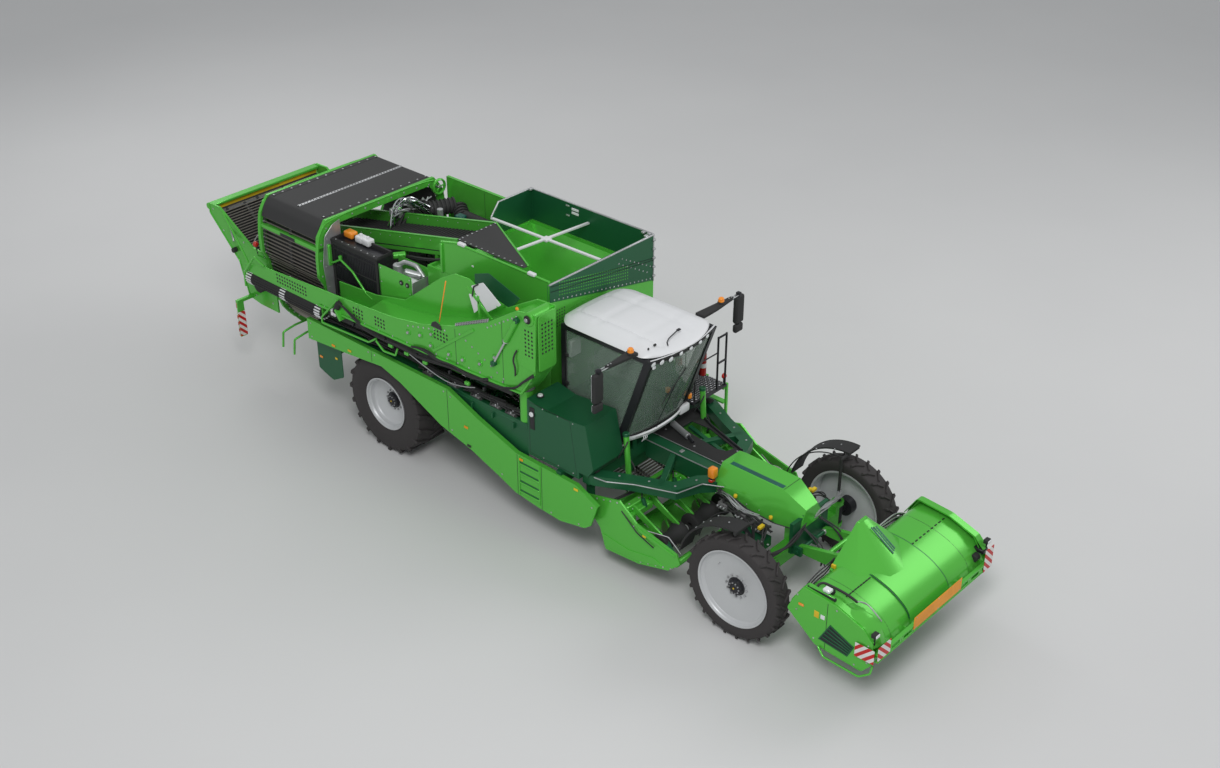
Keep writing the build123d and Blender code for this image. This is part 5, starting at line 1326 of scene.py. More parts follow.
def make_interior(kit):
    """Steering wheel, screens, console, pedals and floor mat."""
    kit.add(
        PLASTIC,
        turned(
            [(0.016 * cos(2 * pi * k / 10), 0.19 + 0.016 * sin(2 * pi * k / 10)) for k in range(10)],
            (0, 0, 0), "z", 32,
        ),
    )
    wheel = kit.heap[PLASTIC][-1]
    tilt = Matrix.Translation((CAB_X, -2.06, 2.78)) @ Matrix.Rotation(radians(28), 4, "X")
    moved(wheel, tilt)
    for k in range(3):
        angle = 2 * pi * k / 3 + 0.5
        spoke = bar((0, 0, -0.01), (0.19 * cos(angle), 0.19 * sin(angle), 0), 0.03, 0.012)
        kit.add(PLASTIC, moved(spoke, tilt))
    kit.add(
        PLASTIC, moved(rod((0, 0, -0.05), (0, 0, 0.008), 0.04, 16), tilt),
        block((-0.77, -2.02, 2.4), (-0.48, -1.5, 2.52), 0.03, 2),
        block((-0.74, -1.98, 1.97), (-0.52, -1.56, 2.42), 0.03, 2),
    )
    for low, high in (
        ((-0.74, -2.16, 2.72), (-0.46, -2.12, 2.94)), ((-0.72, -2.14, 2.98), (-0.48, -2.1, 3.16)),
    ):
        kit.add(PLASTIC, block(low, high, 0.014, 2))
        kit.add(
            MIRROR,
            block(
                (low[0] + 0.02, high[1] - 0.002, low[2] + 0.02),
                (high[0] - 0.02, high[1] + 0.004, high[2] - 0.02), 0.002,
            ),
        )
    kit.add(BLACK_STEEL, tube([(-0.62, -2.05, 2.45), (-0.62, -2.13, 2.6), (-0.6, -2.13, 3.05)], 0.014, 0.3))
    kit.add(RUBBER, block((-0.79, -2.33, 1.961), (0.6, -1.2, 1.972), 0.004))
    for x in (-0.32, 0.02, 0.16):
        kit.add(BLACK_STEEL, bar((x, -2.28, 2.02), (x, -2.22, 2.16), 0.06, 0.015))
    kit.add(AMBER_LENS, rod((0.28, -2.33, 2.3), (0.28, -2.33, 2.38), 0.045, 16))
    kit.add(BLACK_STEEL, rod((0.28, -2.33, 1.98), (0.28, -2.33, 2.3), 0.014, 10))
    kit.add(WHITE, block((-0.79, -1.24, 2.95), (-0.55, -1.16, 3.25), 0.02))
    kit.add(PLASTIC, block((-0.76, -2.6, 3.36), (0.56, -2.3, 3.5), 0.04, 2))


def make_platform(kit):
    """Chequer plate, thin rails, extinguishers, ladder grips and side lamp."""
    top = PLATFORM_LOW.z + 0.46
    chequer_pitch = 0.05
    bars = []
    for i in range(17):
        for j in range(28):
            x = 0.775 + i * chequer_pitch
            y = -2.44 + j * chequer_pitch
            angle = 45 if (i + j) % 2 else -45
            bars.append(Matrix.Translation((x, y, top)) @ Matrix.Rotation(radians(angle), 4, "Z"))
    raised = rod((-0.015, 0, 0.0035), (0.015, 0, 0.0035), 0.006, 4, edge=0)
    kit.add(ZINC, copies(raised, bars))
    for x, y, z, radius, tall in ((1.2, -2.3, 2.2, 0.055, 0.4), (1.44, -1.6, 2.02, 0.055, 0.36)):
        kit.add(
            RED, rod((x, y, z), (x, y, z + tall), radius, 20, edge=0.02),
            dome((x, y, z + tall - 0.004), radius * 0.92, 0.045, sides=20),
        )
        kit.add(
            PLASTIC, rod((x, y, z + tall + 0.03), (x, y, z + tall + 0.085), 0.016, 10),
            bar((x, y, z + tall + 0.08), (x - 0.02, y - 0.09, z + tall + 0.1), 0.018, 0.012),
        )
        kit.add(WHITE, rod((x, y, z + 0.16), (x, y, z + 0.24), radius + 0.001, 20, edge=0))
        kit.add(
            RUBBER,
            hose(
                [
                    (x, y + 0.01, z + tall + 0.05), (x + 0.07, y + 0.01, z + tall + 0.07),
                    (x + 0.085, y, z + tall * 0.7), (x + 0.06, y, z + 0.12),
                ],
                0.01,
            ),
        )
        kit.add(
            BLACK_STEEL, block((x - 0.03, y + 0.04, z - 0.01), (x + 0.03, y + 0.07, z + tall * 0.8), 0.004),
        )
    kit.add(
        BLACK_STEEL,
        tube(
            [(0.8, -2.46, top), (0.8, -2.46, 2.55), (0.86, -2.47, 2.62), (1.34, -2.475, 2.62)], 0.012, 0.2,
        ),
    )
    kit.add(
        RED_LENS, dome((1.585, -2.44, 2.08), 0.05, 0.05, (0, -1, 0)),
        dome((1.585, -2.44, 2.08), 0.05, 0.03, (0, 1, 0)),
    )
    kit.add(BLACK_STEEL, bar((1.585, -2.44, 2.03), (1.585, -2.44, 1.94), 0.02, 0.02))
    kit.add(AMBER_LENS, rod((0.7, -2.44, 2.05), (0.7, -2.44, 2.13), 0.04, 14))
    kit.add(BLACK_STEEL, rod((0.7, -2.44, 1.92), (0.7, -2.44, 2.05), 0.012, 8))


def make_tank(kit):
    """Edge seam, filler box with its bar, caps and bolts of the tank."""
    right, top = TANK_LOW.x, TANK_HIGH.z
    kit.add(PLASTIC, block((right - 0.012, -1.2, 1.98), (right + 0.01, -1.1, 2.38), 0.03, 3))
    kit.add(BLACK_STEEL, block((right - 0.014, -1.172, 2.0), (right - 0.006, -1.128, 2.36), 0.01))
    for place, out in (((right - 0.004, -1.15, 2.26), (-1, 0, 0)), ((-1.4, -1.14, top - 0.004), (0, 0, 1))):
        start = Vector(place)
        kit.add(PLASTIC, rod(start, start + Vector(out) * 0.012, 0.062, 20))
        kit.add(WHITE, rod(start, start + Vector(out) * 0.03, 0.044, 20))
    seam = [(-2.1, 1.52), (-1.08, 1.52), (-1.08, 2.46), (-1.96, 2.46)]
    inner = [(-2.096, 1.526), (-1.086, 1.526), (-1.086, 2.454), (-1.956, 2.454)]
    kit.add(BLACK_STEEL, window_plate(seam, inner, "x", right - 0.0012, right + 0.002, edge=0))
    for y in (-2.02, -1.7, -1.38):
        kit.add(ZINC, bolts([(right, y, 1.54), (right, y, 2.44)], "x", 0.009))


class OBJECT_OT_harvester_cab(bpy.types.Operator):
    """Model the cab's roof, curved glass, lamps, mirrors, seat, platform and tank fittings"""

    bl_idname = "object.harvester_cab"
    bl_label = "Cab and platform"

    def execute(self, context):
        makers = (make_roof, make_windows, make_lamps, make_mirrors, make_interior, make_platform, make_tank)
        build("cab", "chassis", makers, "cab_roof", GLASS, "mirror_arms")
        make_seat()
        door = Kit("cab_door_trim", "cab_door")
        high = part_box("cab_door")[1]
        door.add(
            BLACK_STEEL,
            tube(
                [
                    (high.x - 0.01, -2.28, 2.35), (high.x + 0.035, -2.3, 2.38), (high.x + 0.035, -2.3, 2.8),
                    (high.x - 0.01, -2.32, 2.83),
                ],
                0.011, 0.3,
            ),
        )
        door.add(PLASTIC, block((high.x - 0.012, -2.36, 2.44), (high.x + 0.018, -2.28, 2.56), 0.012, 2))
        door.deliver()
        return {"FINISHED"}


# ---------------------------------------------------------------- neck, portal and front axle
FRONT_AXLE_Y, FRONT_AXLE_Z = -5.15, 0.87
MUDGUARD_RADIUS = 1.04


def hose_run(points, count, gap, radius=None):
    """Several hoses side by side along one loose line, each a little off the others."""
    made = []
    for k in range(count):
        places = []
        for n, point in enumerate(points):
            sway = Vector((sin(2.1 * k + n), cos(1.7 * k + 2 * n), sin(3.3 * k + 1.3 * n)))
            places.append(Vector(point) + sway * gap)
        made.append(hose(places, radius))
    return joined(made)


def dark_holes(rows, columns, corner, step_across, step_up, axis="x", radius=0.013):
    """Rows of round holes shown as discs a hair proud of a sheet; black discs are painted shade inside the
    holes.
    """
    out = on_axis(axis, 1, (0, 0))
    disc = rod(-out * 0.0008, out * 0.0008, radius, 10, edge=0)
    corner, step_across, step_up = Vector(corner), Vector(step_across), Vector(step_up)
    return copies(disc, [corner + step_across * i + step_up * j for j in range(rows) for i in range(columns)])


def make_neck_cover(kit):
    """Faceted cover with a falling nose, its stripe, seams and screws."""
    def section(y, wide, top, shoulder, low):
        return [
            (-wide, y, low), (-wide * 0.96, y, shoulder), (-wide * 0.56, y, top), (wide * 0.56, y, top),
            (wide * 0.96, y, shoulder), (wide, y, low),
        ]
    rows = [
        section(-3.86, 0.37, 1.88, 1.66, 1.44), section(-3.98, 0.38, 1.89, 1.65, 1.43),
        section(-5.02, 0.37, 1.89, 1.61, 1.38), section(-5.4, 0.25, 1.66, 1.5, 1.36),
    ]
    kit.add(GREEN, skin(rows, 0.008, -1.0))
    nose = [(p[0] * 0.99, p[2]) for p in rows[-1]]
    kit.add(GREEN, plate(nose, "y", -5.408, -5.394, corner=0.01))
    kit.add(TEAL, block((-0.19, -4.99, 1.886), (-0.105, -3.99, 1.9005), 0.001))
    kit.add(BLACK_STEEL, block((-0.205, -5.025, 1.886), (0.205, -5.019, 1.9), 0))
    for side in (RIGHT, LEFT):
        kit.add(ZINC, bolts([(side * 0.378, y, 1.47) for y in spread(-4.0, -4.95, 5)], "x", 0.009))
        kit.add(
            RUBBER,
            tube(
                [(side * 0.385, -3.9, 1.425), (side * 0.378, -5.0, 1.372), (side * 0.26, -5.38, 1.352)],
                0.012,
            ),
        )


def make_portal_trim(kit):
    """Gusset with its window, weld edges, lamp, pipes, bolts, and a zinc edge line that is partly painted
    highlight.
    """
    outer = [(0.05, -2.24), (0.05, -3.64), (0.14, -3.7), (0.58, -3.66), (0.84, -2.8), (1.08, -2.24)]
    inner = [(0.46, -2.48), (0.34, -3.32), (0.4, -3.47), (0.54, -3.5), (0.74, -2.84), (0.72, -2.48)]
    kit.add(PLASTIC, window_plate(outer, inner, "z", 1.601, 1.622))
    kit.add(BLACK_STEEL, tube([(0.56, -3.64, 1.63), (0.82, -2.8, 1.63), (1.06, -2.3, 1.63)], 0.022, 0.1))
    kit.add(GREEN, bar((0.36, -3.3, 1.46), (0.7, -2.8, 1.5), 0.12, 0.03))
    kit.add(DARK_GREEN, bar((0.4, -3.46, 1.54), (0.66, -2.5, 1.54), 0.07, 0.05))
    kit.add(ZINC, rod((0.36, -2.38, 1.7), (0.23, -2.82, 1.69), 0.052, 18, edge=0.006))
    kit.add(BLACK_STEEL, rod((0.23, -2.82, 1.69), (0.19, -2.95, 1.66), 0.03, 14))
    kit.add(
        ZINC,
        bolts(
            [(0.12, -3.6, 1.622), (0.16, -3.0, 1.622), (0.5, -3.6, 1.622), (0.24, -2.34, 1.622)], "z",
            0.013,
        ),
    )
    # Zinc tube along the portal's near lower edge: partly a pipe, partly a painted highlight on that edge.
    bright_edge_line = [
        (-1.535, -2.4, 1.6), (-1.5, -2.62, 1.6), (-1.27, -2.99, 1.6), (-1.01, -3.63, 1.6),
        (-0.58, -3.77, 1.62), (-0.4, -4.05, 1.6),
    ]
    kit.add(
        ZINC, tube(bright_edge_line, 0.01, 0.1),
        tube([(-0.19, -2.24, 1.612), (-0.19, -3.2, 1.612), (-0.18, -3.8, 1.612)], 0.009, 0.1),
        tube([(0.04, -2.24, 1.612), (0.04, -3.2, 1.612), (0.04, -3.8, 1.612)], 0.007, 0.1),
        block((-0.1, -2.96, 1.6), (-0.02, -2.9, 1.612), 0.003),
    )
    kit.add(AMBER_LENS, block((-0.48, -3.9, 1.7), (-0.36, -3.78, 1.87), 0.02, 2))
    kit.add(BLACK_STEEL, block((-0.46, -3.86, 1.66), (-0.38, -3.8, 1.71), 0.006))
    kit.add(RED_LENS, block((-0.47, -3.86, 1.61), (-0.37, -3.79, 1.66), 0.01))
    for side in (RIGHT, LEFT):
        spots = [
            (side * 1.42, -2.3), (side * 1.24, -2.66), (side * 1.05, -3.1), (side * 0.88, -3.48),
            (side * 0.54, -3.62),
        ]
        kit.add(ZINC, bolts([(x, y, 1.601) for x, y in spots], "z", 0.014))
        kit.add(DARK_GREEN, bar((side * 1.02, -3.3, 1.54), (side * 0.18, -2.86, 1.54), 0.1, 0.12, 0.006))
        kit.add(PLASTIC, block((side * 1.4 - 0.06, -2.36, 1.6), (side * 1.4 + 0.06, -2.22, 1.645), 0.02, 2))
    for x in (-0.93, 0.93):
        kit.add(GREEN, rod((x, -2.52, 2.14), (x, -2.585, 1.3), 0.048, 18, edge=0.006))
        kit.add(DARK_GREEN, rod((x, -2.515, 2.18), (x, -2.52, 2.12), 0.058, 18))
        kit.add(CHROME, rod((x, -2.585, 1.3), (x, -2.605, 1.08), 0.024, 14))
        kit.add(
            ZINC, rod((x - 0.035, -2.61, 1.05), (x + 0.035, -2.61, 1.05), 0.042, 16),
            rod((x, -2.585, 1.315), (x, -2.587, 1.28), 0.054, 18),
        )
        kit.add(
            RUBBER,
            hose(
                [(x, -2.56, 2.05), (x - 0.08, -2.6, 2.02), (x - 0.1, -2.5, 1.86), (x - 0.06, -2.42, 1.7)],
                0.012,
            ),
            hose(
                [
                    (x, -2.62, 1.38), (x + 0.09, -2.66, 1.42), (x + 0.11, -2.56, 1.62),
                    (x + 0.05, -2.42, 1.75),
                ],
                0.012,
            ),
        )


def make_front_hoses(kit):
    """Hoses, valve blocks and small fittings around the neck and over the axle."""
    for side in (RIGHT, LEFT):
        near = side == -1
        x = side
        start = [
            (x * 0.42, -3.95, 1.52), (x * 0.52, -4.25, 1.55), (x * 0.5, -4.65, 1.42),
            (x * 0.56, -5.05, 1.36),
        ]
        kit.add(RUBBER, hose_run(start, 7 if near else 4, 0.035))
        start = [(x * 0.44, -4.05, 1.4), (x * 0.56, -4.3, 1.46), (x * 0.56, -4.7, 1.3), (x * 0.5, -5.0, 1.32)]
        kit.add(RUBBER, hose_run(start, 6 if near else 3, 0.045))
        start = [
            (x * 0.42, -3.98, 1.48), (x * 0.55, -4.2, 1.62), (x * 0.6, -4.5, 1.5), (x * 0.48, -4.8, 1.44),
        ]
        kit.add(ZINC, hose_run(start, 5 if near else 3, 0.035, 0.008))
        start = [
            (x * 0.5, -4.95, 1.36), (x * 0.64, -5.03, 1.42), (x * 0.78, -5.1, 1.34),
            (x * 0.84, -5.12, 1.24),
        ]
        kit.add(RUBBER, hose_run(start, 3, 0.03))
        for y, z in ((-4.15, 1.36), (-4.5, 1.34), (-4.82, 1.26)):
            kit.add(IRON, block((x * 0.4, y - 0.09, z - 0.06), (x * 0.56, y + 0.09, z + 0.06), 0.01))
            for k in range(3):
                spot = (x * 0.56, y - 0.06 + 0.06 * k, z + 0.02)
                kit.add(ZINC, rod(spot, (x * 0.61, spot[1], z + 0.02), 0.016, 8))
                top = (x * (0.44 + 0.04 * k), y, z + 0.06)
                kit.add(PLASTIC, rod(top, (top[0], y, z + 0.13), 0.018, 10))
        for y, z in ((-4.35, 1.6), (-5.02, 1.52)):
            kit.add(YELLOW, rod((x * 0.5, y, z), (x * 0.5, y, z + 0.05), 0.03, 12))
        kit.add(YELLOW, block((x * 0.6, -5.0, 1.41), (x * 0.72, -4.94, 1.46), 0.006))
        kit.add(DARK_GREEN, block((x * 0.44, -5.02, 1.0), (x * 0.72, -4.3, 1.18), 0.012))
        kit.add(BLACK_STEEL, bar((x * 0.4, -4.2, 1.28), (x * 0.78, -4.95, 1.2), 0.06, 0.04))
    silver = [(0.12, -5.38, 1.44), (0.34, -5.44, 1.52), (0.66, -5.4, 1.44), (0.98, -5.26, 1.34)]
    kit.add(ZINC, hose_run(silver, 9, 0.04, 0.012))
    kit.add(
        RUBBER,
        hose_run(
            [(-0.12, -5.38, 1.4), (-0.38, -5.46, 1.36), (-0.66, -5.4, 1.2), (-0.9, -5.26, 1.16)], 7, 0.035,
        ),
        hose_run(
            [(-0.2, -5.42, 1.38), (-0.22, -5.66, 1.3), (-0.26, -5.86, 1.1), (-0.3, -5.86, 0.96)], 3, 0.03,
        ),
        hose_run([(0.2, -5.42, 1.38), (0.24, -5.66, 1.3), (0.28, -5.86, 1.1), (0.3, -5.86, 0.96)], 3, 0.03),
    )
    for x in (-1.0, -0.8, 0.8, 1.0):
        kit.add(ZINC, bolts([(x, FRONT_AXLE_Y + s * 0.06, 1.305) for s in (-1, 1)], "z", 0.013))


class OBJECT_OT_harvester_front_end(bpy.types.Operator):
    """Model the neck cover, portal gusset, lift cylinders, hoses and mudguard fittings"""

    bl_idname = "object.harvester_front_end"
    bl_label = "Neck and front axle"

    def execute(self, context):
        makers = (make_neck_cover, make_portal_trim, make_front_hoses)
        build("front_end", "chassis", makers, "neck_cover")
        for side_name, _ in SIDES:
            trim = Kit(f"front_{side_name}_mudguard_trim", f"front_knuckle_{side_name}")
            low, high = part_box(f"front_mudguard_{side_name}")
            middle = (low.x + high.x) / 2
            for angle in (18, 38, 58, 78):
                place = Matrix.Translation((middle, FRONT_AXLE_Y, FRONT_AXLE_Z))
                turn = place @ Matrix.Rotation(radians(angle), 4, "X")
                for x in (-0.09, 0.09):
                    trim.add(ZINC, moved(rod((x, 1.036, 0), (x, 1.054, 0), 0.013, 8), turn))
            for x in (low.x + 0.008, high.x - 0.008):
                angles = [radians(a) for a in range(13, 92, 3)]
                rim = [
                    (x, FRONT_AXLE_Y + MUDGUARD_RADIUS * cos(a), FRONT_AXLE_Z + MUDGUARD_RADIUS * sin(a))
                    for a in angles
                ]
                trim.add(PLASTIC, tube(rim, 0.01, 0.1, steps=1))
            trim.deliver()
        return {"FINISHED"}


# ---------------------------------------------------------------- digging unit
def make_diabolos(kit):
    """Glossy waisted rollers with end rings on their shaft."""
    for row in (-1.5, -0.5, 0.5, 1.5):
        centre = (row * 0.75, -3.6, 0.8)
        profile = [
            (-0.27, 0.045), (-0.27, 0.172), (-0.262, 0.186), (-0.235, 0.19), (-0.185, 0.176),
            (-0.11, 0.146), (-0.04, 0.126), (0.04, 0.126), (0.11, 0.146), (0.185, 0.176), (0.235, 0.19),
            (0.262, 0.186), (0.27, 0.172), (0.27, 0.045),
        ]
        kit.add(PLASTIC, turned(profile, centre, "x", 40))
    for x in (-1.48, -0.75, 0.0, 0.75, 1.48):
        kit.add(ZINC, rod((x - 0.014, -3.6, 0.8), (x + 0.014, -3.6, 0.8), 0.062, 18, edge=0.003))


def make_digger_trim(kit):
    """Beams, row arms, discs, shares, plates, screws, reflectors and hoses of the digging unit."""
    kit.add(
        GREEN, block((-1.44, -3.02, 1.16), (1.44, -2.9, 1.27), 0.012),
        block((-1.44, -2.66, 0.98), (1.44, -2.54, 1.1), 0.012),
    )
    for row in (-1.5, -0.5, 0.5, 1.5):
        x = row * 0.75
        for lean in (-0.2, 0.2):
            arm = [(-2.9, 1.25), (-3.06, 1.27), (-3.62, 0.99), (-3.62, 0.9), (-3.05, 1.13), (-2.9, 1.12)]
            kit.add(GREEN, plate(arm, "x", x + lean - 0.015, x + lean + 0.015, corner=0.02))
            kit.add(ZINC, bolts([(x + lean, -3.02, 1.2), (x + lean, -3.55, 0.95)], "x", 0.016, 0.022))
        kit.add(GREEN, block((x - 0.16, -3.12, 1.08), (x + 0.16, -2.98, 1.2), 0.012))
        kit.add(DARK_GREEN, rod((x, -3.04, 1.3), (x, -3.1, 1.16), 0.036, 14))
        kit.add(
            RUBBER,
            hose(
                [(x, -3.02, 1.3), (x + 0.08, -2.96, 1.35), (x + 0.18, -2.84, 1.28), (x + 0.3, -2.74, 1.12)],
                0.012,
            ),
        )
        kit.add(
            WEB_STEEL,
            plate(
                [(x - 0.29, -3.36), (x, -3.44), (x + 0.29, -3.36), (x + 0.25, -3.12), (x - 0.25, -3.12)],
                "z", 0.385, 0.4, edge=0.004,
            ),
        )
    for x in (-1.125, -0.75, -0.375, 0.0, 0.375, 0.75, 1.125):
        disc = [(-0.004, 0.03), (-0.004, 0.2), (0.0, 0.23), (0.004, 0.2), (0.004, 0.03)]
        if abs(x) % 0.75 < 0.01:
            kit.add(WEB_STEEL, turned(disc, (x, -3.34, 0.6), "x", 32))
            kit.add(IRON, rod((x - 0.03, -3.34, 0.6), (x + 0.03, -3.34, 0.6), 0.05, 14))
            kit.add(GREEN, bar((x, -3.34, 0.6), (x, -2.92, 1.18), 0.05, 0.03))
    for side in (RIGHT, LEFT):
        out = side * 1.5
        face = side * 1.517
        panel = [(-2.6, 0.4), (-3.28, 0.44), (-3.8, 0.58), (-3.62, 0.66), (-3.1, 0.56), (-2.56, 0.62)]
        kit.add(GREEN, plate(panel, "x", out, out + side * 0.028, corner=0.03))
        rib = [(-3.3, 1.06), (-4.04, 0.9), (-4.02, 0.86), (-3.29, 1.01)]
        kit.add(GREEN, plate(rib, "x", out, out + side * 0.028, corner=0.01))
        for points in (
            [(-2.3, 1.18), (-2.86, 1.33)], [(-3.2, 1.05), (-3.98, 0.88)], [(-3.95, 0.62), (-3.35, 0.45)],
        ):
            run = [Vector((face, y, z)) for y, z in points]
            kit.add(ZINC, bolts([run[0].lerp(run[1], t) for t in spread(0, 1, 5)]))
        for y, z in ((-2.4, 1.1), (-3.42, 0.97)):
            kit.add(
                YELLOW,
                block((face, y - 0.035, z - 0.022), (face + side * 0.012, y + 0.035, z + 0.022), 0.005),
            )
        kit.add(
            BLACK_STEEL,
            tube(
                [(face, -2.95, 1.22), (face + side * 0.02, -3.28, 0.98), (face + side * 0.02, -3.62, 0.86)],
                0.01, 0.3,
            ),
        )
        kit.add(WEB_STEEL, rod((side * 1.44, -3.05, 0.62), (side * 1.36, -3.05, 0.62), 0.25, 36, edge=0.006))
        kit.add(GREEN, block((side * 1.34, -3.1, 0.8), (side * 1.47, -2.98, 1.16), 0.01))
        kit.add(DARK_GREEN, bar((side * 1.3, -3.62, 0.94), (side * 1.46, -4.0, 0.8), 0.08, 0.03))
        kit.add(
            ZINC,
            tube(
                [(side * 1.44, -3.4, 1.02), (side * 1.3, -3.72, 0.98), (side * 1.36, -4.02, 0.84)], 0.01,
                0.2,
            ),
        )
        hoses = [
            (side * 1.4, -2.6, 1.16), (side * 1.2, -2.76, 1.28), (side * 0.9, -2.9, 1.33),
            (side * 0.5, -2.88, 1.32),
        ]
        kit.add(RUBBER, hose_run(hoses, 4, 0.02))
    kit.add(ZINC, bolts([(x, -2.96, 1.272) for x in spread(-1.35, 1.35, 13)], "z", 0.012))
    kit.add(YELLOW, block((-0.93, -2.98, 1.27), (-0.86, -2.94, 1.3), 0.005))


class OBJECT_OT_harvester_digging_unit(bpy.types.Operator):
    """Model the waisted ridge rollers, row arms, discs, shares and hoses of the digging unit"""

    bl_idname = "object.harvester_digging_unit"
    bl_label = "Digging unit"

    def execute(self, context):
        build("diabolos", "diabolo_rollers", (make_diabolos,), "diabolo_rollers")
        build("digging", "digging_unit", (make_digger_trim,))
        return {"FINISHED"}


# ---------------------------------------------------------------- side panels
def make_side(kit, side):
    """Folded lips, seams, reflectors, step treads with painted shade in their foot slots, and inner walls of
    one side panel.
    """
    face = side * 1.681
    top = [(4.34, 2.015), (0.74, 1.995), (0.04, 1.715), (-0.83, 1.435), (-2.14, 1.405), (-2.585, 1.19)]
    low = [
        (4.34, 1.615), (3.24, 1.705), (2.38, 1.795), (1.9, 1.655), (0.94, 1.225), (0.21, 1.045),
        (-0.45, 0.805), (-0.8, 0.665), (-1.31, 0.605), (-1.79, 0.575), (-2.32, 0.685), (-2.45, 0.785),
    ]
    for line, drop in ((top, -0.012), (low, 0.012)):
        path = [(face - side * 0.012, y, z + drop) for y, z in line]
        kit.add(GREEN, tube(path, 0.013, 0.08, steps=3))
    reach = sorted((side * 1.6, side * 1.668))
    kit.add(GREEN, folded_sheet(top, "x", *reach, 0.004, 0.0))
    for y, low_z, high_z in ((2.62, 1.78, 2.01), (0.74, 1.18, 1.99), (-0.86, 0.66, 1.43), (-1.4, 0.6, 1.42)):
        kit.add(
            BLACK_STEEL,
            block((face - side * 0.003, y - 0.004, low_z), (face + side * 0.001, y + 0.004, high_z), 0),
        )
    reflectors = (
        (ORANGE, 0.31, 1.44), (PLASTIC, 0.26, 1.1), (YELLOW, -2.15, 1.33), (YELLOW, 3.21, 1.78),
        (ORANGE, 3.65, 1.72), (ORANGE, -0.95, 1.36),
    )
    for finish, y, z in reflectors:
        kit.add(
            finish, block((face, y - 0.045, z - 0.022), (face + side * 0.01, y + 0.045, z + 0.022), 0.004),
        )
    for low_z in (0.72, 0.9, 1.08, 1.26):
        kit.add(
            GREEN,
            block((face - side * 0.003, -1.35, low_z), (face + side * 0.012, -0.91, low_z + 0.03), 0.004),
        )
        # Dark green strip above each tread: painted shade in the step's foot slot.
        kit.add(
            DARK_GREEN,
            block(
                (face - side * 0.003, -1.34, low_z + 0.034), (face + side * 0.0015, -0.92, low_z + 0.06), 0,
            ),
        )
    for y in (-0.905, -1.355):
        kit.add(
            GREEN,
            block((face - side * 0.003, y - 0.014, 0.66), (face + side * 0.012, y + 0.014, 1.42), 0.004),
        )
    edge_bolts = [
        (face, y, z)
        for y, z in (
            (4.25, 1.95), (4.25, 1.68), (2.7, 1.95), (2.54, 1.95), (0.82, 1.92), (0.66, 1.88), (0.66, 1.24),
            (-0.5, 0.88), (-1.6, 0.64), (-2.2, 0.7), (-2.48, 1.14),
        )
    ]
    kit.add(ZINC, bolts(edge_bolts))
    wall = [(1.2, 1.98), (1.2, 1.42), (0.2, 1.1), (-0.4, 0.9), (-1.0, 0.8), (-1.0, 1.98)]
    kit.add(DARK_GREEN, plate(wall, "x", side * 1.54, side * 1.555, corner=0.02))
    rear_wall = [(4.3, 1.6), (4.3, 0.98), (3.92, 0.86), (3.62, 1.02), (3.62, 1.62)]
    kit.add(DARK_GREEN, plate(rear_wall, "x", side * 1.54, side * 1.555, corner=0.03))
    kit.add(AMBER_LENS, block((side * 1.556, 4.16, 1.22), (side * 1.566, 4.24, 1.26), 0.003))
    kit.add(YELLOW, block((side * 1.556, 3.74, 1.34), (side * 1.566, 3.8, 1.38), 0.003))


def make_under_boom(kit):
    """Hose bundles, valve blocks, a dark green plate and cross strips in the gap between the boom and the
    side panel.
    """
    for k, (low_y, high_y) in enumerate(((-0.9, 0.5), (-0.4, 1.6), (0.6, 2.9), (1.9, 4.2))):
        points = [
            (-1.44, low_y, 2.07), (-1.47, low_y + 0.3 * (high_y - low_y), 2.02 + 0.02 * k),
            (-1.43, low_y + 0.7 * (high_y - low_y), 2.06), (-1.46, high_y, 2.02),
        ]
        kit.add(RUBBER, hose_run(points, 6, 0.035, 0.014))
    for y in (-0.55, -0.2, 0.25, 0.8, 1.4):
        kit.add(IRON, block((-1.53, y - 0.1, 1.86), (-1.33, y + 0.1, 2.0), 0.012))
        for k in range(4):
            kit.add(
                ZINC, rod((-1.53 + 0.05 * k, y - 0.05, 2.0), (-1.53 + 0.05 * k, y - 0.05, 2.045), 0.014, 8),
            )
            kit.add(
                PLASTIC,
                rod((-1.53 + 0.05 * k, y + 0.05, 2.0), (-1.53 + 0.05 * k, y + 0.05, 2.06), 0.017, 8),
            )
    kit.add(DARK_GREEN, block((-1.56, -0.92, 1.9), (-1.31, 4.3, 1.925), 0.004))
    for y in (*spread(-0.7, 1.2, 5), 3.72, 4.05):
        kit.add(DARK_GREEN, block((-1.6, y - 0.015, 1.8), (-1.31, y + 0.015, 1.9), 0.003))


def make_main_frame_trim(kit):
    """Screws, ribs and pipes along the frame beams, seen from the sides and below."""
    for side in (RIGHT, LEFT):
        for height in (1.23, 1.35):
            kit.add(ZINC, bolts([(side * 0.601, y, height) for y in spread(-1.9, 3.9, 14)], "x", 0.013))
        for y in (-0.6, 0.9, 2.0, 3.2):
            kit.add(DARK_GREEN, block((side * 0.6, y - 0.012, 1.19), (side * 0.66, y + 0.012, 1.39), 0.004))
        for k in range(3):
            x = side * (0.615 + 0.012 * k)
            kit.add(ZINC, tube([(x, -1.95, 1.27 + 0.03 * k), (x, 3.95, 1.27 + 0.03 * k)], 0.008))
        kit.add(
            RUBBER,
            hose_run(
                [
                    (side * 0.66, -1.8, 1.42), (side * 0.68, 0.2, 1.44), (side * 0.66, 2.0, 1.43),
                    (side * 0.68, 3.9, 1.43),
                ],
                4, 0.02, 0.013,
            ),
        )


class OBJECT_OT_harvester_sides(bpy.types.Operator):
    """Model the side panels' lips, steps and reflectors and the plumbing behind them"""

    bl_idname = "object.harvester_sides"
    bl_label = "Side panels"

    def execute(self, context):
        kit = Kit("sides", "chassis")
        for _, side in SIDES:
            make_side(kit, side)
        make_under_boom(kit)
        make_main_frame_trim(kit)
        kit.deliver()
        return {"FINISHED"}


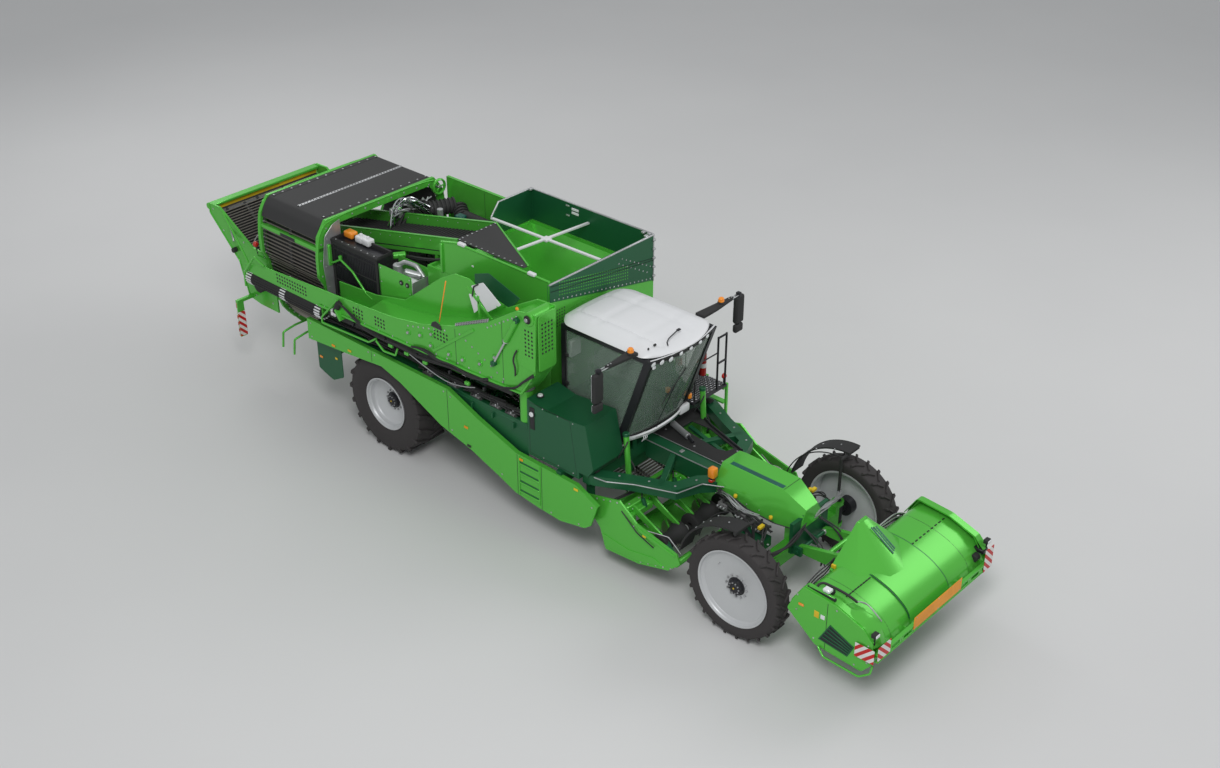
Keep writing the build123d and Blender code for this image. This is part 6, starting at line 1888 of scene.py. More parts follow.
# ---------------------------------------------------------------- discharge boom
BOOM_LOW, BOOM_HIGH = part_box("boom_frame")
BOOM_FACE = BOOM_LOW.x
BOOM_BACK = BOOM_HIGH.x
BOOM_SHEET = 0.025
# Top edges as (y, z) from the tail to the nose: low outer sheet, high inner sheet.
BOOM_OUTER_TOP = (
    (6.02, 2.52), (5.5, 2.63), (3.85, 2.745), (2.87, 2.8), (2.0, 2.87), (1.3, 2.99), (0.41, 3.27),
    (-0.32, 3.61), (-0.97, 4.04), (-1.375, 4.09),
)
BOOM_INNER_TOP = (
    (3.85, 2.745), (2.87, 2.82), (2.11, 2.99), (1.94, 3.12), (1.2, 3.7), (0.84, 3.9), (0.51, 3.92),
    (0.38, 3.86), (-0.34, 3.71), (-0.77, 3.96), (-1.0, 4.09), (-1.375, 4.12),
)


def boom_patch(kit, y, z, columns, rows):
    """Block of round holes on the boom's outer sheet, as black discs of painted shade."""
    start = (BOOM_FACE - 0.0006, y, z)
    kit.add(PLASTIC, dark_holes(rows, columns, start, (0, 0.072, 0), (0, 0, -0.068), radius=0.021))


def make_boom_shell(kit):
    """Outer and inner sheets, floor with its front wall, trough sheet, turret ring and roll ears."""
    nose = [(-1.32, 3.05), (-1.01, 2.6), (3.85, 2.39)]
    outer = [*nose, (6.02, 2.38), *BOOM_OUTER_TOP]
    kit.add(GREEN, plate(outer, "x", BOOM_FACE, BOOM_FACE + BOOM_SHEET, edge=0.003))
    inner = [*nose, *BOOM_INNER_TOP]
    kit.add(GREEN, plate(inner, "x", BOOM_BACK - BOOM_SHEET, BOOM_BACK, edge=0.003))
    left, right = BOOM_FACE + BOOM_SHEET, BOOM_BACK - BOOM_SHEET
    floor = [(3.85, 2.403), (-1.0, 2.613), (-1.306, 3.06), (-1.358, 4.08)]
    kit.add(GREEN, folded_sheet(floor, "x", left - 0.004, right + 0.004, BOOM_SHEET, 0.0))
    slope = [(2.7, 2.74), (2.0, 2.81), (1.3, 2.93), (0.41, 3.21), (-0.32, 3.55), (-0.92, 3.94), (-1.33, 3.98)]
    rows = [[(x, y, z + rise) for y, z in slope] for x, rise in ((left, 0.0), (right, 0.05))]
    kit.add(GREEN, skin(rows, 0.004, 0.0))
    kit.add(IRON, rod((-1.465, -0.9, 2.565), (-1.465, -0.9, 2.612), 0.14, 32))
    for y in (3.87, 5.98):
        kit.add(GREEN, block((BOOM_FACE, y, 2.23), (-1.515, y + 0.03, 2.46), 0.004))


def make_boom_sheets(kit):
    """Folded edges, hole patches in black painted shade, ribs, covers and screws of the boom."""
    for x, line in ((BOOM_FACE + 0.012, BOOM_OUTER_TOP), (BOOM_BACK - 0.012, BOOM_INNER_TOP)):
        kit.add(GREEN, tube([(x, y, z) for y, z in line], 0.014, 0.1, steps=3))
    for y, z, columns, rows in (
        (4.3, 2.62, 12, 3), (2.22, 2.72, 4, 3), (2.78, 2.7, 4, 3), (0.66, 3.02, 5, 3),
    ):
        boom_patch(kit, y, z, columns, rows)
    strip = [(0.45, 3.27), (-0.32, 3.62), (-0.34, 3.69), (0.44, 3.33)]
    kit.add(ZINC, plate(strip, "x", BOOM_FACE - 0.004, BOOM_FACE + 0.004))
    run = ((0, -0.0385, 0.0176), (0, 0, 0.03))
    # Black discs: painted shade in the holes of the zinc strip.
    kit.add(PLASTIC, dark_holes(2, 19, (BOOM_FACE - 0.0046, 0.4, 3.305), *run, radius=0.01))
    pillar = [(-1.02, 3.12), (-1.1, 3.92), (-1.36, 4.02), (-1.33, 3.1)]
    kit.add(GREEN, plate(pillar, "x", BOOM_FACE - 0.01, BOOM_FACE, corner=0.03))
    run = ((0, -0.07, 0), (0, 0, -0.07))
    # Black discs: painted shade in the holes of the pillar.
    kit.add(PLASTIC, dark_holes(7, 3, (BOOM_FACE - 0.0106, -1.14, 3.78), *run, radius=0.019))
    end = [(-1.66, 3.12), (-1.66, 4.08), (-1.4, 4.1), (-1.28, 4.1), (-1.28, 3.12)]
    kit.add(GREEN, plate(end, "y", -1.395, -1.381, corner=0.05))
    run = ((0.07, 0, 0), (0, 0, -0.07))
    # Black discs: painted shade in the holes of the end plate.
    kit.add(PLASTIC, dark_holes(8, 4, (-1.58, -1.3955, 3.92), *run, axis="y", radius=0.019))
    kit.add(GREEN, rod((BOOM_FACE - 0.03, -1.22, 4.0), (BOOM_BACK + 0.01, -1.22, 4.0), 0.115, 28, edge=0.01))
    kit.add(PLASTIC, rod((BOOM_FACE - 0.055, -1.22, 4.0), (BOOM_FACE - 0.03, -1.22, 4.0), 0.07, 24))
    kit.add(ZINC, rod((BOOM_FACE - 0.075, -1.22, 4.0), (BOOM_FACE - 0.055, -1.22, 4.0), 0.035, 16))
    lines = (
        ((3.8, 2.44), (1.3, 2.54)), ((1.2, 2.56), (-0.6, 2.66)), ((0.35, 3.16), (-0.62, 2.72)),
        ((1.6, 2.86), (0.7, 3.1)), ((-0.3, 3.52), (-0.95, 3.94)),
    )
    for (ya, za), (yb, zb) in lines:
        row = spread((BOOM_FACE, ya, za), (BOOM_FACE, yb, zb), 8)
        kit.add(ZINC, bolts(row, "x", 0.013))
    caps = (
        (1.6, 2.74), (1.3, 2.8), (1.05, 2.7), (0.3, 2.72), (-0.1, 2.8), (-0.45, 3.05), (1.02, 2.92),
        (0.62, 2.7),
    )
    for y, z in caps:
        kit.add(ZINC, rod((BOOM_FACE - 0.004, y, z), (BOOM_FACE - 0.034, y, z), 0.026, 14, edge=0.004))
        kit.add(GREEN, rod((BOOM_FACE, y, z), (BOOM_FACE - 0.006, y, z), 0.055, 18))
    for y, low_z, high_z in ((0.46, 2.56, 3.22), (2.87, 2.46, 2.78), (-0.62, 2.62, 3.76)):
        kit.add(BLACK_STEEL, block((BOOM_FACE - 0.0015, y - 0.004, low_z), (BOOM_FACE, y + 0.004, high_z), 0))
    kit.add(GREEN, bar((BOOM_FACE - 0.012, 1.0, 2.62), (BOOM_FACE - 0.012, 0.02, 3.36), 0.02, 0.05))
    lip = [(3.95, 2.42), (1.2, 2.51), (-0.7, 2.6), (-1.02, 2.62), (-1.3, 3.06)]
    kit.add(GREEN, tube([(BOOM_FACE - 0.01, y, z) for y, z in lip], 0.022, 0.1))


def make_boom_inside(kit):
    """White sheets, a dark green plate of painted shadow, brace, lamp and marker rod in the trough, belt
    cleats under the tail.
    """
    wall = BOOM_BACK - BOOM_SHEET
    white = [(0.28, 3.96), (0.0, 4.11), (-0.39, 3.85), (-0.08, 3.62)]
    kit.add(WHITE, plate(white, "x", -1.456, -1.444, corner=0.02))
    corner = [(0.34, 3.8), (0.12, 3.845), (0.109, 3.61), (0.231, 3.49)]
    kit.add(WHITE, plate(corner, "x", -1.456, -1.444, corner=0.015))
    for points in (((0.36, 3.92), (-0.18, 3.52)), ((0.1, 3.4), (0.12, 3.84))):
        start, end = (Vector((-1.46, y, z)) for y, z in points)
        kit.add(GREEN, bar(start, end, 0.02, 0.045))
    for y, z in ((0.2, 3.9), (-0.3, 3.8)):
        kit.add(GREEN, rod((-1.46, y, z), (wall, y, z - 0.06), 0.014, 10))
    kit.add(RUBBER, tube([(-1.47, 0.24, 3.8), (-1.47, 0.2, 3.98), (-1.46, 0.1, 4.05)], 0.012, 0.3))
    # Dark green plate on the far side of the inner sheet, showing above its top: a painted shadow in the gap
    # between the bunker's flap and the boom's edge.
    gap = [(0.41, 3.88), (0.41, 4.05), (0.08, 4.17), (-0.6, 3.96), (-0.4, 3.72), (-0.33, 3.7)]
    kit.add(DARK_GREEN, plate(gap, "x", BOOM_BACK + 0.001, BOOM_BACK + 0.01, corner=0.02))
    kit.add(
        AMBER_LENS, dome((wall, -0.56, 3.78), 0.035, 0.03, (-1, 0, 0), 12),
        rod((-1.66, 0.63, 4.0), (-1.66, 0.84, 3.2), 0.01, 8),
    )
    foot = [(1.02, 3.08), (0.76, 3.08), (0.8, 3.17), (0.9, 3.2), (0.98, 3.16)]
    kit.add(RUBBER, plate(foot, "x", BOOM_FACE - 0.02, BOOM_FACE, corner=0.01))
    cleat = block((BOOM_FACE + 0.04, -0.02, -0.006), (wall - 0.01, 0.02, 0.02), 0.004)
    places = [Vector((0, y, 2.33 - 0.012 * (y - 2.25))) for y in spread(3.95, 5.85, 13)]
    kit.add(RUBBER, copies(cleat, places))


def make_boom_rolls(kit):
    """Ribbed rubber end rolls with light ribbed rings; the axial ribs are a lighter black as a painted
    highlight.
    """
    low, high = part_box("boom_end_rolls")
    centre = Vector(((low.x + high.x) / 2 - 0.045, 0, (low.z + high.z) / 2))
    radius = (high.x - low.x) / 2 + 0.03
    kit.add(RUBBER, rod((centre.x, low.y, centre.z), (centre.x, high.y, centre.z), radius - 0.02, 28))
    # Axial ribs in the slightly lighter black plastic: a painted highlight along the rib tops.
    rib = bar((radius - 0.016, low.y + 0.14, 0), (radius - 0.016, high.y - 0.14, 0), 0.014, 0.03, 0.003)
    turns = [Matrix.Translation(centre) @ Matrix.Rotation(2 * pi * k / 18, 4, "Y") for k in range(18)]
    kit.add(PLASTIC, copies(rib, turns))
    for y in (low.y + 0.07, 4.94, high.y - 0.07):
        rib = bar((radius - 0.011, y - 0.075, 0), (radius - 0.011, y + 0.075, 0), 0.018, 0.026, 0.003)
        kit.add(WHITE, copies(rib, turns))


def make_boom_guards(kit):
    """Bent guard tubes, roll motor, cylinder and hoses on the outer side."""
    x = BOOM_FACE - 0.018
    for line in (
        [(5.38, 2.7), (5.66, 2.8), (6.02, 2.36), (6.02, 2.1)],
        [(3.36, 2.74), (3.84, 2.24), (3.84, 2.13), (2.6, 2.2), (2.4, 2.34)],
        [(2.4, 2.3), (2.22, 2.17), (1.92, 2.2), (1.86, 2.34)],
    ):
        kit.add(GREEN, tube([(x - 0.03, y, z) for y, z in line], 0.019, 0.28, steps=5, sides=4))
    kit.add(GREEN, bar((BOOM_FACE, 3.42, 2.54), (BOOM_FACE, 3.3, 2.36), 0.16, 0.05))
    kit.add(PLASTIC, rod((x, 3.48, 2.46), (x, 3.34, 2.7), 0.058, 20, edge=0.008))
    kit.add(WHITE, block((x - 0.05, 3.44, 2.38), (x + 0.03, 3.56, 2.5), 0.012))
    kit.add(ZINC, bolts([(x - 0.052, 3.47, 2.41), (x - 0.052, 3.53, 2.47)], "x", 0.01))
    start, middle, end = (Vector((x - 0.01, y, z)) for y, z in ((-0.98, 3.9), (-0.72, 3.44), (-0.44, 2.95)))
    kit.add(GREEN, rod(start, middle, 0.045, 20, edge=0.006))
    kit.add(CHROME, rod(middle, end, 0.022, 14))
    kit.add(ZINC, rod(middle + (middle - start) * 0.01, middle - (middle - start) * 0.04, 0.05, 20))
    for eye in (start, end):
        kit.add(DARK_GREEN, rod(eye - Vector((0.04, 0, 0)), eye + Vector((0.03, 0, 0)), 0.05, 20))
    line = [
        (3.4, 2.7), (3.16, 2.6), (2.73, 2.41), (2.3, 2.36), (1.84, 2.41), (1.3, 2.38), (0.86, 2.45),
        (0.04, 2.52), (-0.53, 2.55), (-0.9, 2.66), (-1.1, 2.89), (-1.32, 3.06),
    ]
    kit.add(RUBBER, hose_run([(x - 0.015, y, z) for y, z in line], 4, 0.018))
    line = [(1.5, 2.52), (1.2, 2.58), (0.9, 2.5), (0.5, 2.56), (0.1, 2.46), (-0.3, 2.6)]
    kit.add(RUBBER, hose_run([(x - 0.015, y, z) for y, z in line], 3, 0.022, 0.012))
    kit.add(
        ZINC,
        hose(
            [(x - 0.03, 1.55, 2.36), (x - 0.05, 0.95, 2.22), (x - 0.05, 0.4, 2.2), (x - 0.03, 0.0, 2.34)],
            0.009,
        ),
    )
    kit.add(
        RUBBER,
        hose([(x, -0.95, 3.36), (x - 0.02, -0.86, 3.2), (x - 0.02, -0.94, 3.04), (x, -0.9, 2.9)], 0.014),
    )
    for y in (3.0, 2.2, 1.4, 0.6, -0.2):
        kit.add(BLACK_STEEL, block((BOOM_FACE - 0.055, y - 0.02, 2.36), (BOOM_FACE, y + 0.02, 2.42), 0.005))
    for y in (2.05, 1.65, 1.2, 0.2):
        kit.add(GREEN, block((BOOM_FACE - 0.05, y - 0.05, 2.3), (BOOM_FACE, y + 0.05, 2.36), 0.008))


class OBJECT_OT_harvester_boom(bpy.types.Operator):
    """Model the boom's folded sheets, hole patches, guards, ribbed rolls, cylinder and hoses"""

    bl_idname = "object.harvester_boom"
    bl_label = "Discharge boom"

    def execute(self, context):
        makers = (make_boom_shell, make_boom_sheets, make_boom_inside, make_boom_guards)
        build("boom", "discharge_boom", makers, "boom_frame")
        build("boom_rolls", "discharge_boom", (make_boom_rolls,), "boom_end_rolls")
        return {"FINISHED"}


# ---------------------------------------------------------------- bunker and filling conveyor
BIN_LOW, BIN_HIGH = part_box("bunker")
CONVEYOR_LOW, CONVEYOR_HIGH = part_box("filling_conveyor")


CONVEYOR_FOOT_Y, CONVEYOR_FOOT_Z = 5.3, 2.82
CONVEYOR_RUN, CONVEYOR_RISE = 3.7, 0.851
BELT_LIFT = 0.14


def belt_z(y, above=0.0):
    """Top of the filling belt at y: it rises towards the front."""
    return CONVEYOR_FOOT_Z + (CONVEYOR_FOOT_Y - y) / CONVEYOR_RUN * CONVEYOR_RISE + BELT_LIFT + above


def make_flaps(kit):
    """Dark flaps with rolled rims around the bunker, screws, holes, lamps and cross bars."""
    x0, x1, y0, y1 = BIN_LOW.x, BIN_HIGH.x, BIN_LOW.y, BIN_HIGH.y
    top = 4.14
    front = [(x0, 3.84), (x0, top), (x1, top), (x1, 3.31)]
    kit.add(
        DARK_GREEN, plate(front, "y", y0 - 0.014, y0 - 0.002),
        plate([(x0, 3.56), (x0, top), (x1, top), (x1, 3.56)], "y", y0 + 0.024, y0 + 0.038),
    )
    kit.add(GREEN, plate([(x0, 3.56), (x0, 3.86), (1.0, 3.56)], "y", y0 - 0.001, y0 + 0.02))
    kit.add(DARK_GREEN, block((x1 - 0.016, y0, 3.56), (x1 - 0.002, y1, top), 0.004))
    rear = [(0.62, 3.56), (0.62, 3.92), (0.8, top), (x1, top), (x1, 3.56)]
    kit.add(DARK_GREEN, plate(rear, "y", y1 - 0.022, y1 - 0.008))
    side = [(1.58, 3.56), (1.58, 4.1), (1.22, 4.19), (y0, 4.19), (y0, 3.56)]
    kit.add(GREEN, plate(side, "x", x0 + 0.004, x0 + 0.02))
    rim = [(x0, y0, top), (x1, y0, top), (x1, y1, top), (0.8, y1, top), (0.62, y1, 3.92)]
    kit.add(ZINC, tube([(x, y, z) for x, y, z in rim], 0.017, 0.02))
    kit.add(
        GREEN, tube([(x0 + 0.012, y, z) for y, z in side[1:4]], 0.02, 0.1),
        block((x0 - 0.03, 1.54, 3.56), (x0 + 0.02, 1.59, 4.08), 0.006),
    )
    kit.add(ZINC, rod((x1 - 0.02, y0 - 0.01, 3.3), (x1 - 0.02, y0 - 0.01, top), 0.014, 10))
    for z in spread(3.4, 4.05, 5):
        kit.add(ZINC, rod((x1 - 0.05, y0 - 0.02, z), (x1 + 0.01, y0 - 0.02, z), 0.022, 10))
    for dx, dy in ((-0.06, 0.05), (-0.16, 0.03), (-0.08, 0.16)):
        kit.add(
            ZINC,
            block(
                (x1 + dx - 0.03, y0 + dy - 0.03, top), (x1 + dx + 0.03, y0 + dy + 0.03, top + 0.035), 0.006,
            ),
        )
    kit.add(ZINC, block((x1 - 0.09, y1 - 0.07, top - 0.01), (x1 - 0.02, y1 - 0.01, top + 0.03), 0.006))
    start, end = Vector((x0 + 0.1, y0 - 0.014, 3.855)), Vector((x1 - 0.1, y0 - 0.014, 3.37))
    kit.add(
        ZINC, bolts(spread(start, end, 24), "y", 0.011),
        bolts(spread((0.72, y0 - 0.014, 3.93), (1.42, y0 - 0.014, 3.52), 8), "y", 0.01),
        bolts(spread((0.8, y0 - 0.014, 3.99), (1.5, y0 - 0.014, 3.6), 8), "y", 0.01),
    )
    kit.add(
        GREEN,
        dark_holes(5, 30, (x0 + 0.22, y0 - 0.015, 3.9), (0.055, 0, -0.0108), (0, 0, 0.055), "y", 0.011),
    )
    # Black discs: painted shade in the holes of the low flap.
    kit.add(
        PLASTIC, dark_holes(6, 6, (x0 + 0.06, y0 - 0.0006, 3.36), (0.055, 0, 0), (0, 0, 0.055), "y", 0.014),
    )
    for lean in (0.0, 0.09):
        kit.add(
            BLACK_STEEL,
            bar(
                (x0 + 0.02, y0 - 0.016, top - 0.03 - lean), (x1, y0 - 0.016, 3.72 - lean * 0.4), 0.012,
                0.004, 0,
            ),
        )
    for z in (3.98, 4.05):
        kit.add(WHITE, block((x1 - 0.035, 0.8, z - 0.02), (x1 - 0.016, 0.96, z + 0.025), 0.006))
    for z in (3.9, 4.08):
        kit.add(ZINC, block((x1 - 0.028, 1.02, z - 0.015), (x1 - 0.016, 1.1, z + 0.015), 0.004))
    bars = (((x0, 0.85, 3.9), (x1, 0.58, 3.9)), ((0.62, y1, 3.9), (0.68, y0, 3.9)))
    for start, end in bars:
        kit.add(WHITE, bar(start, end, 0.055, 0.035, 0.006))
    kit.add(WHITE, block((0.58, 0.6, 3.875), (0.72, 0.74, 3.925), 0.01))
    for y in (1.08, -0.5):
        kit.add(WHITE, block((x0 - 0.03, y - 0.08, 4.185), (x0 + 0.04, y + 0.08, 4.24), 0.012))


def make_hopper(kit):
    """Sloped sheets and moving floor inside the bunker, seams and ribs outside."""
    x0, x1, y0, y1 = BIN_LOW.x + 0.04, BIN_HIGH.x - 0.04, BIN_LOW.y + 0.04, BIN_HIGH.y - 0.04
    floor = 2.75
    for wall_x, foot_x in ((x0, x0 + 0.55), (x1, x1 - 0.55)):
        kit.add(GREEN, skin([[(wall_x, y, 3.5), (foot_x, y, floor)] for y in (y0, y1)], 0.005, 0.0))
    for wall_y, foot_y in ((y0, y0 + 0.45), (y1, y1 - 0.45)):
        kit.add(GREEN, skin([[(x, wall_y, 3.5), (x, foot_y, floor)] for x in (x0, x1)], 0.005, 0.0))
    kit.add(GREEN, block((x0, y0, floor - 0.02), (x1, y1, floor), 0.003))
    for y in (-0.3, 0.55, 1.4):
        for x, out in ((BIN_HIGH.x, 1), (BIN_LOW.x, -1)):
            kit.add(GREEN, block((x, y - 0.03, 2.02), (x + out * 0.012, y + 0.03, 3.52), 0.006))
    for z in (2.04, 3.5):
        kit.add(ZINC, bolts([(BIN_HIGH.x + 0.001, y, z) for y in spread(-0.8, 1.88, 12)]))
    kit.add(BLACK_STEEL, block((0.36, BIN_LOW.y - 0.0015, 2.0), (0.368, BIN_LOW.y + 0.002, 3.5), 0))


def make_conveyor(kit):
    """Belt cleats, rolled wall edges, rollers and screws of the filling conveyor."""
    x0, x1 = CONVEYOR_LOW.x, CONVEYOR_HIGH.x
    tilt = atan2(CONVEYOR_RISE, CONVEYOR_RUN)
    cleat = block((x0 + 0.06, -0.01, 0.0), (x1 - 0.06, 0.01, 0.026), 0.004)
    kit.add(
        RUBBER,
        copies(
            cleat,
            [
                Matrix.Translation((0, y, belt_z(y))) @ Matrix.Rotation(-tilt, 4, "X")
                for y in spread(1.68, 5.24, 40)
            ],
        ),
    )
    for x in (x0 + 0.1, x1 - 0.1):
        kit.add(RUBBER, bar((x, 5.26, belt_z(5.26)), (x, 1.64, belt_z(1.64)), 0.05, 0.012))
    for x in (x0 + 0.012, x1 - 0.012):
        kit.add(GREEN, bar((x, 5.3, belt_z(5.3, 0.192)), (x, 1.6, belt_z(1.6, 0.192)), 0.05, 0.012))
        for y in spread(1.75, 5.15, 14):
            kit.add(ZINC, bolts([(x, y, belt_z(y, 0.12))], "x", 0.01, 0.017))
        kit.add(BLACK_STEEL, bar((x, 5.2, belt_z(5.2, -0.06)), (x, 1.64, belt_z(1.64, -0.06)), 0.028, 0.02))
    for y in (1.66, 5.24):
        kit.add(RUBBER, rod((x0 + 0.03, y, belt_z(y, -0.055)), (x1 - 0.03, y, belt_z(y, -0.055)), 0.058, 24))
        for x, out in ((x0, -1), (x1, 1)):
            kit.add(
                IRON,
                rod(
                    (x, y, belt_z(y, -0.055)), (x + out * 0.05, y, belt_z(y, -0.055)), 0.055, 18,
                    edge=0.006,
                ),
            )
            kit.add(
                GREEN,
                block((x, y - 0.09, belt_z(y, -0.15)), (x + out * 0.012, y + 0.09, belt_z(y, 0.04)), 0.004),
            )
    kit.add(
        IRON,
        rod((x0 - 0.05, 1.7, belt_z(1.7, -0.05)), (x0 - 0.2, 1.7, belt_z(1.7, -0.05)), 0.07, 20, edge=0.01),
    )
    kit.add(
        RUBBER,
        hose_run(
            [(x0 - 0.18, 1.76, 3.66), (x0 - 0.16, 2.1, 3.5), (x0 - 0.08, 3.0, 3.3), (x0 - 0.06, 4.2, 3.02)],
            3, 0.02,
        ),
    )


def make_guide_flap(kit):
    """Sagging rubber sheet from the conveyor's head into the bunker, with its clamping screws."""
    right, left = CONVEYOR_LOW.x, CONVEYOR_HIGH.x
    rows = []
    for j in range(13):
        t = j / 12
        y = 1.605 - 1.545 * t
        far = left + (right + 0.08 - left) * t
        sag = 0.05 * sin(pi * t)
        rows.append(
            [
                (right + (far - right) * i / 10, y, 4.004 - sag * sin(pi * i / 10) - 0.012 * t)
                for i in range(11)
            ],
        )
    kit.add(RUBBER, skin(rows, 0.008, 1.0))
    edge = [Vector((right + 0.02, y, 4.008)) for y in spread(1.56, 0.12, 12)]
    edge += [Vector((x, 1.575, 4.008)) for x in spread(right + 0.1, left - 0.05, 8)]
    kit.add(ZINC, bolts(edge, "z", 0.013))
    kit.add(GREEN, bar((left - 0.01, 1.59, 4.0), (right + 0.1, 0.05, 3.99), 0.03, 0.03))


class OBJECT_OT_harvester_bunker(bpy.types.Operator):
    """Model the bunker's flaps, hopper sheets, cross bars and the filling conveyor's fittings"""

    bl_idname = "object.harvester_bunker"
    bl_label = "Bunker and conveyor"

    def execute(self, context):
        build("bunker_flaps", "chassis", (make_flaps,), "bunker_extension")
        build("bunker_trim", "chassis", (make_hopper, make_conveyor))
        build("guide_flap", "chassis", (make_guide_flap,), "bunker_guide_flap")
        return {"FINISHED"}


# ---------------------------------------------------------------- engine deck
def ribbed_hose(start, end, radius, rings):
    """Corrugated air hose: thick and thin rings in turn."""
    start, end = Vector(start), Vector(end)
    step = (end - start) / (2 * rings)
    made = []
    for k in range(2 * rings):
        swell = radius if k % 2 else radius * 0.84
        made.append(rod(start + step * k, start + step * (k + 1), swell, 22, edge=0.004))
    return joined(made)


def make_radiator(kit):
    """Slats, screen frame, top tray with bottles, fan shroud and grab tube of the radiator."""
    low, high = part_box("radiator_unit")
    face = low.x
    slat = block((face - 0.01, -0.006, low.z + 0.06), (face, 0.006, high.z - 0.05), 0.002)
    kit.add(BLACK_STEEL, copies(slat, [Vector((0, y, 0)) for y in spread(low.y + 0.06, high.y - 0.06, 26)]))
    for z in spread(low.z + 0.15, high.z - 0.12, 5):
        kit.add(
            PLASTIC, block((face - 0.016, low.y + 0.03, z - 0.01), (face, high.y - 0.03, z + 0.01), 0.003),
        )
    outer = [(low.y, low.z + 0.02), (high.y, low.z + 0.02), (high.y, high.z), (low.y, high.z)]
    inner = [
        (low.y + 0.05, low.z + 0.07), (high.y - 0.05, low.z + 0.07), (high.y - 0.05, high.z - 0.05),
        (low.y + 0.05, high.z - 0.05),
    ]
    kit.add(
        PLASTIC, window_plate(outer, inner, "x", face - 0.022, face),
        block(
            (low.x - 0.03, low.y - 0.01, high.z - 0.01), (low.x + 0.06, high.y + 0.01, high.z + 0.05),
            0.012,
        ),
        block(
            (high.x - 0.02, low.y - 0.01, high.z - 0.01), (high.x + 0.02, high.y + 0.01, high.z + 0.08),
            0.006,
        ),
    )
    for y in (low.y, high.y - 0.02):
        kit.add(PLASTIC, block((low.x, y, high.z - 0.01), (high.x, y + 0.02, high.z + 0.06), 0.006))
    kit.add(
        ZINC,
        bolts(
            [(low.x + 0.015, y, high.z + 0.052) for y in spread(low.y + 0.1, high.y - 0.1, 7)], "z", 0.01,
        ),
    )
    kit.add(AMBER_LENS, block((-0.98, 3.78, 3.46), (-0.82, 4.0, 3.58), 0.03, 3))
    for y in (3.6, 3.42):
        kit.add(
            WHITE, block((-0.99, y - 0.09, 3.46), (-0.83, y + 0.09, 3.585), 0.03, 3),
            rod((-0.91, y, 3.58), (-0.91, y, 3.62), 0.03, 16),
        )
    guard = [
        (-1.265, 4.76, 2.78), (-1.265, 3.95, 3.09), (-1.265, 3.77, 3.2), (-1.265, 3.47, 3.07),
        (-1.265, 3.14, 2.76), (-1.265, 2.98, 2.7),
    ]
    kit.add(
        GREEN, tube(guard, 0.02, 0.2, steps=4, sides=4),
        rod((-1.265, 3.77, 3.19), (-1.265, 3.77, 3.27), 0.034, 14),
    )
    kit.add(PLASTIC, rod((high.x, 3.45, 2.75), (high.x + 0.06, 3.45, 2.75), 0.46, 36, edge=0.02))
    kit.add(IRON, rod((high.x + 0.06, 3.45, 2.75), (high.x + 0.16, 3.45, 2.75), 0.12, 20))
    kit.add(GREEN, rod((-0.8, 2.92, 3.38), (-0.62, 2.8, 3.38), 0.06, 18))


def make_cabinet(kit):
    """Tall side sheets, round caps, galvanised tray and latches of the service cabinet."""
    low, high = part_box("service_cabinet")
    top = 3.42
    kit.add(
        GREEN,
        plate([(low.y, low.z), (high.y, low.z), (high.y, top), (low.y, top)], "x", low.x - 0.01, low.x),
    )
    kit.add(ZINC, block((low.x, low.y - 0.008, high.z - 0.5), (high.x + 0.1, low.y, top - 0.1), 0.003))
    kit.add(GREEN, block((high.x - 0.01, low.y, high.z - 0.02), (high.x, high.y, top), 0.003))
    kit.add(ZINC, block((low.x, low.y, high.z), (high.x, high.y, 3.2), 0.01))
    for y in (2.25, 2.1):
        kit.add(PLASTIC, rod((low.x - 0.01, y, 3.25), (low.x - 0.026, y, 3.25), 0.045, 20, edge=0.004))
        kit.add(ZINC, rod((low.x - 0.026, y, 3.25), (low.x - 0.03, y, 3.25), 0.018, 12))
    kit.add(
        ZINC, rod((-0.96, 2.62, 3.2), (-0.96, 2.62, 3.38), 0.085, 22, edge=0.01),
        rod((-0.86, 2.15, 3.28), (-1.04, 2.35, 3.36), 0.06, 18),
        tube([(-0.96, 2.62, 3.36), (-0.9, 2.5, 3.44), (-0.84, 2.28, 3.42), (-0.84, 2.1, 3.26)], 0.04, 0.3),
    )
    kit.add(WHITE, block((-1.12, 2.08, 3.2), (-0.98, 2.3, 3.27), 0.02))
    kit.add(
        ZINC,
        bolts([(low.x - 0.01, y, z) for y in (2.05, 2.77) for z in (2.1, 2.6, 3.1, 3.36)], "x", 0.011),
    )
    for y in (low.y + 0.02, high.y - 0.02):
        kit.add(
            BLACK_STEEL,
            block((low.x - 0.0125, y - 0.003, low.z + 0.03), (low.x - 0.0095, y + 0.003, top - 0.02), 0),
        )


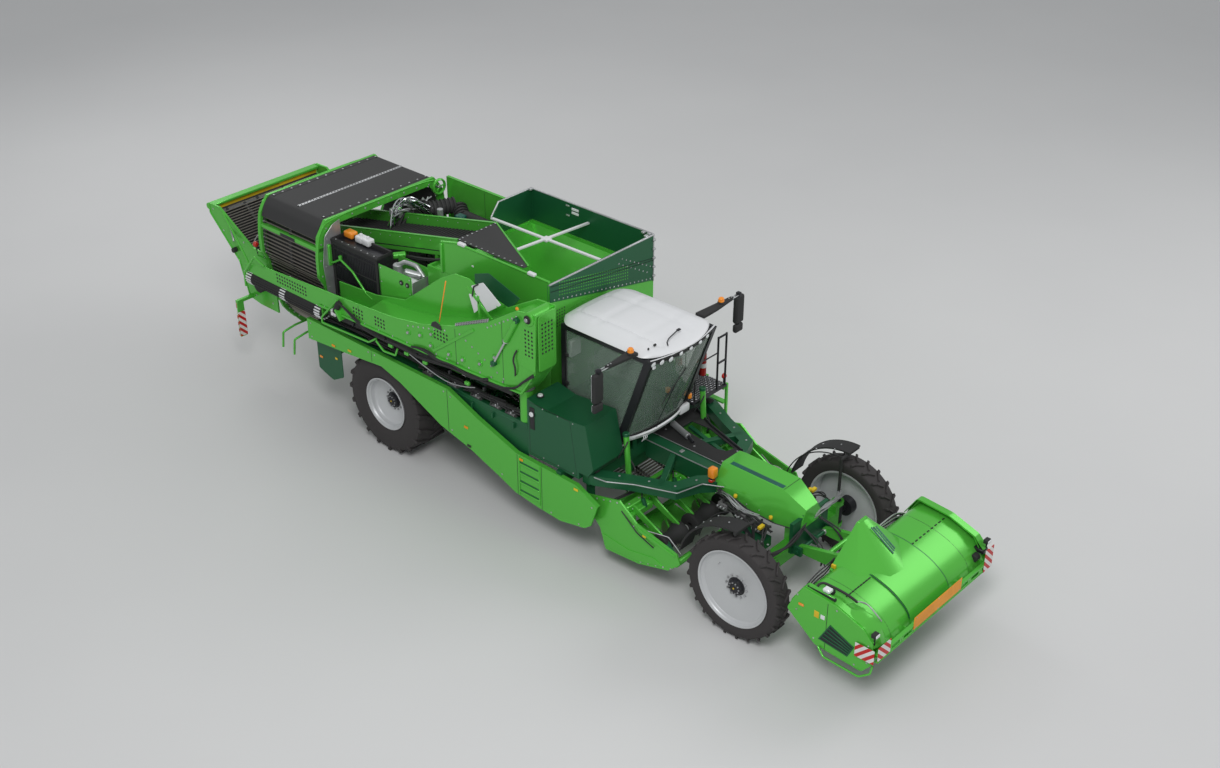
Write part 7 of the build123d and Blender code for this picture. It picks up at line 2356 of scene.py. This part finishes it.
def make_engine(kit):
    """Rocker covers, pipes, belts, filter hose, silencer wrap and side lip of the engine."""
    low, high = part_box("engine_block")
    for k in range(6):
        y = 2.45 + 0.22 * k
        kit.add(IRON, block((0.74, y - 0.09, high.z), (1.02, y + 0.09, high.z + 0.07), 0.02))
        kit.add(ZINC, bolts([(0.8, y, high.z + 0.07), (0.96, y, high.z + 0.07)], "z", 0.012))
        for x in (low.x, high.x):
            kit.add(IRON, block((x - 0.02, y - 0.03, 2.1), (x + 0.02, y + 0.03, 2.85), 0.008))
    kit.add(
        IRON, rod((0.93, 3.7, 2.4), (0.93, 3.76, 2.4), 0.2, 30, edge=0.01),
        rod((0.7, 3.7, 2.7), (0.7, 3.76, 2.7), 0.09, 24),
        rod((1.18, 3.7, 2.66), (1.18, 3.76, 2.66), 0.08, 24),
    )
    kit.add(
        RUBBER,
        tube(
            [
                (0.73, 3.74, 2.4), (0.62, 3.74, 2.7), (0.7, 3.74, 2.8), (1.18, 3.74, 2.76),
                (1.26, 3.74, 2.64), (1.13, 3.74, 2.38), (0.93, 3.74, 2.19), (0.73, 3.74, 2.4),
            ],
            0.012, 0.3,
        ),
        ribbed_hose((0.84, 3.86, 3.4), (1.3, 3.62, 3.42), 0.15, 7),
        ribbed_hose((1.36, 3.58, 3.38), (1.2, 3.26, 3.22), 0.145, 6),
    )
    kit.add(
        PLASTIC, rod((1.15, 3.2, 3.38), (1.15, 2.2, 3.36), 0.1, 24, edge=0.02),
        rod((1.15, 3.24, 3.14), (1.15, 3.2, 3.14), 0.185, 30, edge=0.01),
        rod((1.15, 2.52, 3.14), (1.15, 2.47, 3.14), 0.18, 30, edge=0.015),
    )
    for y in (2.7, 3.05):
        kit.add(ZINC, rod((1.15, y, 3.14), (1.15, y + 0.03, 3.14), 0.174, 30, edge=0.003))
    kit.add(WHITE, block((1.02, 2.6, 3.298), (1.12, 3.0, 3.318), 0.004))
    kit.add(
        TEAL, block((1.2, 2.44, 3.1), (1.42, 2.6, 3.36), 0.03, 2),
        rod((1.34, 2.6, 3.24), (1.34, 3.1, 3.24), 0.02, 12),
    )
    over = [(0.06, 3.96, 3.3), (0.2, 3.94, 3.7), (0.52, 3.86, 3.74), (0.86, 3.74, 3.34)]
    kit.add(CHROME, hose_run(over, 7, 0.075, 0.018))
    across = [(0.1, 3.86, 3.62), (0.4, 3.96, 3.6), (0.66, 3.9, 3.44), (0.96, 3.96, 3.5)]
    kit.add(ZINC, hose_run(across, 8, 0.08, 0.014))
    under = [(0.24, 3.98, 3.24), (0.5, 3.9, 3.5), (0.78, 3.98, 3.58), (1.04, 3.8, 3.36)]
    kit.add(RUBBER, hose_run(under, 6, 0.075, 0.02))
    kit.add(
        TEAL, block((0.92, 3.06, 3.3), (1.08, 3.24, 3.46), 0.02),
        block((0.98, 2.56, 3.28), (1.06, 2.96, 3.4), 0.02),
    )
    for x, y, z in (
        (0.3, 3.98, 3.46), (0.52, 3.94, 3.6), (0.74, 3.98, 3.5), (0.6, 4.0, 3.3), (0.16, 4.0, 3.56),
    ):
        kit.add(
            ZINC, block((x - 0.06, y - 0.04, z - 0.06), (x + 0.06, y + 0.04, z + 0.06), 0.014),
            bolts([(x - 0.03, y, z + 0.06), (x + 0.03, y, z + 0.06)], "z", 0.012),
        )
    kit.add(ZINC, rod((0.7, 3.35, 3.36), (0.7, 3.35, 3.62), 0.055, 18, edge=0.004))
    for z in (3.06, 3.14, 3.22, 3.3):
        kit.add(IRON, rod((0.7, 3.35, z), (0.7, 3.35, z + 0.025), 0.118, 26))
    panel_low, panel_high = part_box("engine_side_panel")
    kit.add(GREEN, bar((1.58, 1.96, 3.755), (1.58, 4.09, 3.755), 0.06, 0.016))
    kit.add(BLACK_STEEL, block((panel_low.x - 0.0015, 3.1, 2.0), (panel_low.x + 0.001, 3.106, 3.73), 0))
    for z in (2.05, 3.68):
        kit.add(ZINC, bolts([(panel_high.x, y, z) for y in spread(2.05, 4.0, 10)], "x", 0.011))
    for z in spread(2.3, 3.1, 9):
        kit.add(PLASTIC, block((panel_high.x - 0.002, 2.5, z), (panel_high.x + 0.012, 3.5, z + 0.035), 0.008))
    kit.add(BLACK_STEEL, block((1.3, 2.3, 2.95), (1.56, 2.42, 3.02), 0.01))


class OBJECT_OT_harvester_engine_deck(bpy.types.Operator):
    """Model the radiator's slats and tray, the service cabinet, the engine and its pipes"""

    bl_idname = "object.harvester_engine_deck"
    bl_label = "Engine deck"

    def execute(self, context):
        build("engine_deck", "chassis", (make_radiator, make_cabinet, make_engine))
        return {"FINISHED"}


# ---------------------------------------------------------------- ring elevator and rod webs
RING_HALF = (
    (0.82, 0.0), (1.18, 0.16), (1.36, 0.4), (1.4, 0.55), (1.5, 0.62), (1.5, 0.76), (1.45, 0.9), (1.26, 1.0),
)


def ring_line(inset, steps=4):
    """Rounded closed line of the ring elevator seen from behind, as (x, z) points."""
    half = [(x - inset, 1.12 + inset + share * (2.71 - 2 * inset)) for x, share in RING_HALF]
    whole = half + [(-x, z) for x, z in reversed(half)]
    count = len(whole)
    line = []
    for k in range(count):
        before, here, after = (Vector(whole[(k + d) % count]) for d in (-1, 0, 1))
        for i in range(steps + 1):
            t = i / steps
            start = here.lerp(before, 0.32)
            end = here.lerp(after, 0.32)
            line.append(start.lerp(here, t).lerp(here.lerp(end, t), t))
    return line


def evenly(line, pitch, closed=False):
    """Points and directions along a line at an even pitch."""
    points = [Vector(p) for p in line]
    if closed:
        points.append(points[0])
    made = []
    left = 0.0
    for start, end in zip(points, points[1:]):
        run = (end - start).length
        if run < 1e-6:
            continue
        place = left
        while place < run:
            made.append((start.lerp(end, place / run), (end - start) / run))
            place += pitch
        left = place - run
    return made


def rods_along(line, axis, low, high, pitch, radius, closed=False):
    """Web rods at an even pitch along a line, running from low to high on an axis."""
    start, end = on_axis(axis, low, (0, 0)), on_axis(axis, high, (0, 0))
    source = rod(start, end, radius, 8, edge=0)
    return copies(source, [on_axis(axis, 0, point) for point, _ in evenly(line, pitch, closed)])


def make_ring_web(kit):
    """Rod web with three belts round the ring, a rubber skin inside the rods and knobs along its edges."""
    y0, y1 = 4.165, 5.695
    kit.add(WEB_STEEL, rods_along(ring_line(0.055), "y", y0, y1, 0.075, 0.012, True))
    belt = ring_line(0.055)
    closed = belt + [belt[0]]
    for y in (y0 + 0.03, (y0 + y1) / 2, y1 - 0.03):
        rows = [[(p[0], y + dy, p[1]) for p in closed] for dy in (-0.035, 0.035)]
        kit.add(RUBBER, skin(rows, 0.014, 0.0))
    inner = ring_line(0.125)
    closed = inner + [inner[0]]
    kit.add(RUBBER, skin([[(p[0], y, p[1]) for p in closed] for y in (y0, y1)], 0.004, 0.0))
    knobs = [
        Vector((p[0], y, p[1]))
        for p, _ in evenly(ring_line(0.04), 0.15, True)
        for y in (y0 + 0.03, y1 - 0.03)
    ]
    kit.add(ZINC, copies(rod((-0.012, 0, 0), (0.012, 0, 0), 0.013, 8, edge=0), knobs))


def make_ring_mat(kit):
    """Black mat over the top with its clamping rows and grey seam."""
    line = [
        (-1.44, 3.5), (-1.36, 3.7), (-1.24, 3.812), (-1.16, 3.826), (1.14, 3.826), (1.24, 3.812),
        (1.34, 3.7),
    ]
    bent = softened([(x, 0, z) for x, z in line], 0.3, 3)
    kit.add(RUBBER, skin([[(p.x, y, p.z) for p in bent] for y in (4.17, 5.69)], 0.006, 0.0))
    for y in (4.24, 5.62):
        kit.add(RUBBER, block((-1.2, y - 0.03, 3.826), (1.2, y + 0.03, 3.834), 0.002))
        kit.add(ZINC, bolts([(x, y, 3.835) for x in spread(-1.18, 1.18, 13)], "z", 0.014))
    seam = [(-1.18, 4.93, 3.831), (1.2, 4.93, 3.831)]
    kit.add(ZINC, bar(*seam, 0.06, 0.004, 0.001))
    knot = rod((0, 0, -0.002), (0, 0, 0.006), 0.012, 8, edge=0)
    kit.add(RUBBER, copies(knot, spread(Vector(seam[0]), Vector(seam[1]), 36)))


def make_ring_trim(kit):
    """Lips, screws, guard sheets, drive ring and lamp on the ring's plates."""
    outline = ring_line(0.004)
    for y in (4.1, 5.76):
        path = [(p[0], y, p[1]) for p in outline]
        kit.add(GREEN, tube(path + path[:1], 0.014, 0.1, steps=1))
    heads = [Vector((p[0], 4.098, p[1])) for p, _ in evenly(ring_line(0.065), 0.3, True)]
    kit.add(ZINC, bolts(heads, "y", 0.013), bolts([Vector((p.x, 5.762, p.z)) for p in heads], "y", 0.013))
    guard = [
        (-1.36, 2.3), (-1.42, 3.05), (-1.34, 3.56), (-1.14, 3.74), (-0.98, 3.78), (-0.98, 3.48),
        (-1.14, 3.42), (-1.2, 3.2), (-1.2, 2.3),
    ]
    kit.add(
        ZINC, plate(guard, "y", 4.06, 4.072, corner=0.03),
        bolts(
            [(-1.33, 4.058, 2.6), (-1.36, 4.058, 3.0), (-1.29, 4.058, 3.5), (-1.05, 4.058, 3.7)], "y",
            0.012,
        ),
    )
    kit.add(GREEN, block((-1.3, 4.02, 3.0), (-1.24, 4.1, 3.4), 0.01))
    hoop = [(0.03 * cos(2 * pi * k / 8), 0.135 + 0.022 * sin(2 * pi * k / 8)) for k in range(8)]
    kit.add(GREEN, turned(hoop, (1.3, 4.02, 3.66), "y", 32))
    for k in range(3):
        angle = 2 * pi * k / 3
        foot = (1.3 + 0.125 * cos(angle), 4.02, 3.66 + 0.125 * sin(angle))
        kit.add(GREEN, bar((1.3, 4.02, 3.66), foot, 0.03, 0.02))
    kit.add(ZINC, rod((1.3, 4.0, 3.66), (1.3, 4.1, 3.66), 0.035, 16))
    kit.add(GREEN, block((-1.47, 4.1, 3.28), (-1.34, 5.76, 3.36), 0.008))
    kit.add(BLACK_STEEL, block((-1.475, 4.75, 3.29), (-1.47, 5.15, 3.35), 0))
    kit.add(
        WHITE, dome((-1.5, 4.95, 2.52), 0.05, 0.05, (-1, 0, 0)),
        dome((-1.5, 4.82, 2.5), 0.035, 0.04, (-1, 0, 0)),
    )
    kit.add(
        ZINC,
        tube(
            [(-1.49, 5.05, 2.44), (-1.51, 4.92, 2.42), (-1.5, 4.8, 2.46), (-1.49, 4.72, 2.52)], 0.012, 0.3,
        ),
    )


def make_rear_web(kit):
    """Rods and belts of the inclined web behind the ring, over a black sheet of painted shade that darkens
    the gaps.
    """
    # Black sheet just under the rods: painted shade, so the gaps between the rods read dark.
    painted_shade_sheet = [[(x, y, z) for x in (-1.22, 1.22)] for y, z in ((7.545, 2.96), (5.99, 1.69))]
    kit.add(RUBBER, skin(painted_shade_sheet, 0.006, 0.0))
    for line in (((7.5, 2.93), (6.02, 1.68)), ((7.42, 2.97), (5.92, 1.74))):
        kit.add(WEB_STEEL, rods_along([Vector(p) for p in line], "x", -1.22, 1.22, 0.055, 0.011))
        for x in (-1.18, -0.6, 0.0, 0.6, 1.18):
            (ya, za), (yb, zb) = line
            kit.add(RUBBER, bar((x, ya, za), (x, yb, zb), 0.06, 0.014))
    for y, z in ((7.43, 2.93), (5.99, 1.71)):
        kit.add(IRON, rod((-1.23, y, z), (1.23, y, z), 0.04, 18))
        for x in (-1.0, -0.3, 0.3, 1.0):
            kit.add(RUBBER, rod((x - 0.03, y, z), (x + 0.03, y, z), 0.055, 20))


def make_rear_trim(kit):
    """Lips, struts, bars, boards, lamps and legs at the rear end."""
    kit.add(YELLOW, block((-1.23, 7.535, 2.955), (1.23, 7.55, 3.05), 0.003))
    kit.add(GREEN, block((-1.24, 7.46, 3.06), (1.24, 7.62, 3.11), 0.008))
    line = [(5.78, 2.55), (6.35, 2.6), (7.25, 3.13), (7.56, 3.12), (7.56, 2.94), (6.8, 2.18), (6.6, 1.5)]
    for side in (RIGHT, LEFT):
        kit.add(GREEN, tube([(side * 1.272, y, z) for y, z in line], 0.014, 0.08, steps=3))
        spots = [
            (6.0, 2.5), (6.6, 2.62), (7.1, 2.95), (7.45, 3.04), (7.2, 2.68), (6.7, 2.0), (6.4, 1.6),
            (5.9, 1.6),
        ]
        kit.add(ZINC, bolts([(side * 1.271, y, z) for y, z in spots], "x", 0.014))
        kit.add(
            GREEN,
            tube(
                [
                    (side * 1.285, 7.13, 3.05), (side * 1.4, 6.6, 2.7), (side * 1.46, 6.2, 2.32),
                    (side * 1.4, 5.8, 2.42),
                ],
                0.02, 0.2, steps=4, sides=4,
            ),
        )
        kit.add(ZINC, rod((side * 1.275, 6.95, 2.78), (side * 1.36, 6.78, 2.62), 0.02, 12))
        kit.add(PLASTIC, rod((side * 1.275, 6.86, 2.4), (side * 1.36, 6.86, 2.4), 0.05, 18, edge=0.008))
        low_x, high_x = sorted((side * 1.5, side * 1.655))
        for y in (6.502, 6.542):
            kit.add(STRIPES, block((low_x, y - 0.006, 0.84), (high_x, y + 0.006, 1.34), 0.002))
        kit.add(RED_LENS, block((low_x + 0.02, 6.548, 1.4), (high_x - 0.02, 6.575, 1.5), 0.008))
        kit.add(AMBER_LENS, block((low_x + 0.02, 6.548, 1.5), (high_x - 0.02, 6.575, 1.56), 0.006))
        for y, foot in ((5.22, 1.08), (4.9, 1.04)):
            legs = [
                (side * 1.05, y - 0.1, foot + 0.4), (side * 1.36, y - 0.06, foot + 0.38),
                (side * 1.6, y, foot + 0.3), (side * 1.62, y + 0.02, foot),
            ]
            kit.add(GREEN, tube(legs, 0.02, 0.3, steps=5, sides=4))
        kit.add(PLASTIC, rod((side * 1.3, 6.1, 1.95), (side * 1.42, 6.1, 1.95), 0.14, 28, edge=0.01))
        kit.add(GREEN, block((side * 1.27, 5.8, 2.3), (side * 1.3, 6.2, 2.5), 0.006))
    kit.add(
        RED_LENS, dome((-1.29, 6.2, 2.72), 0.055, 0.055, (0, 0, 1)),
        dome((-1.29, 6.2, 2.72), 0.055, 0.055, (0, 0, -1)),
    )
    kit.add(BLACK_STEEL, rod((-1.262, 6.2, 2.5), (-1.29, 6.2, 2.68), 0.012, 10))
    kit.add(ZINC, tube([(-1.24, 6.4, 2.6), (-1.16, 6.3, 2.82), (-1.0, 6.1, 2.9)], 0.012, 0.3))
    kit.add(
        RUBBER,
        hose_run([(-1.3, 6.5, 2.2), (-1.36, 6.2, 2.0), (-1.34, 5.95, 2.2), (-1.3, 5.8, 2.4)], 4, 0.025),
    )
    kit.add(DARK_GREEN, block((-1.26, 5.79, 1.96), (-1.2, 6.3, 2.4), 0.01))


def make_under_webs(kit):
    """Rods and belts of the two sieve webs under the machine."""
    for line in (((-2.38, 0.705), (1.5, 1.735)), ((-2.38, 0.625), (1.53, 1.66))):
        kit.add(WEB_STEEL, rods_along([Vector(p) for p in line], "x", -0.49, 0.49, 0.055, 0.011))
        for x in (-0.46, 0.0, 0.46):
            (ya, za), (yb, zb) = line
            kit.add(RUBBER, bar((x, ya, za), (x, yb, zb), 0.05, 0.014))
    for z in (1.42, 1.51):
        kit.add(WEB_STEEL, rods_along([Vector((1.68, z)), Vector((5.52, z))], "x", -0.48, 0.48, 0.055, 0.011))
        for x in (-0.46, 0.0, 0.46):
            kit.add(RUBBER, bar((x, 1.66, z), (x, 5.54, z), 0.05, 0.014))
    for y, z in ((-2.38, 0.665), (1.52, 1.7), (1.7, 1.465), (5.5, 1.465)):
        kit.add(IRON, rod((-0.49, y, z), (0.49, y, z), 0.035, 16))


class OBJECT_OT_harvester_webs(bpy.types.Operator):
    """Model the ring elevator's rods and mat, the rear web, the sieve webs and their guards"""

    bl_idname = "object.harvester_webs"
    bl_label = "Ring elevator and webs"

    def execute(self, context):
        build("ring_web", "chassis", (make_ring_web, make_ring_mat), "ring_elevator_web")
        build("ring_trim", "chassis", (make_ring_trim, make_rear_trim))
        build("rear_web", "chassis", (make_rear_web,), "rear_rod_web")
        build("sieve_webs", "chassis", (make_under_webs,), "first_sieve_web", "second_sieve_web")
        return {"FINISHED"}


# ---------------------------------------------------------------- stage
CAMERA_PLACE = (-16.644, -16.375, 15.434)
CAMERA_TURN = (59.418, 0.0, -47.913)
CAMERA_LENS = 47.41


def lamp(name, place, target, size, power):
    """Soft area lamp that looks at a target."""
    light = bpy.data.lights.new(name, "AREA")
    light.shape = "DISK"
    light.size = size
    light.energy = power
    holder = bpy.data.objects.new(name, light)
    bpy.context.scene.collection.objects.link(holder)
    holder.location = place
    holder.rotation_euler = (Vector(target) - Vector(place)).to_track_quat("-Z", "Y").to_euler()


class OBJECT_OT_harvester_stage(bpy.types.Operator):
    """Set up the pale floor, the soft light and the camera"""

    bl_idname = "object.harvester_stage"
    bl_label = "Stage"

    def execute(self, context):
        scene = context.scene
        scene.view_settings.view_transform = "Standard"
        select_only()
        bpy.ops.mesh.primitive_plane_add(size=240, location=(0, 0, 0))
        floor = context.object
        floor.name = "floor"
        tree, shader = new_material("pale_floor")
        place = node(tree, "ShaderNodeTexCoord").outputs["Object"]
        cloud = noise(tree, place, 0.15, 3.0)
        tree.links.new(
            blend_colour(tree, cloud, (0.6, 0.6, 0.6), (0.66, 0.66, 0.655)), shader.inputs["Base Color"],
        )
        shader.inputs["Roughness"].default_value = 0.9
        dress(floor, "pale_floor")
        world = bpy.data.worlds.new("soft_sky")
        world.use_nodes = True
        scene.world = world
        sky = world.node_tree.nodes["Background"]
        sky.inputs[0].default_value = (0.86, 0.88, 0.9, 1)
        sky.inputs[1].default_value = 0.55
        lamp("key_lamp", (-14, -13, 22), (0, -1, 1), 9, 3000)
        lamp("fill_lamp", (16, -10, 14), (0, 0, 1), 12, 800)
        lamp("back_lamp", (4, 18, 14), (0, 0, 1), 10, 700)
        view = bpy.data.cameras.new("view")
        view.lens = CAMERA_LENS
        view.sensor_width = 36
        view.clip_end = 500
        holder = bpy.data.objects.new("view", view)
        scene.collection.objects.link(holder)
        holder.location = CAMERA_PLACE
        holder.rotation_euler = [radians(a) for a in CAMERA_TURN]
        scene.camera = holder
        return {"FINISHED"}


# ---------------------------------------------------------------- panel, registration and run
class VIEW3D_PT_harvester(bpy.types.Panel):
    """Lists the harvester's operators and values"""

    bl_label = "Harvester"
    bl_space_type = "VIEW_3D"
    bl_region_type = "UI"
    bl_category = "Harvester"

    def draw(self, context):
        for step in STEPS:
            self.layout.operator(step.bl_idname)
        for group in (context.scene.harvester_sizes, context.scene.harvester_colours):
            for name in group.__annotations__:
                self.layout.prop(group, name)


STEPS = (
    OBJECT_OT_harvester_finishes, OBJECT_OT_harvester_wheels, OBJECT_OT_harvester_topper,
    OBJECT_OT_harvester_cab, OBJECT_OT_harvester_front_end, OBJECT_OT_harvester_digging_unit,
    OBJECT_OT_harvester_sides, OBJECT_OT_harvester_boom, OBJECT_OT_harvester_bunker,
    OBJECT_OT_harvester_engine_deck, OBJECT_OT_harvester_webs, OBJECT_OT_harvester_stage,
)
CLASSES = (HarvesterSizes, HarvesterColours, *STEPS, VIEW3D_PT_harvester)


def register():
    """Register the classes and keep the sizes and colours with the scene."""
    for cls in CLASSES:
        bpy.utils.register_class(cls)
    bpy.types.Scene.harvester_sizes = bpy.props.PointerProperty(type=HarvesterSizes)
    bpy.types.Scene.harvester_colours = bpy.props.PointerProperty(type=HarvesterColours)


def unregister():
    """Undo register."""
    del bpy.types.Scene.harvester_colours
    del bpy.types.Scene.harvester_sizes
    for cls in reversed(CLASSES):
        bpy.utils.unregister_class(cls)


def main():
    """Run every step in order."""
    register()
    for step in STEPS:
        call = getattr(bpy.ops.object, step.bl_idname.split(".")[1])
        if "FINISHED" not in call():
            raise RuntimeError(f"{step.bl_label} did not finish")


if __name__ == "__main__":
    main()
